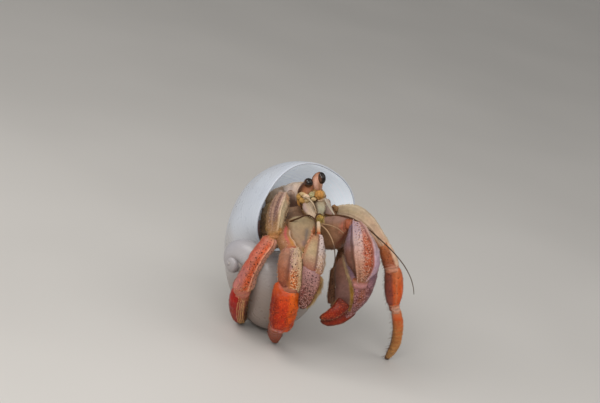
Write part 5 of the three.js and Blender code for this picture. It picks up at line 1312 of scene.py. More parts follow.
# --- right claw leg
def build_right_claw():
    base = ground((0, col(196, 176, 140)), (0.25, col(182, 160, 130)), (0.7, col(184, 150, 120)), (1, col(184, 136, 106)))

    def pt(t, x, f, p):
        c = base(t)
        w = 0.15 * (noise(p, 0.5, 41) - 0.5)
        c = mixc(c, col(142, 98, 70), 0.8 * (1 - sstep(x + w, -0.95, -0.45)) * band(t, 0.02, 0.6, 0.12))
        c = mixc(c, col(206, 172, 130), 0.5 * hump(x, 0.7, 0.3) * (1 - sstep(t, 0.1, 0.4)))
        c = mixc(c, col(112, 106, 108), 0.7 * hump(x + w, 0.45, 0.16) * band(t, 0.44, 0.72, 0.07))
        c = mixc(c, col(122, 96, 108), 0.6 * hump(x, 0.25, 0.3) * band(t, 0.72, 0.84, 0.05))
        c = mixc(c, col(168, 130, 56), 0.8 * hump(x, 0.1, 0.5) * sstep(t, 0.8, 0.92))
        c = mixc(c, col(206, 118, 66), 0.85 * sstep(x, 0.72, 0.9) * band(t, 0.36, 1.0, 0.1))
        c = mixc(c, col(214, 196, 160), 0.7 * (1 - sstep(t, 0.0, 0.06)))
        # painted shade: the side turned away from the front is blended towards a set brown
        return mottled(mixc(c, BACK_SHADE, 0.7 * (1 - f)) * [0.84, 0.85, 0.82], p, 0.16, 2.6, 12)

    def ex(limb, bag):
        edge_row(limb, bag, 0.03, 0.35, 12, -1, 0.07, 0.1, col(206, 170, 136))
        t, x = line(0.42, 0.96, 8, [0.8], 0.2, 0.03)
        grains(limb, bag, t, x, 0.16, 0.2, col(220, 158, 126), 0.5, sharp=0.2)
        t, x = line(0.02, 0.03, 2, [0.0], 0, 0)
        grains(limb, bag, np.full(16, 0.035), np.linspace(-0.8, 0.8, 16), 0.06, 0.07, col(220, 204, 170), 0.3)

    piece("claw_r_merus", "tan", pt, lambda t, x, f, p: f * (0.10 * hump(x, 0.85, 0.1) - 0.06 * hump(x, 0.42, 0.2) * band(t, 0.24, 0.56, 0.1)), None, ex, nr=110, ns=96, cap=(0.45, 0.35))

    def seam(t):
        return 0.18 + 0.06 * np.sin(t * 3)

    def sh2(t, x, f, p):
        m = band(t, 0.05, 0.94, 0.04)
        s = seam(t)
        return m * f * (0.22 * hump(x, 0.66, 0.2) - 0.16 * hump(x, s, 0.09) + 0.06 * hump(x, -0.3, 0.3)) + m * 0.06 * hump(x, -1, 0.1)

    def pt2(t, x, f, p):
        s = seam(t)
        face = ground((0, col(200, 140, 104)), (0.3, col(200, 162, 124)), (0.6, col(204, 172, 134)), (0.85, col(194, 140, 114)), (1, col(176, 104, 84)))(t)
        strip = ground((0, col(226, 204, 198)), (0.45, col(224, 202, 192)), (0.7, col(208, 174, 146)), (1, col(206, 146, 108)))(t)
        c = mixc(face, strip, sstep(x, s + 0.02, s + 0.16))
        c = mixc(c, col(134, 100, 92), 0.85 * hump(x, s, 0.11) * band(t, 0.06, 0.9, 0.06))
        c = mixc(c, col(206, 132, 92), 0.6 * (1 - sstep(x, -0.95, -0.7)) * band(t, 0.05, 0.7, 0.1))
        c = mixc(c, col(200, 180, 132), 0.4 * hump(x, -0.3, 0.3) * band(t, 0.3, 0.6, 0.1))
        c = mixc(c, col(150, 58, 44), 0.75 * sstep(t, 0.94, 0.985))
        # painted shade: the side turned away from the front is blended towards a set brown
        return mottled(mixc(c, BACK_SHADE, 0.7 * (1 - f)) * [0.76, 0.77, 0.80], p, 0.2, 3.2, 13)

    def ex2(limb, bag):
        for t, x in ((0.16, 0.62), (0.24, 0.80), (0.31, 0.55), (0.38, 0.74), (0.46, 0.60), (0.52, 0.82), (0.58, 0.50), (0.62, 0.68), (0.69, 0.82), (0.73, 0.55), (0.79, 0.7), (0.85, 0.5), (0.88, 0.8)):
            pits(limb, bag, [t], [x], 0.085, col(120, 88, 74))
        edge_row(limb, bag, 0.08, 0.75, 15, -1, 0.13, 0.17, col(216, 160, 128), 0.3)
        edge_row(limb, bag, 0.08, 0.95, 30, 1, 0.06, 0.08, col(220, 190, 170), 0.3)
        t, x = cloud(150, 0.06, 0.92, 0.3, 0.95)
        grains(limb, bag, t, x, 0.055, 0.06, col(242, 222, 214), 0.5)
        t, x = cloud(60, 0.1, 0.92, -0.9, 0.1)
        grains(limb, bag, t, x, 0.04, 0.03, col(216, 186, 150), 0.4)

    piece("claw_r_carpus", "cream", pt2, sh2, lambda t, x, f, p: 0.3 * f * sstep(x, 0.3, 0.5), ex2, nr=130, ns=96, cap=(0.6, 0.25), rim=0.05)

    def pt3(t, x, f, p):
        c = ground((0, col(178, 142, 142)), (0.25, col(172, 134, 130)), (0.5, col(160, 116, 106)), (0.68, col(134, 84, 70)), (0.85, col(108, 60, 44)), (1, col(74, 42, 30)))(t)
        c = mixc(c, col(196, 156, 152), 0.6 * hump(x, -0.2, 0.3) * (1 - sstep(t, 0.1, 0.3)))
        c = mixc(c, col(164, 110, 82), 0.6 * sstep(x, 0.5, 0.9) * (1 - sstep(t, 0.4, 0.7)))
        c = mixc(c, col(120, 50, 50), 0.6 * hump(x, -0.6, 0.3) * band(t, 0.4, 0.7, 0.1))
        # painted shade: the side turned away from the front is blended towards a set brown
        return mottled(mixc(c, BACK_SHADE, 0.6 * (1 - f)) * [0.9, 0.84, 0.84], p, 0.24, 3.2, 14)

    def ex3(limb, bag):
        t, x = cloud(260, 0.08, 0.95, -0.92, 0.92)
        grains(limb, bag, t, x, 0.062, 0.065, col(204, 158, 148), 0.4)
        t, x = cloud(60, 0.12, 0.5, -0.88, 0.88)
        pits(limb, bag, t, x, 0.075, col(110, 56, 50))
        t, x = cloud(90, 0.45, 0.95, -0.88, 0.88)
        pits(limb, bag, t, x, 0.085, col(96, 40, 32))
        edge_row(limb, bag, 0.1, 0.6, 16, 1, 0.09, 0.12, col(150, 96, 60))
        edge_row(limb, bag, 0.1, 0.95, 22, -1, 0.07, 0.08, col(140, 92, 80))

    piece("claw_r_palm", "purple", pt3, lambda t, x, f, p: f * (0.08 * hump(x, 0.75, 0.12) - 0.10 * hump(x, 0.28 - 0.2 * t, 0.06) * sstep(t, 0.55, 0.7)), lambda t, x, f, p: 0.4 * f * sstep(t, 0.2, 0.5), ex3, nr=120, ns=88, cap=(0.3, 0.4), rim=0.0)

    def pt4(t, x, f, p):
        c = ground((0, col(146, 96, 78)), (0.4, col(120, 72, 54)), (0.8, col(94, 54, 40)), (1, col(58, 34, 26)))(t)
        # painted shade: the side turned away from the front is blended towards a set brown
        return mottled(mixc(c, DARK_SHADE, 0.4 * (1 - f)), p, 0.2, 2.2, 15)

    def ex4(limb, bag):
        t, x = cloud(40, 0.1, 0.9, -0.8, 0.8)
        grains(limb, bag, t, x, 0.06, 0.06, col(150, 100, 76), 0.5)
        edge_row(limb, bag, 0.1, 0.95, 14, 1, 0.07, 0.1, col(160, 112, 70))

    piece("claw_r_dactyl", "purple", pt4, None, lambda t, x, f, p: 0.3 * f, ex4, nr=80, ns=64, cap=(0.3, 0.35), rim=0.0)


# --- left claw leg
def build_left_claw():
    def pt(t, x, f, p):
        c = ground((0, col(132, 106, 84)), (0.4, col(134, 102, 76)), (0.8, col(142, 104, 82)), (1, col(160, 100, 74)))(t)
        c = mixc(c, col(146, 118, 110), 0.7 * sstep(x, 0.3, 0.75))
        c = mixc(c, col(120, 86, 60), 0.5 * (1 - sstep(x, -0.8, -0.2)))
        c = mixc(c, col(172, 84, 66), 0.5 * band(t, 0.78, 1.1, 0.06) * hump(x, 0.2, 0.5))
        c = mixc(c, col(104, 44, 34), 0.7 * hump(x, -0.85, 0.12) * sstep(t, 0.5, 0.8))
        # painted shade: the side turned away from the front is blended towards a set brown
        return mottled(mixc(c, BACK_SHADE, 0.5 * (1 - f)) * [1.08, 1.04, 1.0], p, 0.14, 1.8, 16)

    def ex(limb, bag):
        edge_row(limb, bag, 0.1, 0.95, 20, -1, 0.09, 0.13, col(160, 106, 80))
        t, x = cloud(60, 0.1, 0.9, -0.9, 0.9)
        grains(limb, bag, t, x, 0.045, 0.03, col(158, 116, 88), 0.4)
        t, x = line(0.9, 0.96, 3, [-0.5, -0.2, 0.1, 0.4, 0.7], 0.2, 0.04)
        grains(limb, bag, t, x, 0.09, 0.12, col(206, 130, 96), 0.6)

    piece("claw_l_merus", "mauve", pt, lambda t, x, f, p: f * (0.12 * hump(x, -0.1 + 0.3 * t, 0.15) + 0.1 * hump(x, 0.9, 0.1)), None, ex, nr=100, ns=80, cap=(0.4, 0.4))

    def ridge(t):
        return np.interp(t, [0, 0.12, 0.3, 0.5, 0.7, 0.85, 1.0], [-0.25, -0.42, -0.36, -0.32, -0.38, -0.5, -0.75])

    def rim(t):
        return np.interp(t, [0, 0.2, 0.45, 0.7, 0.85, 1.0], [0.62, 0.70, 0.68, 0.62, 0.48, 0.3])

    def sh2(t, x, f, p):
        m = band(t, 0.05, 0.95, 0.04)
        r, q = ridge(t), rim(t)
        return m * f * (0.34 * hump(x, r, 0.10) - 0.30 * (1 - sstep(x, r - 0.32, r - 0.06)) + 0.18 * hump(x, q + 0.10, 0.10) - 0.16 * hump(x, q - 0.05, 0.06)) + m * 0.06 * hump(x, 1.0, 0.05)

    def pt2(t, x, f, p):
        r, q = ridge(t), rim(t)
        w = 0.05 * (noise(p, 1.4, 51) - 0.5)
        mes = ground((0, col(196, 112, 80)), (0.12, col(142, 116, 130)), (0.35, col(138, 114, 122)), (0.55, col(136, 94, 78)), (0.8, col(118, 78, 62)), (1, col(110, 70, 60)))(t)
        left = ground((0, col(214, 164, 152)), (0.12, col(206, 182, 196)), (0.4, col(214, 188, 182)), (0.7, col(212, 158, 130)), (1, col(178, 120, 78)))(t)
        right = ground((0, col(206, 168, 160)), (0.2, col(200, 156, 150)), (0.38, col(190, 108, 76)), (0.7, col(192, 104, 68)), (0.85, col(196, 132, 100)), (1, col(166, 112, 66)))(t)
        edge = ground((0, col(206, 166, 150)), (0.3, col(214, 178, 164)), (0.55, col(206, 180, 190)), (0.8, col(208, 174, 190)), (1, col(204, 160, 170)))(t)
        mid = r + (q - r) * np.interp(t, [0, 0.2, 0.45, 1], [0.7, 0.62, 0.46, 0.42])
        c = mixc(left, right, sstep(x + w, mid - 0.06, mid + 0.10))
        c = mixc(c, edge, sstep(x, q - 0.02, q + 0.08))
        c = mixc(c, col(132, 74, 56), 0.7 * hump(x, q - 0.05, 0.05) * band(t, 0.08, 0.9, 0.06))
        c = mixc(c, col(140, 108, 118), 0.5 * sstep(x, 0.86, 0.98) * sstep(t, 0.5, 0.8))
        c = mixc(c, mes, 1 - sstep(x, r - 0.14, r - 0.03))
        c = mixc(c, col(104, 78, 60), 0.6 * hump(x, r - 0.24, 0.07) * band(t, 0.1, 0.9, 0.1))
        c = mixc(c, col(158, 104, 54), 0.7 * sstep(t, 0.90, 0.97) * (x > r))
        # painted shade: the side turned away from the front is blended towards a set brown
        c = mixc(c, col(96, 62, 50), 0.7 * (1 - f))
        c = mixc(c, col(196, 92, 58), 0.5 * sstep(noise(p, 2.4, 95), 0.5, 0.75) * band(x, mid - 0.1, q - 0.08, 0.08) * sstep(t, 0.2, 0.45))
        return mottled(c * [0.84, 0.82, 0.84], p, 0.22, 3.6, 17)

    def dt2(t, x, f, p):
        r, q = ridge(t), rim(t)
        return 0.85 * f * band(x, r + 0.10, q - 0.08, 0.05) * band(t, 0.08, 0.93, 0.04)

    def ex2(limb, bag):
        t, x = cloud(320, 0.06, 0.95, -0.30, 0.62)
        grains(limb, bag, t, x, 0.06, 0.055, col(232, 190, 168), 0.4)
        t, x = cloud(90, 0.06, 0.93, -0.30, 0.58)
        pits(limb, bag, t, x, 0.07, col(140, 60, 42))
        t = np.linspace(0.04, 0.96, 30)
        grains(limb, bag, t, ridge(t), 0.08, 0.09, col(218, 178, 160), 0.5)
        edge_row(limb, bag, 0.05, 0.95, 34, 1, 0.08, 0.11, col(206, 168, 160), 0.3)
        t = np.linspace(0.1, 0.92, 24)
        grains(limb, bag, t, rim(t) + 0.1, 0.07, 0.07, col(218, 184, 176), 0.5)

    piece("claw_l_carpus", "orange", pt2, sh2, dt2, ex2, nr=160, ns=130, cap=(0.5, 0.5), rim=0.05, rough=0.08)

    def hair_line(t):
        return np.interp(t, [0, 0.15, 0.3, 0.45, 0.6, 0.8, 1.0], [-0.72, -0.62, -0.42, -0.22, -0.08, 0.05, 0.2])

    def sh3(t, x, f, p):
        m = band(t, 0.04, 0.96, 0.04)
        h = hair_line(t)
        return m * f * (0.20 * hump(x, h, 0.07) - 0.30 * (1 - sstep(x, h - 0.5, h - 0.05)) * (1 + x) ** 0.5 + 0.10 * hump(x, 0.3, 0.25))

    def pt3(t, x, f, p):
        h = hair_line(t)
        mes = ground((0, col(160, 112, 84)), (0.2, col(140, 100, 82)), (0.45, col(130, 94, 84)), (0.75, col(132, 94, 84)), (0.92, col(130, 56, 34)), (1, col(140, 50, 24)))(t)
        out = ground((0, col(160, 128, 140)), (0.3, col(158, 122, 136)), (0.45, col(182, 134, 146)), (0.6, col(162, 110, 110)), (0.8, col(150, 100, 96)), (1, col(150, 64, 40)))(t)
        c = mixc(mes, out, sstep(x, h - 0.02, h + 0.06))
        c = mixc(c, ground((0, col(216, 182, 150)), (0.34, col(222, 190, 146)), (0.44, col(206, 168, 104)), (0.52, col(186, 146, 52)), (0.7, col(176, 134, 34)), (1, col(160, 112, 40)))(t), 0.9 * hump(x, h, 0.05 + 0.03 * sstep(t, 0.4, 0.5)) * band(t, 0.02, 0.72, 0.05))
        c = mixc(c, col(204, 144, 142), 0.7 * hump(t, 0.40, 0.05) * band(x, h + 0.08, 0.6, 0.1))
        c = mixc(c, col(168, 108, 118), 0.6 * hump(x, h + 0.30, 0.14) * band(t, 0.4, 0.75, 0.06))
        c = mixc(c, col(156, 92, 54), 0.75 * hump(x, 0.45, 0.22) * band(t, 0.4, 0.72, 0.08))
        c = mixc(c, col(126, 94, 100), 0.7 * sstep(x, 0.7, 0.95))
        # painted shade: the side turned away from the front is blended towards a set brown
        c = mixc(c, col(92, 60, 50), 0.65 * (1 - f))
        c = mixc(c, col(120, 60, 46), 0.6 * sstep(noise(p, 2.2, 96), 0.52, 0.76) * sstep(x, h + 0.05, h + 0.2) * sstep(t, 0.4, 0.6))
        return mottled(c * [0.80, 0.80, 0.82], p, 0.22, 3.2, 18)

    def dt3(t, x, f, p):
        h = hair_line(t)
        return 0.8 * f * band(x, h + 0.12, 0.9, 0.08) * band(t, 0.38, 0.9, 0.05)

    def ex3(limb, bag):
        t, x = cloud(300, 0.08, 0.95, -0.1, 0.95)
        grains(limb, bag, t, x, 0.065, 0.06, col(196, 152, 150), 0.4)
        t, x = cloud(84, 0.40, 0.95, 0.0, 0.92)
        pits(limb, bag, t, x, 0.078, col(104, 46, 44))
        t, x = cloud(60, 0.1, 0.9, -0.95, -0.3)
        grains(limb, bag, t, x, 0.045, 0.03, col(130, 96, 82), 0.4)
        edge_row(limb, bag, 0.1, 0.92, 26, 1, 0.09, 0.1, col(150, 116, 116), 0.3)

    piece("claw_l_palm", "purple", pt3, sh3, dt3, ex3, nr=150, ns=120, cap=(0.5, 0.6), rim=0.0)

    def pt4(t, x, f, p):
        c = ground((0, col(132, 58, 40)), (0.2, col(134, 48, 24)), (0.6, col(140, 44, 18)), (0.9, col(120, 48, 24)), (1, col(84, 50, 34)))(t)
        c = mixc(c, col(170, 58, 22), 0.6 * hump(x, 0.2, 0.4) * band(t, 0.3, 0.85, 0.1))
        c = mixc(c, col(96, 40, 22), 0.5 * sstep(x, 0.55, 0.95))
        # painted shade: the side turned away from the front is blended towards a set brown
        return mottled(mixc(c, col(100, 48, 32), 0.6 * (1 - f)) * [0.80, 0.66, 0.5], p, 0.24, 3.0, 19)

    def ex4(limb, bag):
        t, x = cloud(60, 0.1, 0.9, -0.9, 0.9)
        grains(limb, bag, t, x, 0.075, 0.06, col(166, 72, 36), 0.4)
        edge_row(limb, bag, 0.2, 0.92, 10, -1, 0.1, 0.1, col(176, 110, 70), 0.2)

    piece("claw_l_finger", "purple", pt4, None, lambda t, x, f, p: 0.5 * f, ex4, mat="red", nr=100, ns=72, cap=(0.4, 0.35), node=False, rim=0.0)

    def pt5(t, x, f, p):
        c = ground((0, col(118, 56, 40)), (0.2, col(138, 48, 24)), (0.5, col(160, 46, 14)), (0.72, col(140, 48, 20)), (0.88, col(118, 70, 44)), (1, col(92, 62, 42)))(t)
        c = mixc(c, col(186, 62, 18), 0.6 * hump(x, -0.2, 0.35) * band(t, 0.25, 0.85, 0.1))
        c = mixc(c, col(120, 60, 44), 0.5 * (1 - sstep(x, -0.95, -0.6)))
        # painted shade: the side turned away from the front is blended towards a set brown
        return mottled(mixc(c, col(100, 48, 32), 0.6 * (1 - f)) * [0.62, 0.52, 0.5], p, 0.24, 3.0, 20)

    def ex5(limb, bag):
        t, x = cloud(60, 0.1, 0.9, -0.9, 0.9)
        grains(limb, bag, t, x, 0.075, 0.06, col(184, 84, 40), 0.4)
        edge_row(limb, bag, 0.3, 0.92, 9, 1, 0.1, 0.1, col(190, 126, 84), 0.2)

    piece("claw_l_dactyl", "red", pt5, None, lambda t, x, f, p: 0.5 * f, ex5, nr=100, ns=72, cap=(0.4, 0.35), rim=0.0)


# --- left walking legs
def build_left_legs():
    def brown(seed, light=1.0):
        def f(t, x, ff, p):
            c = ground((0, col(112, 78, 54)), (0.5, col(102, 66, 44)), (1, col(94, 58, 40)))(t) * light
            c = mixc(c, col(136, 100, 74), 0.4 * hump(x, 0.0, 0.5))
            return mottled(c, p, 0.2, 2.0, seed)

        return f

    def exb(limb, bag):
        t, x = cloud(36, 0.08, 0.92, -0.9, 0.9)
        pits(limb, bag, t, x, 0.075, col(48, 28, 20))
        t, x = cloud(60, 0.08, 0.92, -0.9, 0.9)
        grains(limb, bag, t, x, 0.05, 0.04, col(150, 112, 84), 0.4)
        edge_row(limb, bag, 0.08, 0.95, 18, 1, 0.06, 0.1, col(150, 112, 80))
        edge_row(limb, bag, 0.08, 0.95, 18, -1, 0.06, 0.1, col(120, 84, 60))

    # painted light: the upper segments, which sit in shade, are brightened by the light factors 1.6, 1.45 and 1.15
    for i, n in enumerate(("p2_l_merus", "p2_l_carpus", "p2_l_propodus", "p2_l_dactyl")):
        piece(n, "brown", brown(60 + i, (1.6, 1.45, 1.15, 1.0)[i]), None, lambda t, x, f, p: 0.3 * f, exb, nr=80, ns=60, cap=(0.35, 0.35))

    # third leg
    def pt(t, x, f, p):
        c = ground((0, col(196, 152, 110)), (0.12, col(206, 184, 158)), (0.35, col(206, 188, 160)), (0.6, col(200, 170, 142)), (0.85, col(206, 172, 146)), (1, col(196, 150, 116)))(t)
        c = mixc(c, col(214, 196, 168), 0.6 * hump(x, 0.85, 0.15))
        c = mixc(c, col(172, 150, 112), 0.45 * hump(x, 0.25, 0.25) * (1 - sstep(t, 0.4, 0.7)))
        c = mixc(c, col(222, 194, 168), 0.5 * hump(x, -0.2, 0.25) * band(t, 0.2, 0.7, 0.1))
        c = mixc(c, col(186, 118, 78), 0.75 * (1 - sstep(x, -0.85, -0.35)) * sstep(t, 0.3, 0.6))
        c = mixc(c, col(160, 92, 56), 0.6 * (1 - sstep(x, -0.8, -0.3)) * sstep(t, 0.75, 0.95))
        c = mixc(c, col(132, 96, 70), 0.6 * hump(x, -0.06 - 0.2 * t, 0.05) * band(t, 0.25, 0.95, 0.1))
        # painted shade: the side turned away from the front is blended towards a set brown
        c = mixc(c, BACK_SHADE, 0.5 * (1 - f))
        c = streaks(c, t, x, 0.12, 7.0, 3.0, 97)
        return mottled(c, p, 0.16, 3.0, 21)

    def ex(limb, bag):
        edge_row(limb, bag, 0.08, 0.97, 34, 1, 0.07, 0.09, col(220, 198, 166), 0.4)
        edge_row(limb, bag, 0.2, 0.97, 28, -1, 0.07, 0.09, col(206, 150, 112), 0.4)
        t, x = cloud(70, 0.1, 0.95, -0.9, 0.9)
        grains(limb, bag, t, x, 0.045, 0.03, col(216, 194, 160), 0.4)

    piece("p3_l_merus", "tan", pt, lambda t, x, f, p: f * (0.10 * hump(x, 0.8, 0.1) + 0.10 * hump(x, 0.1 - 0.3 * t, 0.12) * sstep(t, 0.3, 0.6) - 0.06 * hump(x, 0.5, 0.15)), None, ex, nr=130, ns=88, cap=(0.5, 0.4))

    def pt2(t, x, f, p):
        c = ground((0, col(186, 118, 74)), (0.4, col(170, 98, 58)), (0.8, col(172, 96, 66)), (1, col(206, 140, 112)))(t)
        c = mixc(c, col(238, 200, 170), 0.95 * sstep(x, 0.36, 0.66) * band(t, -1, 0.92, 0.08))
        c = mixc(c, col(128, 66, 42), 0.6 * (1 - sstep(x, -0.9, -0.3)))
        # painted shade: the side turned away from the front is blended towards a set brown
        c = mixc(c, BACK_SHADE, 0.6 * (1 - f))
        return mottled(c, p, 0.22, 3.2, 22)

    def ex2(limb, bag):
        edge_row(limb, bag, 0.08, 0.97, 20, 1, 0.09, 0.12, col(232, 196, 164), 0.4)
        edge_row(limb, bag, 0.08, 0.97, 18, -1, 0.06, 0.09, col(160, 100, 70), 0.4)
        t, x = cloud(50, 0.1, 0.95, -0.9, 0.9)
        grains(limb, bag, t, x, 0.05, 0.05, col(190, 130, 92), 0.5)
        t, x = cloud(14, 0.2, 0.9, -0.8, 0.5)
        pits(limb, bag, t, x, 0.07, col(88, 40, 26))

    piece("p3_l_carpus", "orange", pt2, lambda t, x, f, p: f * (0.14 * hump(x, 0.62, 0.12) - 0.06 * hump(x, 0.3, 0.12)), None, ex2, nr=96, cap=(0.35, 0.35))

    def pt3(t, x, f, p):
        c = ground((0, col(214, 140, 104)), (0.15, col(212, 122, 76)), (0.4, col(222, 100, 40)), (0.85, col(214, 96, 34)), (1, col(214, 132, 92)))(t)
        c = mixc(c, ground((0, col(150, 84, 68)), (0.5, col(122, 66, 62)), (1, col(150, 84, 72)))(t), 0.9 * (1 - sstep(x + 0.10 * (noise(p, 1.6, 66) - 0.5), -0.42, 0.08)))
        c = mixc(c, col(236, 160, 110), 0.6 * hump(x, 0.22, 0.12) * band(t, 0.05, 0.9, 0.1))
        c = mixc(c, col(190, 84, 30), 0.5 * hump(x, 0.1, 0.18))
        c = mixc(c, col(228, 112, 56), 0.5 * sstep(x, 0.6, 0.95))
        # painted shade: the side turned away from the front is blended towards a set brown
        c = mixc(c, BACK_SHADE, 0.6 * (1 - f))
        return mottled(streaks(c, t, x, 0.1, 8.0, 5.0, 98), p, 0.2, 3.2, 23)

    def ex3(limb, bag):
        edge_row(limb, bag, 0.06, 0.97, 34, 1, 0.06, 0.09, col(226, 138, 88), 0.5)
        edge_row(limb, bag, 0.06, 0.97, 30, -1, 0.06, 0.10, col(150, 96, 72), 0.5)
        t, x = cloud(110, 0.06, 0.95, -0.9, 0.9)
        grains(limb, bag, t, x, 0.045, 0.04, col(224, 128, 76), 0.5)
        t, x = cloud(26, 0.1, 0.95, -0.7, 0.8)
        pits(limb, bag, t, x, 0.07, col(112, 44, 22))

    piece("p3_l_propodus", "orange", pt3, lambda t, x, f, p: f * (0.12 * hump(x, -0.12, 0.12) + 0.08 * hump(x, 0.7, 0.12)), None, ex3, nr=130, cap=(0.35, 0.4), neck=0.08)

    def pt4(t, x, f, p):
        c = ground((0, col(218, 146, 116)), (0.08, col(218, 130, 86)), (0.2, col(216, 98, 42)), (0.45, col(204, 106, 48)), (0.7, col(176, 114, 66)), (0.88, col(140, 106, 78)), (0.97, col(84, 66, 56)), (1, col(52, 40, 34)))(t)
        rings = 0.5 + 0.5 * np.sin(t * 88 + 1.5 * x)
        c = mixc(c, col(214, 158, 92), 0.45 * rings * band(t, 0.38, 0.94, 0.08))
        c = mixc(c, col(112, 74, 46), 0.7 * (1 - sstep(x, -0.9, -0.15)) * sstep(t, 0.1, 0.4))
        c = mixc(c, col(196, 138, 118), 0.5 * (1 - sstep(x, -0.9, -0.4)) * (1 - sstep(t, 0.1, 0.3)))
        # painted shade: the side turned away from the front is blended towards a set brown
        return mottled(mixc(c, BACK_SHADE, 0.5 * (1 - f)), p, 0.15, 2.0, 24)

    def ex4(limb, bag):
        for k, x in enumerate((-0.75, -0.5, -0.25, 0.0, 0.25, 0.5, 0.75)):
            t, xx = line(0.22 + 0.012 * (k % 2), 0.93, 30, [x], 0.2, 0.02)
            grains(limb, bag, t, xx, 0.05, 0.10, col(222, 168, 102), 1.2, sharp=0.7)
        edge_row(limb, bag, 0.1, 0.95, 34, 1, 0.06, 0.12, col(226, 164, 96))
        edge_row(limb, bag, 0.1, 0.95, 34, -1, 0.06, 0.14, col(150, 104, 70))

    piece("p3_l_dactyl", "orange", pt4, lambda t, x, f, p: 0.03 * np.sin(t * 88 + 1.5 * x) * band(t, 0.3, 0.95, 0.1) + f * 0.06 * hump(x, -0.2, 0.15), None, ex4, nr=170, cap=(0.35, 0.35))


# --- soft skin at the joints, and the small pieces between
def build_joints():
    def skin(name, slot, c0, c1, c2, creases=3, amp=0.06, cap=(0.3, 0.3)):
        def pt(t, x, f, p):
            c = ground((0, c0), (0.5, c1), (1, c2))(t)
            c = mixc(c, c0 * 0.6, 0.3 * (0.5 + 0.5 * np.sin(2 * np.pi * creases * t)))
            # painted shade: the side turned away from the front is blended towards a set brown
            return mottled(mixc(c, BACK_SHADE, 0.4 * (1 - f)), p, 0.14, 2.2, 70)

        def sh(t, x, f, p):
            return amp * np.sin(2 * np.pi * creases * t + 1.2 * x)

        piece(name, slot, pt, sh, None, None, mat="joint", nr=60, ns=64, node=False, cap=cap, rim=0.0)

    skin("skin_a1", "orange", col(196, 150, 98), col(190, 136, 88), col(190, 124, 84))
    skin("skin_a2", "orange", col(190, 98, 84), col(212, 140, 118), col(186, 92, 70))
    skin("skin_b0", "cream", col(206, 146, 76), col(196, 110, 100), col(190, 116, 108))
    skin("skin_b1", "red", col(160, 98, 70), col(176, 112, 88), col(180, 84, 50), 2, 0.04)
    skin("skin_b2", "brown", col(176, 84, 56), col(168, 96, 76), col(140, 76, 58))
    skin("skin_c1", "orange", col(222, 136, 92), col(232, 186, 164), col(222, 140, 104))
    skin("skin_c2", "orange", col(190, 112, 82), col(226, 164, 136), col(216, 134, 98))
    skin("skin_c3", "orange", col(190, 120, 70), col(196, 112, 58), col(170, 98, 56))
    skin("skin_f1", "orange", col(150, 104, 84), col(170, 92, 60), col(190, 136, 116))
    skin("skin_f2", "purple", col(176, 112, 76), col(206, 148, 148), col(170, 112, 112), 2, 0.05)
    skin("skin_e1", "purple", col(150, 58, 44), col(164, 84, 70), col(176, 134, 130), 2, 0.03)

    def ptl(t, x, f, p):
        c = ground((0, col(222, 196, 168)), (0.35, col(226, 200, 172)), (0.7, col(206, 150, 106)), (0.82, col(184, 92, 44)), (1, col(200, 150, 120)))(t)
        # painted shade: the side turned away from the front is blended towards a set brown
        return mottled(mixc(c, BACK_SHADE, 0.5 * (1 - f)), p, 0.1, 2.5, 71)

    piece("link", "cream", ptl, None, None, None, mat="cream", nr=70, ns=56, node=False, cap=(0.35, 0.3), rim=0.03)
# ---------------------------------------------------------------- head, feelers and body
def tube(bag, pts, r0, r1, tint, rings=0.0, sides=12, n=None, pitch=0.22):
    """A round feeler along pts, tapering from r0 to r1, ringed; closed at both ends."""
    pts = np.asarray(pts, float)
    seg = np.linalg.norm(np.diff(pts, axis=0), axis=1).sum()
    n = n or max(int(seg / (pitch / 4 if rings else 0.12)), 24)
    t = np.linspace(0, 1, n)
    c = catmull(pts, t)
    tan = unit(np.gradient(c, axis=0))
    up = np.zeros((n, 3))
    v = unit(np.cross(tan[0], [0.3, 0.2, 1.0]))
    for i in range(n):
        v = unit(v - np.dot(v, tan[i]) * tan[i])
        up[i] = v
    side = np.cross(up, tan)
    r = r0 + (r1 - r0) * t
    if rings:
        r = r * (1 + rings * np.sin(2 * np.pi * t * seg / pitch))
    cap = np.clip(np.minimum(t, 1 - t) * seg / r0, 0, 1)
    r = r * np.sqrt(np.clip(1 - (1 - cap) ** 2, 0.02, 1))
    a = 2 * np.pi * np.arange(sides) / sides
    P = c[:, None] + r[:, None, None] * (np.cos(a)[None, :, None] * side[:, None] + np.sin(a)[None, :, None] * up[:, None])
    v, q, tr = closed_grid(P)
    col_ = tint(t, seg)
    tt = np.concatenate([np.repeat(col_, sides, 0), col_[:1], col_[-1:]])
    bag.add(v, q[:, ::-1], tr[:, ::-1], tt)
    return c


def blob(bag, centre, axes, tint, turn_=0.0, bumpy=0.05, seed=0, dots=0.0, n=36, m=48, scale=1.6):
    """A rounded swelling: an ellipsoid with a slightly uneven skin."""
    th = np.linspace(0.02, math.pi - 0.02, n)
    ph = 2 * np.pi * np.arange(m) / m
    u = np.stack([np.sin(th)[:, None] * np.cos(ph)[None], np.cos(th)[:, None] + 0 * ph[None], np.sin(th)[:, None] * np.sin(ph)[None]], -1)
    c, s = math.cos(math.radians(turn_)), math.sin(math.radians(turn_))
    R = np.array([[c, -s, 0], [s, c, 0], [0, 0, 1]])
    P = (u * np.asarray(axes)) @ R.T
    k = 1 + bumpy * 2 * (noise(u * 1.3 + seed, scale, seed) - 0.5) + bumpy * (noise(u * 3.1 + seed, scale, seed + 1) - 0.5)
    P = np.asarray(centre) + P * k[..., None]
    v, q, t = closed_grid(P)
    c = tint(u, P) if callable(tint) else np.broadcast_to(tint, P.shape).copy()
    tt = np.concatenate([c.reshape(-1, 3), c[0].mean(0)[None], c[-1].mean(0)[None]])
    dd = np.concatenate([np.asarray(dots(u)).reshape(-1), [0, 0]]) if callable(dots) else dots
    bag.add(v, q, t, tt, dd)
    return u, P


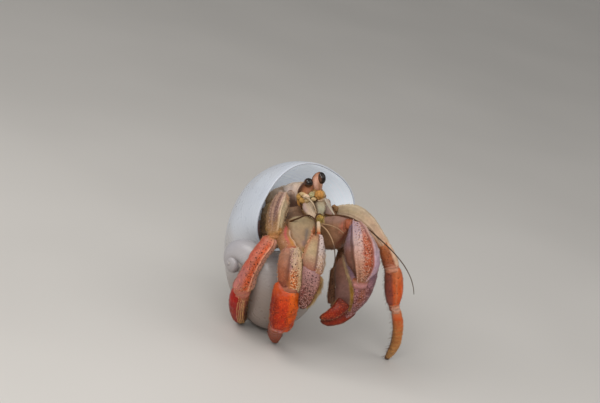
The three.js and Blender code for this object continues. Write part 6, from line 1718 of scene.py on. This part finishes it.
def build_head():
    # carapace front
    def pt(t, x, f, p):
        c = ground((0, col(172, 134, 86)), (0.18, col(192, 162, 126)), (0.4, col(210, 186, 166)), (0.7, col(224, 206, 196)), (1, col(218, 190, 166)))(t)
        c = mixc(c, col(206, 186, 162), 0.6 * sstep(x, 0.5, 0.95) * sstep(t, 0.2, 0.4))
        c = mixc(c, col(132, 98, 74), 0.6 * (1 - sstep(x, -0.7, 0.1)))
        c = mixc(c, col(150, 112, 74), 0.5 * sstep(noise(p, 1.6, 81), 0.55, 0.8))
        # painted shade: the side turned away from the front is blended towards a set brown
        return mottled(mixc(c, col(150, 126, 108), 0.5 * (1 - f)), p, 0.14, 1.8, 30)

    def ex(limb, bag):
        edge_row(limb, bag, 0.1, 0.97, 34, 1, 0.06, 0.06, col(206, 182, 150), 0.3)
        t, x = cloud(80, 0.05, 0.95, -0.3, 0.95)
        grains(limb, bag, t, x, 0.05, 0.04, col(206, 184, 158), 0.3)

    piece("shield", "tan", pt, lambda t, x, f, p: f * (-0.16 * hump(t, 0.55, 0.05) + 0.1 * hump(x, 0.75, 0.15)), None, ex, nr=130, ns=96, cap=(0.7, 0.5), rim=0.04, rough=0.08)

    def ptb(t, x, f, p):
        c = ground((0, col(166, 134, 108)), (0.3, col(146, 112, 88)), (0.7, col(108, 78, 58)), (1, col(84, 58, 42)))(t)
        c = mixc(c, col(176, 146, 120), 0.4 * hump(x, -0.75, 0.2))
        # painted shade: the side turned away from the front is blended towards a set brown
        return mottled(mixc(streaks(c, t, x, 0.2, 5.0, 4.0, 31), col(150, 110, 96), 0.5 * (1 - f)), p, 0.26, 1.6, 33)

    piece("thorax", "mauve", ptb, lambda t, x, f, p: 0.25 * np.sin(t * 16 + 2 * x) * f * 0.4, None, None, nr=110, ns=96, cap=(0.8, 0.8), rim=0.0, rough=0.12)

    def ptk(t, x, f, p):
        c = ground((0, col(172, 146, 106)), (0.3, col(138, 112, 78)), (0.7, col(108, 82, 52)), (1, col(92, 64, 40)))(t)
        c = mixc(c, col(62, 40, 26), 0.6 * (1 - sstep(x, -0.95, -0.5)))
        return mottled(streaks(c, t, x, 0.25, 6.0, 5.0, 99), p, 0.25, 2.4, 47)

    piece("flank_r", "mauve", ptk, None, None, None, nr=90, ns=80, cap=(0.8, 0.8), node=False, rim=0.0, rough=0.14)

    def ptf(t, x, f, p):
        c = ground((0, col(160, 112, 68)), (0.25, col(156, 112, 68)), (0.5, col(146, 104, 68)), (1, col(124, 86, 58)))(t)
        c = mixc(c, col(176, 140, 100), 0.5 * sstep(noise(p, 1.8, 83), 0.5, 0.75))
        c = mixc(c, col(92, 60, 36), 0.6 * sstep(noise(p, 1.4, 84), 0.56, 0.8))
        # painted shade: the side turned away from the front is blended towards a set brown
        return mottled(mixc(c, col(120, 90, 70), 0.5 * (1 - f)), p, 0.2, 2.2, 34)

    piece("face", "gold", ptf, None, None, None, nr=110, ns=88, cap=(0.5, 0.5), node=False, rim=0.0, rough=0.12)

    # eyes: stalks first, then the corneas set into their ends
    def pts(kind):
        def f_(t, x, f, p):
            if kind == "r":
                c = ground((0, col(150, 104, 66)), (0.35, col(190, 138, 100)), (0.7, col(180, 122, 88)), (1, col(130, 84, 60)))(t)
                c = mixc(c, col(74, 42, 24), 0.85 * (1 - sstep(x, -0.85, -0.1)) * sstep(t, 0.05, 0.3))
                c = mixc(c, col(206, 152, 124), 0.8 * hump(x, 0.35, 0.35) * band(t, 0.1, 0.75, 0.15))
                c = mixc(c, col(84, 52, 30), 0.6 * hump(t, 0.08, 0.06))
            else:
                c = ground((0, col(224, 180, 120)), (0.25, col(214, 170, 144)), (0.6, col(208, 160, 138)), (0.85, col(196, 140, 112)), (1, col(124, 80, 54)))(t)
                c = mixc(c, col(226, 184, 166), 0.6 * hump(x, -0.3, 0.3) * band(t, 0.2, 0.8, 0.1))
                c = mixc(c, col(164, 108, 66), 0.5 * hump(x, 0.4, 0.2) * band(t, 0.3, 0.95, 0.1))
                c = mixc(c, col(214, 168, 84), 0.7 * (1 - sstep(t, 0.12, 0.34)) * sstep(x, -0.4, 0.4))
                c = mixc(c, col(84, 46, 30), 0.7 * (1 - sstep(x, -0.98, -0.72)) * sstep(t, 0.3, 0.6))
            return mottled(c, p, 0.16, 3.0, 35)

        return f_

    for n in ("eyestalk_r", "eyestalk_l"):
        def exs(limb, bag):
            t, x = cloud(30, 0.1, 0.85, -0.9, 0.9)
            grains(limb, bag, t, x, 0.03, 0.02, col(186, 140, 108), 0.2)

        piece(n, "brown", pts(n[-1]), None, None, exs, nr=90, ns=80, cap=(0.35, 0.35), rim=0.0, rough=0.02)

    for n, c, rx, ry, rz, tilt in EYES:
        bag = Bag()

        def tint(u, P):
            base = np.broadcast_to(col(30, 17, 10), P.shape).copy()
            k = 0.85 * hump(u[..., 0], -0.35, 0.35) * hump(u[..., 1], -0.1, 0.6) * (u[..., 2] > 0) if n == "eye_l" else 0.7 * np.maximum(hump(u[..., 1], -0.75, 0.4), hump(u[..., 0], -0.9, 0.5))
            return mixc(base, col(118, 74, 44), k)

        def rim(u):
            if n == "eye_l":  # the brown of the eye shows from the front, dark only round its upper edge
                return np.maximum(0.4 * sstep(-u[..., 2], -0.2, 0.4), 0.9 * hump(u[..., 0], -0.30, 0.7) * hump(u[..., 1], -0.25, 0.85))
            return np.maximum(0.4 * sstep(-u[..., 2], -0.2, 0.4), 0.75 * np.maximum(hump(u[..., 1], -0.85, 0.5), hump(u[..., 0], -0.9, 0.55)))

        blob(bag, c, (rx, ry, rz), tint, tilt, 0.0, 0, rim, 60, 84)
        place(bag.build("crab_" + n, MAT["eye"]), "eye", n)

    # mouth plates
    def ptm(t, x, f, p):
        c = ground((0, col(196, 170, 140)), (0.3, col(198, 176, 152)), (0.7, col(206, 182, 156)), (1, col(214, 186, 160)))(t)
        c = mixc(c, col(176, 148, 152), 0.6 * (1 - sstep(x, -0.8, -0.1)) * band(t, 0.2, 0.7, 0.1))
        c = mixc(c, col(228, 208, 182), 0.5 * hump(x, 0.35, 0.25))
        # painted shade: the side turned away from the front is blended towards a set brown
        return mottled(mixc(c, BACK_SHADE, 0.5 * (1 - f)), p, 0.1, 2.4, 36)

    def ptn(t, x, f, p):
        c = ground((0, col(196, 156, 124)), (0.2, col(190, 170, 142)), (0.6, col(180, 174, 150)), (1, col(150, 130, 96)))(t)
        c = mixc(c, col(132, 110, 96), 0.6 * (1 - sstep(x, -0.9, -0.4)))
        # painted shade: the side turned away from the front is blended towards a set brown
        return mottled(mixc(c, BACK_SHADE, 0.5 * (1 - f)), p, 0.1, 2.2, 37)

    def exm(limb, bag):
        edge_row(limb, bag, 0.1, 0.95, 14, 1, 0.05, 0.07, col(214, 190, 160), 0.5)
        edge_row(limb, bag, 0.1, 0.95, 14, -1, 0.05, 0.07, col(190, 160, 130), 0.5)

    piece("maxilliped_r", "cream", ptm, lambda t, x, f, p: f * (0.08 * hump(x, 0.3, 0.15) - 0.05 * hump(x, 0.0, 0.08)), None, exm, nr=110, ns=80, cap=(0.35, 0.3), rim=0.0)
    piece("maxilliped_l", "cream", ptn, lambda t, x, f, p: f * 0.06 * hump(x, 0.1, 0.2), None, exm, nr=110, ns=80, cap=(0.4, 0.3), rim=0.0)

    def ptc(t, x, f, p):
        c = ground((0, col(220, 204, 188)), (0.4, col(204, 184, 170)), (0.75, col(176, 148, 136)), (1, col(140, 108, 96)))(t)
        # painted shade: the side turned away from the front is blended towards a set brown
        return mottled(mixc(c, BACK_SHADE, 0.5 * (1 - f)), p, 0.14, 2.2, 38)

    piece("cheek_l", "cream", ptc, None, None, None, nr=80, ns=64, cap=(0.4, 0.4), node=False, rim=0.0)

    # the swollen bases of the feelers and the small scales round them
    shade = {"gold": col(190, 150, 86), "pale": col(206, 180, 136), "cream": col(212, 186, 158), "amber": col(204, 150, 82), "green": col(186, 178, 136), "dark": col(96, 62, 34), "brown": col(146, 112, 78)}
    bags = {"r": Bag(), "l": Bag()}
    for i, (c, rx, ry, kind) in enumerate(BULBS):
        def tint(u, P, k=shade[kind]):
            q = np.broadcast_to(k, P.shape).copy()
            # painted shade on the lower side of each swelling and a painted highlight on its upper side, turned towards
            # the key light
            q = mixc(q, k * 0.55, 0.75 * sstep(-u[..., 1], 0.15, 0.9))
            q = mixc(q, np.minimum(k * 1.3, 1), 0.5 * sstep(u[..., 1] * 0.7 - u[..., 0] * 0.3, 0.2, 0.9))
            return mottled(q, P, 0.2, 3.0, 40)

        b = bags["r" if c[0] < 1.7 else "l"]
        u, P = blob(b, c, (rx, ry, min(rx, ry) * 0.95), tint, (i * 47) % 40 - 20, 0.20, i * 3 + 1, 0.0, 34, 48, 2.2)
        g = P[(RNG.uniform(0, 1, P.shape[:2]) < 0.05) & (u[..., 2] > -0.2)]
        domes(b, g, unit(g - c), RNG.uniform(0.03, 0.055, len(g)), RNG.uniform(0.03, 0.06, len(g)), np.minimum(shade[kind] * 1.35, 1), None, 6)
    for k in "rl":
        place(bags[k].build("crab_antennule_base_" + k, MAT["gold"]), "gold", "antennule_base_" + k)

    k = np.array(TUFT)
    bag = Bag()
    blob(bag, k + [0.05, 0.02, -0.45], (0.50, 0.62, 0.45), col(226, 180, 88), 0, 0.25, 5, 0.0, 30, 40, 2.4)
    place(bag.build("crab_mouth_gland", MAT["gold"]), "gold")

    # feelers
    def shades(*stops):
        g = ground(*stops)

        def f(t, seg):
            c = g(t)
            return c * (0.86 + 0.18 * np.sin(2 * np.pi * t * seg / 0.22))[:, None]

        return f

    cream = shades((0, col(214, 192, 160)), (0.6, col(204, 180, 150)), (1, col(170, 140, 112)))
    grey = shades((0, col(206, 196, 182)), (0.5, col(196, 184, 166)), (1, col(222, 206, 186)))
    dark = shades((0, col(92, 60, 34)), (0.5, col(84, 54, 32)), (1, col(96, 66, 44)))
    long_ = shades((0, col(120, 84, 52)), (0.12, col(96, 62, 38)), (0.5, col(92, 64, 44)), (0.75, col(108, 92, 78)), (1, col(122, 110, 98)))
    fade = shades((0, col(196, 160, 124)), (0.42, col(190, 154, 120)), (0.52, col(98, 78, 66)), (0.97, col(74, 58, 48)), (1, col(190, 170, 150)))
    for n, t2, paint in (("antennule_r", "antennule_r2", cream), ("antennule_l", "antennule_l2", grey)):
        bag = Bag()
        tube(bag, *TUBE[n], paint, 0.05)
        tube(bag, *TUBE[t2], dark if n[-1] == "r" else grey, 0.05)
        place(bag.build("crab_" + n, MAT["cream"]), "cream", n)
    for n, paint in (("antenna_r", dark), ("antenna_l", long_)):
        bag = Bag()
        tube(bag, *TUBE[n], paint, 0.06)
        if n == "antenna_r":
            tube(bag, *TUBE["loop"], dark, 0.05)
        place(bag.build("crab_" + n, MAT["feeler"]), "feeler", n)
    bag = Bag()
    tube(bag, *TUBE["strand_a"], shades((0, col(190, 156, 120)), (1, col(176, 140, 110))), 0.04)
    tube(bag, *TUBE["strand_b"], fade, 0.04)
    place(bag.build("crab_mouth_strands", MAT["cream"]), "cream")

    # soft abdomen, curled into the hollow of the whorl
    bag = Bag()
    s = np.linspace(0, 1, 110)
    th = LIP + np.radians(-160 + 98 * s)
    ph = 2 * math.pi * np.arange(80) / 80
    ring = whorl(th, ph)
    mid = ring.mean(1, keepdims=True)
    fill = 0.3 + 0.2 * s
    capk = np.sqrt(np.clip(1 - (1 - np.clip(np.minimum(s, 1 - s) / 0.12, 0, 1)) ** 2, 0.02, 1))
    P = mid + (ring - mid) * (fill * capk * (1 + 0.02 * np.sin(s * 60)))[:, None, None]
    v, q, t = closed_grid(P)
    c = mottled(mixc(np.broadcast_to(col(176, 132, 118), P.shape).copy(), col(132, 84, 84), 0.5 * (0.5 + 0.5 * np.sin(s * 60))[:, None] * np.ones(80)), P, 0.2, 0.8, 45)
    bag.add(v, q, t, np.concatenate([c.reshape(-1, 3), c[0].mean(0)[None], c[-1].mean(0)[None]]))
    place(bag.build("crab_abdomen", MAT["joint"]), "mauve", "abdomen")

    # the trunk behind the mouth, narrowing to the waist where the abdomen begins
    bag = Bag()
    s = np.linspace(0, 1, 96)
    mid = catmull(np.array([[-4.3, -5.3, -4.6], [-2.3, -3.6, -4.3], [0.0, -2.7, -2.0], [1.9, -3.2, 2.6]]), s)
    way = unit(np.gradient(mid, axis=0))
    side = unit(np.array([1.0, 0, 0]) - way * way[:, :1])
    up = np.cross(way, side)
    wide = np.interp(s, [0, 0.3, 0.6, 1], [2.4, 2.5, 3.3, 2.9]) * (1 + 0.012 * np.sin(s * 42) * (s < 0.55))
    tall = np.interp(s, [0, 0.3, 0.6, 1], [2.4, 2.3, 2.7, 2.2]) * (1 + 0.012 * np.sin(s * 42) * (s < 0.55))
    capk = np.sqrt(np.clip(1 - (1 - np.clip(np.minimum(s, 1 - s) / 0.16, 0, 1)) ** 2, 0.02, 1))
    P = mid[:, None] + capk[:, None, None] * (side[:, None] * (np.cos(ph)[None, :, None] * wide[:, None, None]) + up[:, None] * (np.sin(ph)[None, :, None] * tall[:, None, None]))
    P = P + 0.10 * (noise(P, 1.2, 48) - 0.5)[..., None] * unit(P - mid[:, None])
    v, q, t = closed_grid(P)
    k = np.broadcast_to(sstep(s, 0.25, 0.6)[:, None], P.shape[:2])
    c = mottled(mixc(np.broadcast_to(col(158, 104, 92), P.shape).copy(), col(138, 104, 78), k), P, 0.2, 1.0, 49)
    bag.add(v, q, t, np.concatenate([c.reshape(-1, 3), c[0].mean(0)[None], c[-1].mean(0)[None]]))
    place(bag.build("crab_trunk", MAT["joint"]), "mauve")

    # the two small last legs kept inside the shell
    for n in ("p4_r", "p4_l"):
        s = SEG[n]
        sp = np.array(s["spine"])
        if n == "p4_l":
            sp[0] = [2.0, -3.4, -3.4]
        st = []
        for i, tt in enumerate((0, 0.3, 0.6, 0.85, 1)):
            c = catmull(sp, np.array([tt]))[0]
            d = unit(catmull(sp, np.array([min(tt + 0.05, 1)]))[0] - catmull(sp, np.array([max(tt - 0.05, 0)]))[0])
            w = unit(np.cross([0, 0, 1.0], d)) * np.interp(tt, [g[0] for g in s["girth"]], [g[1] for g in s["girth"]])
            st.append([*(c - w)[:2], *(c + w)[:2], c[2]])

        def pq(t, x, f, p):
            return mottled(ground((0, col(170, 130, 104)), (0.6, col(196, 160, 130)), (1, col(220, 190, 158)))(t), p, 0.15, 2, 46)

        piece(n, "cream", pq, lambda t, x, f, p: -0.12 * hump(t, 0.45, 0.03), None, None, nr=70, ns=56, cap=(0.4, 0.4), edge=(0.9, 0.9, st))
# ---------------------------------------------------------------- bristles, as solid mesh tufts rooted on the plates
def fringe(bag, limb, t, a, way, length, radius, tint, tip=None, droop=0.2, spread=0.2, steps=3, curl=0.25):
    """Bristles at t, a. way mixes (outwards, towards the tip, sideways round the limb)."""
    p, n, d = limb.at(t, a)
    k = len(p)
    s = np.cross(n, d)
    g = n * way[0] + d * way[1] + s * way[2] + RNG.normal(0, spread, (k, 3))
    ln = np.broadcast_to(length, (k,)) * RNG.uniform(0.6, 1.15, k)
    sh = tint * RNG.uniform(0.8, 1.15, (k, 1))
    hairs(bag, p - n * 0.05, n, g, ln, np.broadcast_to(radius, (k,)) * RNG.uniform(0.8, 1.2, k), np.clip(sh, 0, 1), tip, droop, steps, limb.uv(t, a), curl)


def build_coat():
    L = LIMBS
    gold, pale, brown, dark = col(206, 162, 96), col(226, 206, 170), col(120, 82, 52), col(58, 36, 26)

    def edge_hair(bag, n, t0, t1, count, sides_, length, radius, tint, way=(1.0, 0.6, 0), spread=0.25, width=10):
        for a0 in sides_:
            t = RNG.uniform(t0, t1, count)
            a = a0 + RNG.normal(0, width, count)
            fringe(bag, L[n], t, a, way, length, radius, tint, spread=spread)

    # walking legs
    bag = Bag()
    for n, c, ln, k in (("p3_r_carpus", pale, 0.22, 70), ("p3_r_propodus", gold, 0.25, 110), ("p2_r_merus", pale, 0.3, 50), ("p2_r_carpus", pale, 0.25, 90), ("p2_r_propodus", gold, 0.28, 100),
                        ("p3_l_merus", pale, 0.2, 80), ("p3_l_carpus", gold, 0.28, 70), ("p3_l_propodus", brown, 0.34, 100), ("p2_l_carpus", gold, 0.3, 40), ("p2_l_propodus", gold, 0.35, 70)):
        edge_hair(bag, n, 0.06, 0.96, k, (0, 180), ln, 0.017, c)
        t, a = RNG.uniform(0.05, 0.96, k * 2), RNG.uniform(0, 360, k * 2)
        fringe(bag, L[n], t, a, (0.7, 1.0, 0), ln * 0.6, 0.013, c, spread=0.25)
    # rows of bristles on the last segments
    for n, c, c2, k in (("p3_r_dactyl", gold, dark, 340), ("p2_r_dactyl", brown, gold, 260), ("p3_l_dactyl", gold, brown, 420), ("p2_l_dactyl", brown, gold, 160)):
        for a0 in (0, 30, 60, 90, 120, 150, 180, 225, 270, 315):
            m = k // 10
            t = RNG.uniform(0.08, 0.93, m)
            fringe(bag, L[n], t, a0 + RNG.normal(0, 4, m), (0.7, 1.0, 0), 0.34, 0.019, c if a0 < 190 else c2, spread=0.18)
    # tufts at the far ends of the long segments
    for n, c in (("p3_r_propodus", gold), ("p2_r_propodus", gold), ("p3_l_propodus", pale), ("p2_r_carpus", pale), ("p3_r_carpus", gold), ("p3_l_carpus", pale)):
        a = RNG.uniform(0, 360, 130)
        fringe(bag, L[n], RNG.uniform(0.88, 0.975, 130), a, (0.6, 1.0, 0), 0.40, 0.018, c, spread=0.3)
    # golden hair matted round the joints of the right legs, down the outer edge of the upper plate and along the left walking leg
    for n, t0, t1, a0, a1, k, ln, c in (("p3_r_carpus", 0.70, 0.97, 0, 360, 520, 0.42, gold), ("p3_r_propodus", 0.02, 0.16, 0, 360, 220, 0.30, gold), ("p3_r_carpus", 0.10, 0.9, 150, 215, 340, 0.42, col(150, 112, 66)),
                                        ("p3_r_carpus", 0.08, 0.9, -20, 25, 200, 0.26, pale), ("p2_r_merus", 0.35, 0.97, 0, 360, 420, 0.36, gold), ("p2_r_carpus", 0.02, 0.12, 0, 180, 120, 0.3, pale),
                                        ("p3_l_propodus", 0.05, 0.97, 150, 215, 260, 0.36, col(126, 84, 58)), ("p3_l_carpus", 0.1, 0.97, 150, 215, 120, 0.3, col(150, 100, 66)), ("p3_l_dactyl", 0.04, 0.92, 150, 215, 300, 0.38, col(150, 112, 76)),
                                        ("p2_l_propodus", 0.02, 0.97, 0, 360, 360, 0.34, col(96, 60, 40)), ("p2_l_carpus", 0.1, 0.97, 0, 360, 200, 0.3, col(120, 80, 54))):
        t, a = RNG.uniform(t0, t1, k), RNG.uniform(a0, a1, k)
        fringe(bag, L[n], t, a, (0.8, 1.0, 0), ln, 0.017, c, np.clip(c * 1.15, 0, 1), spread=0.35)
    # the soft skin of the joints is hairy all round
    for n, k, ln, c in (("skin_a1", 460, 0.42, gold), ("skin_a2", 160, 0.3, gold), ("skin_b0", 300, 0.34, gold), ("skin_b1", 160, 0.26, pale), ("skin_b2", 160, 0.26, gold), ("skin_c1", 120, 0.26, pale), ("skin_c2", 120, 0.26, pale), ("skin_c3", 120, 0.26, gold)):
        t, a = RNG.uniform(0.05, 0.95, k), RNG.uniform(0, 360, k)
        fringe(bag, L[n], t, a, (0.9, 0.9, 0), ln, 0.018, c, np.clip(c * 1.15, 0, 1), spread=0.4)
    # stout setae standing off the outer edges
    for n, t0, t1, a0, k, ln, c in (("p3_l_propodus", 0.1, 0.95, 180, 22, 0.80, col(132, 96, 88)), ("p3_l_dactyl", 0.03, 0.95, 180, 26, 0.95, col(128, 98, 90)), ("p3_l_dactyl", 0.1, 0.95, 0, 26, 0.42, gold), ("p3_l_carpus", 0.1, 0.95, 180, 12, 0.6, col(140, 98, 84)),
                                    ("p3_r_propodus", 0.05, 0.95, 0, 34, 0.36, pale), ("p3_r_dactyl", 0.1, 0.92, 0, 40, 0.42, gold), ("p3_r_dactyl", 0.1, 0.92, 60, 50, 0.36, gold), ("p2_r_propodus", 0.1, 0.95, 0, 24, 0.34, gold),
                                    ("p2_r_propodus", 0.1, 0.95, 180, 24, 0.34, col(206, 110, 60)), ("p2_r_carpus", 0.1, 0.95, 0, 24, 0.36, pale), ("p3_r_carpus", 0.05, 0.95, 0, 34, 0.34, pale), ("p3_r_carpus", 0.05, 0.95, 180, 34, 0.42, col(170, 130, 84)),
                                    ("p2_l_propodus", 0.05, 0.95, 0, 30, 0.42, col(104, 66, 46)), ("p2_l_propodus", 0.05, 0.95, 180, 30, 0.42, col(96, 62, 44))):
        t = np.linspace(t0, t1, k) + RNG.normal(0, 0.01, k)
        fringe(bag, L[n], np.clip(t, 0.01, 0.99), a0 + RNG.normal(0, 8, k), (1.0, 0.65, 0), ln, 0.042 if ln > 0.5 else 0.034, c, np.clip(c * 1.1, 0, 1), 0.15, 0.12, curl=0.1)
    place(bag.build("crab_bristles_legs", MAT["bristle"], coat=True), "gold")

    # claws
    bag = Bag()
    n = 560
    t = RNG.uniform(0.10, 0.92, n)
    fringe(bag, L["claw_r_palm"], t, RNG.normal(0, 14, n), (1.0, 0.55, -0.1), np.interp(t, [0.1, 0.4, 0.9], [0.75, 1.1, 0.6]), 0.025, col(190, 144, 80), col(214, 180, 124), 0.35, 0.22)
    t = RNG.uniform(0.1, 0.9, 110)
    fringe(bag, L["claw_r_dactyl"], t, RNG.normal(0, 18, 110), (1.0, 0.7, 0), 0.8, 0.020, col(190, 146, 86), col(226, 200, 150), 0.35, 0.22)
    t = RNG.uniform(0.5, 0.97, 90)
    fringe(bag, L["claw_r_carpus"], t, RNG.normal(0, 12, 90), (1.0, 0.6, 0), 0.4, 0.017, pale, None, 0.3, 0.2)
    t = RNG.uniform(0.05, 0.9, 120)
    fringe(bag, L["claw_r_palm"], t, 180 + RNG.normal(0, 16, 120), (1.0, 0.6, 0), 0.3, 0.01, brown, None, 0.3, 0.2)
    # the hairy ridge down the inner face of the big claw
    hl = lambda t: np.interp(t, [0, 0.15, 0.3, 0.45, 0.6, 0.8, 1.0], [-0.72, -0.62, -0.42, -0.22, -0.08, 0.05, 0.2])
    t = RNG.uniform(0.02, 0.8, 620)
    a = turn(hl(t) + RNG.normal(0, 0.035, 620))
    fringe(bag, L["claw_l_palm"], t, a, (0.9, 0.9, 0.5), np.interp(t, [0, 0.4, 0.8], [0.5, 0.75, 0.5]), 0.019, ground((0, col(208, 174, 140)), (0.38, col(214, 182, 132)), (0.5, col(190, 148, 60)), (0.8, col(180, 134, 36)))(t), None, 0.3, 0.22)
    for nme, k, ln, c in (("claw_l_palm", 160, 0.22, brown), ("claw_l_carpus", 160, 0.2, pale), ("claw_l_merus", 120, 0.28, gold), ("claw_l_finger", 90, 0.3, gold), ("claw_l_dactyl", 90, 0.3, gold), ("claw_r_merus", 80, 0.22, gold)):
        edge_hair(bag, nme, 0.06, 0.94, k // 2, (0, 180), ln, 0.016, c)
        t, a = RNG.uniform(0.05, 0.95, k), RNG.uniform(0, 360, k)
        fringe(bag, L[nme], t, a, (0.7, 1.0, 0), ln * 0.6, 0.012, c, spread=0.25)
    place(bag.build("crab_bristles_claws", MAT["bristle"], coat=True), "gold")

    # head: the yellow tuft between the feelers, the fringes of the mouth plates and the carapace edge
    bag = Bag()
    n = 560
    c0 = np.array(TUFT)
    root = c0 + np.stack([RNG.normal(0.03, 0.24, n), RNG.normal(0.10, 0.26, n), RNG.normal(-0.25, 0.12, n)], 1)
    d = unit(np.stack([RNG.normal(0, 0.35, n), RNG.normal(-0.9, 0.25, n), RNG.normal(0.7, 0.3, n)], 1))
    limb = L["maxilliped_l"]
    hairs(bag, root, np.tile([0, 0, 1.0], (n, 1)), d, RNG.uniform(0.45, 0.9, n), RNG.uniform(0.014, 0.024, n), np.clip(col(206, 172, 92) * RNG.uniform(0.6, 1.35, (n, 1)), 0, 1), col(240, 214, 140), 0.25, 3, limb.uv(np.full(n, 0.9) + RNG.normal(0, 0.03, n), RNG.uniform(40, 140, n)), 0.3)
    for nme, k, ln, c in (("maxilliped_r", 120, 0.3, pale), ("maxilliped_l", 120, 0.3, pale), ("cheek_l", 60, 0.25, pale), ("face", 260, 0.25, gold), ("shield", 260, 0.28, pale), ("eyestalk_r", 24, 0.2, gold), ("eyestalk_l", 24, 0.16, gold), ("link", 40, 0.2, pale)):
        edge_hair(bag, nme, 0.05, 0.95, k // 2, (0, 180), ln, 0.015, c)
        t, a = RNG.uniform(0.05, 0.9, k), RNG.uniform(10, 170, k)
        fringe(bag, L[nme], t, a, (0.7, 1.0, 0), ln * 0.6, 0.013, c, spread=0.3)
    for nme, t0, t1, a0, a1, k, ln, c in (("flank_r", 0.03, 0.97, 0, 180, 520, 0.42, col(168, 128, 78)), ("face", 0.05, 0.95, 0, 180, 460, 0.42, col(206, 160, 92)), ("shield", 0.0, 0.5, 20, 180, 380, 0.42, col(206, 166, 104)), ("thorax", 0.02, 0.5, 10, 170, 260, 0.3, col(150, 112, 76))):
        t, a = RNG.uniform(t0, t1, k), RNG.uniform(a0, a1, k)
        fringe(bag, L[nme], t, a, (0.9, 0.8, 0), ln, 0.016, c, np.clip(c * 1.2, 0, 1), spread=0.4)
    place(bag.build("crab_bristles_head", MAT["bristle"], coat=True), "gold")


# ---------------------------------------------------------------- floor, light and camera
def make_stage():
    me = bpy.data.meshes.new("studio_floor")
    s = 3.0
    me.from_pydata([(-s, -s, 0), (s, -s, 0), (s, s, 0), (-s, s, 0)], [], [(0, 1, 2, 3)])
    floor = bpy.data.objects.new("studio_floor", me)
    bpy.context.scene.collection.objects.link(floor)
    n = Nodes("pale_floor")
    tone = n.noise(14.0, 2.0)
    n.link(n.mix(n.ramp(tone, 0.3, 0.7), tuple(col(206, 203, 199)), tuple(col(212, 209, 205))), n.bsdf.inputs["Base Color"])
    n.link(n.ramp(tone, 0.3, 0.7, 0.55, 0.65), n.bsdf.inputs["Roughness"])
    me.materials.append(n.m)

    sky = bpy.data.worlds.new("studio")
    sky.use_nodes = True
    bg = sky.node_tree.nodes["Background"]
    bg.inputs[0].default_value = (1.0, 0.985, 0.96, 1)
    bg.inputs[1].default_value = 0.34
    bpy.context.scene.world = sky

    def softbox(name, at, aim, size, power, colour):
        light = bpy.data.lights.new(name, "AREA")
        light.shape, light.size, light.size_y = "RECTANGLE", size[0], size[1]
        light.energy, light.color = power, colour
        ob = bpy.data.objects.new(name, light)
        p, q = Vector(world(at)), Vector(world(aim))
        ob.location = p
        ob.rotation_euler = (q - p).to_track_quat("-Z", "Y").to_euler()
        bpy.context.scene.collection.objects.link(ob)

    mid = (2.0, -3.0, 8.0)
    softbox("key", (-110.0, 190.0, 150.0), mid, (0.16, 0.16), 0.25, (1.0, 0.975, 0.94))
    softbox("side", (190.0, 110.0, 90.0), mid, (0.14, 0.2), 0.10, (1.0, 0.98, 0.96))
    softbox("front", (10.0, 70.0, 230.0), mid, (0.18, 0.12), 0.25, (1.0, 0.985, 0.965))

    cam = bpy.data.cameras.new("photo_view")
    cam.lens, cam.sensor_width = 85.0, 36.0
    cam.clip_start, cam.clip_end = 0.01, 20.0
    ob = bpy.data.objects.new("photo_view", cam)
    m = Matrix([[*TURN[0], 0], [*TURN[1], 0], [*TURN[2], 0], [0, 0, 0, 1]])
    m.translation = Vector(world((0.0, 0.0, 85.0 / 36.0 * 600.0 / 6.0)))
    ob.matrix_world = m
    bpy.context.scene.collection.objects.link(ob)
    bpy.context.scene.camera = ob
    bpy.context.scene.view_settings.view_transform = "Standard"
    bpy.context.scene.view_settings.look = "None"
    bpy.context.scene.view_settings.exposure = 0.0
# ---------------------------------------------------------------- make it
make_shell()
build_right_outer()
build_right_inner()
build_right_claw()
build_left_claw()
build_left_legs()
build_joints()
build_head()
build_coat()
make_stage()
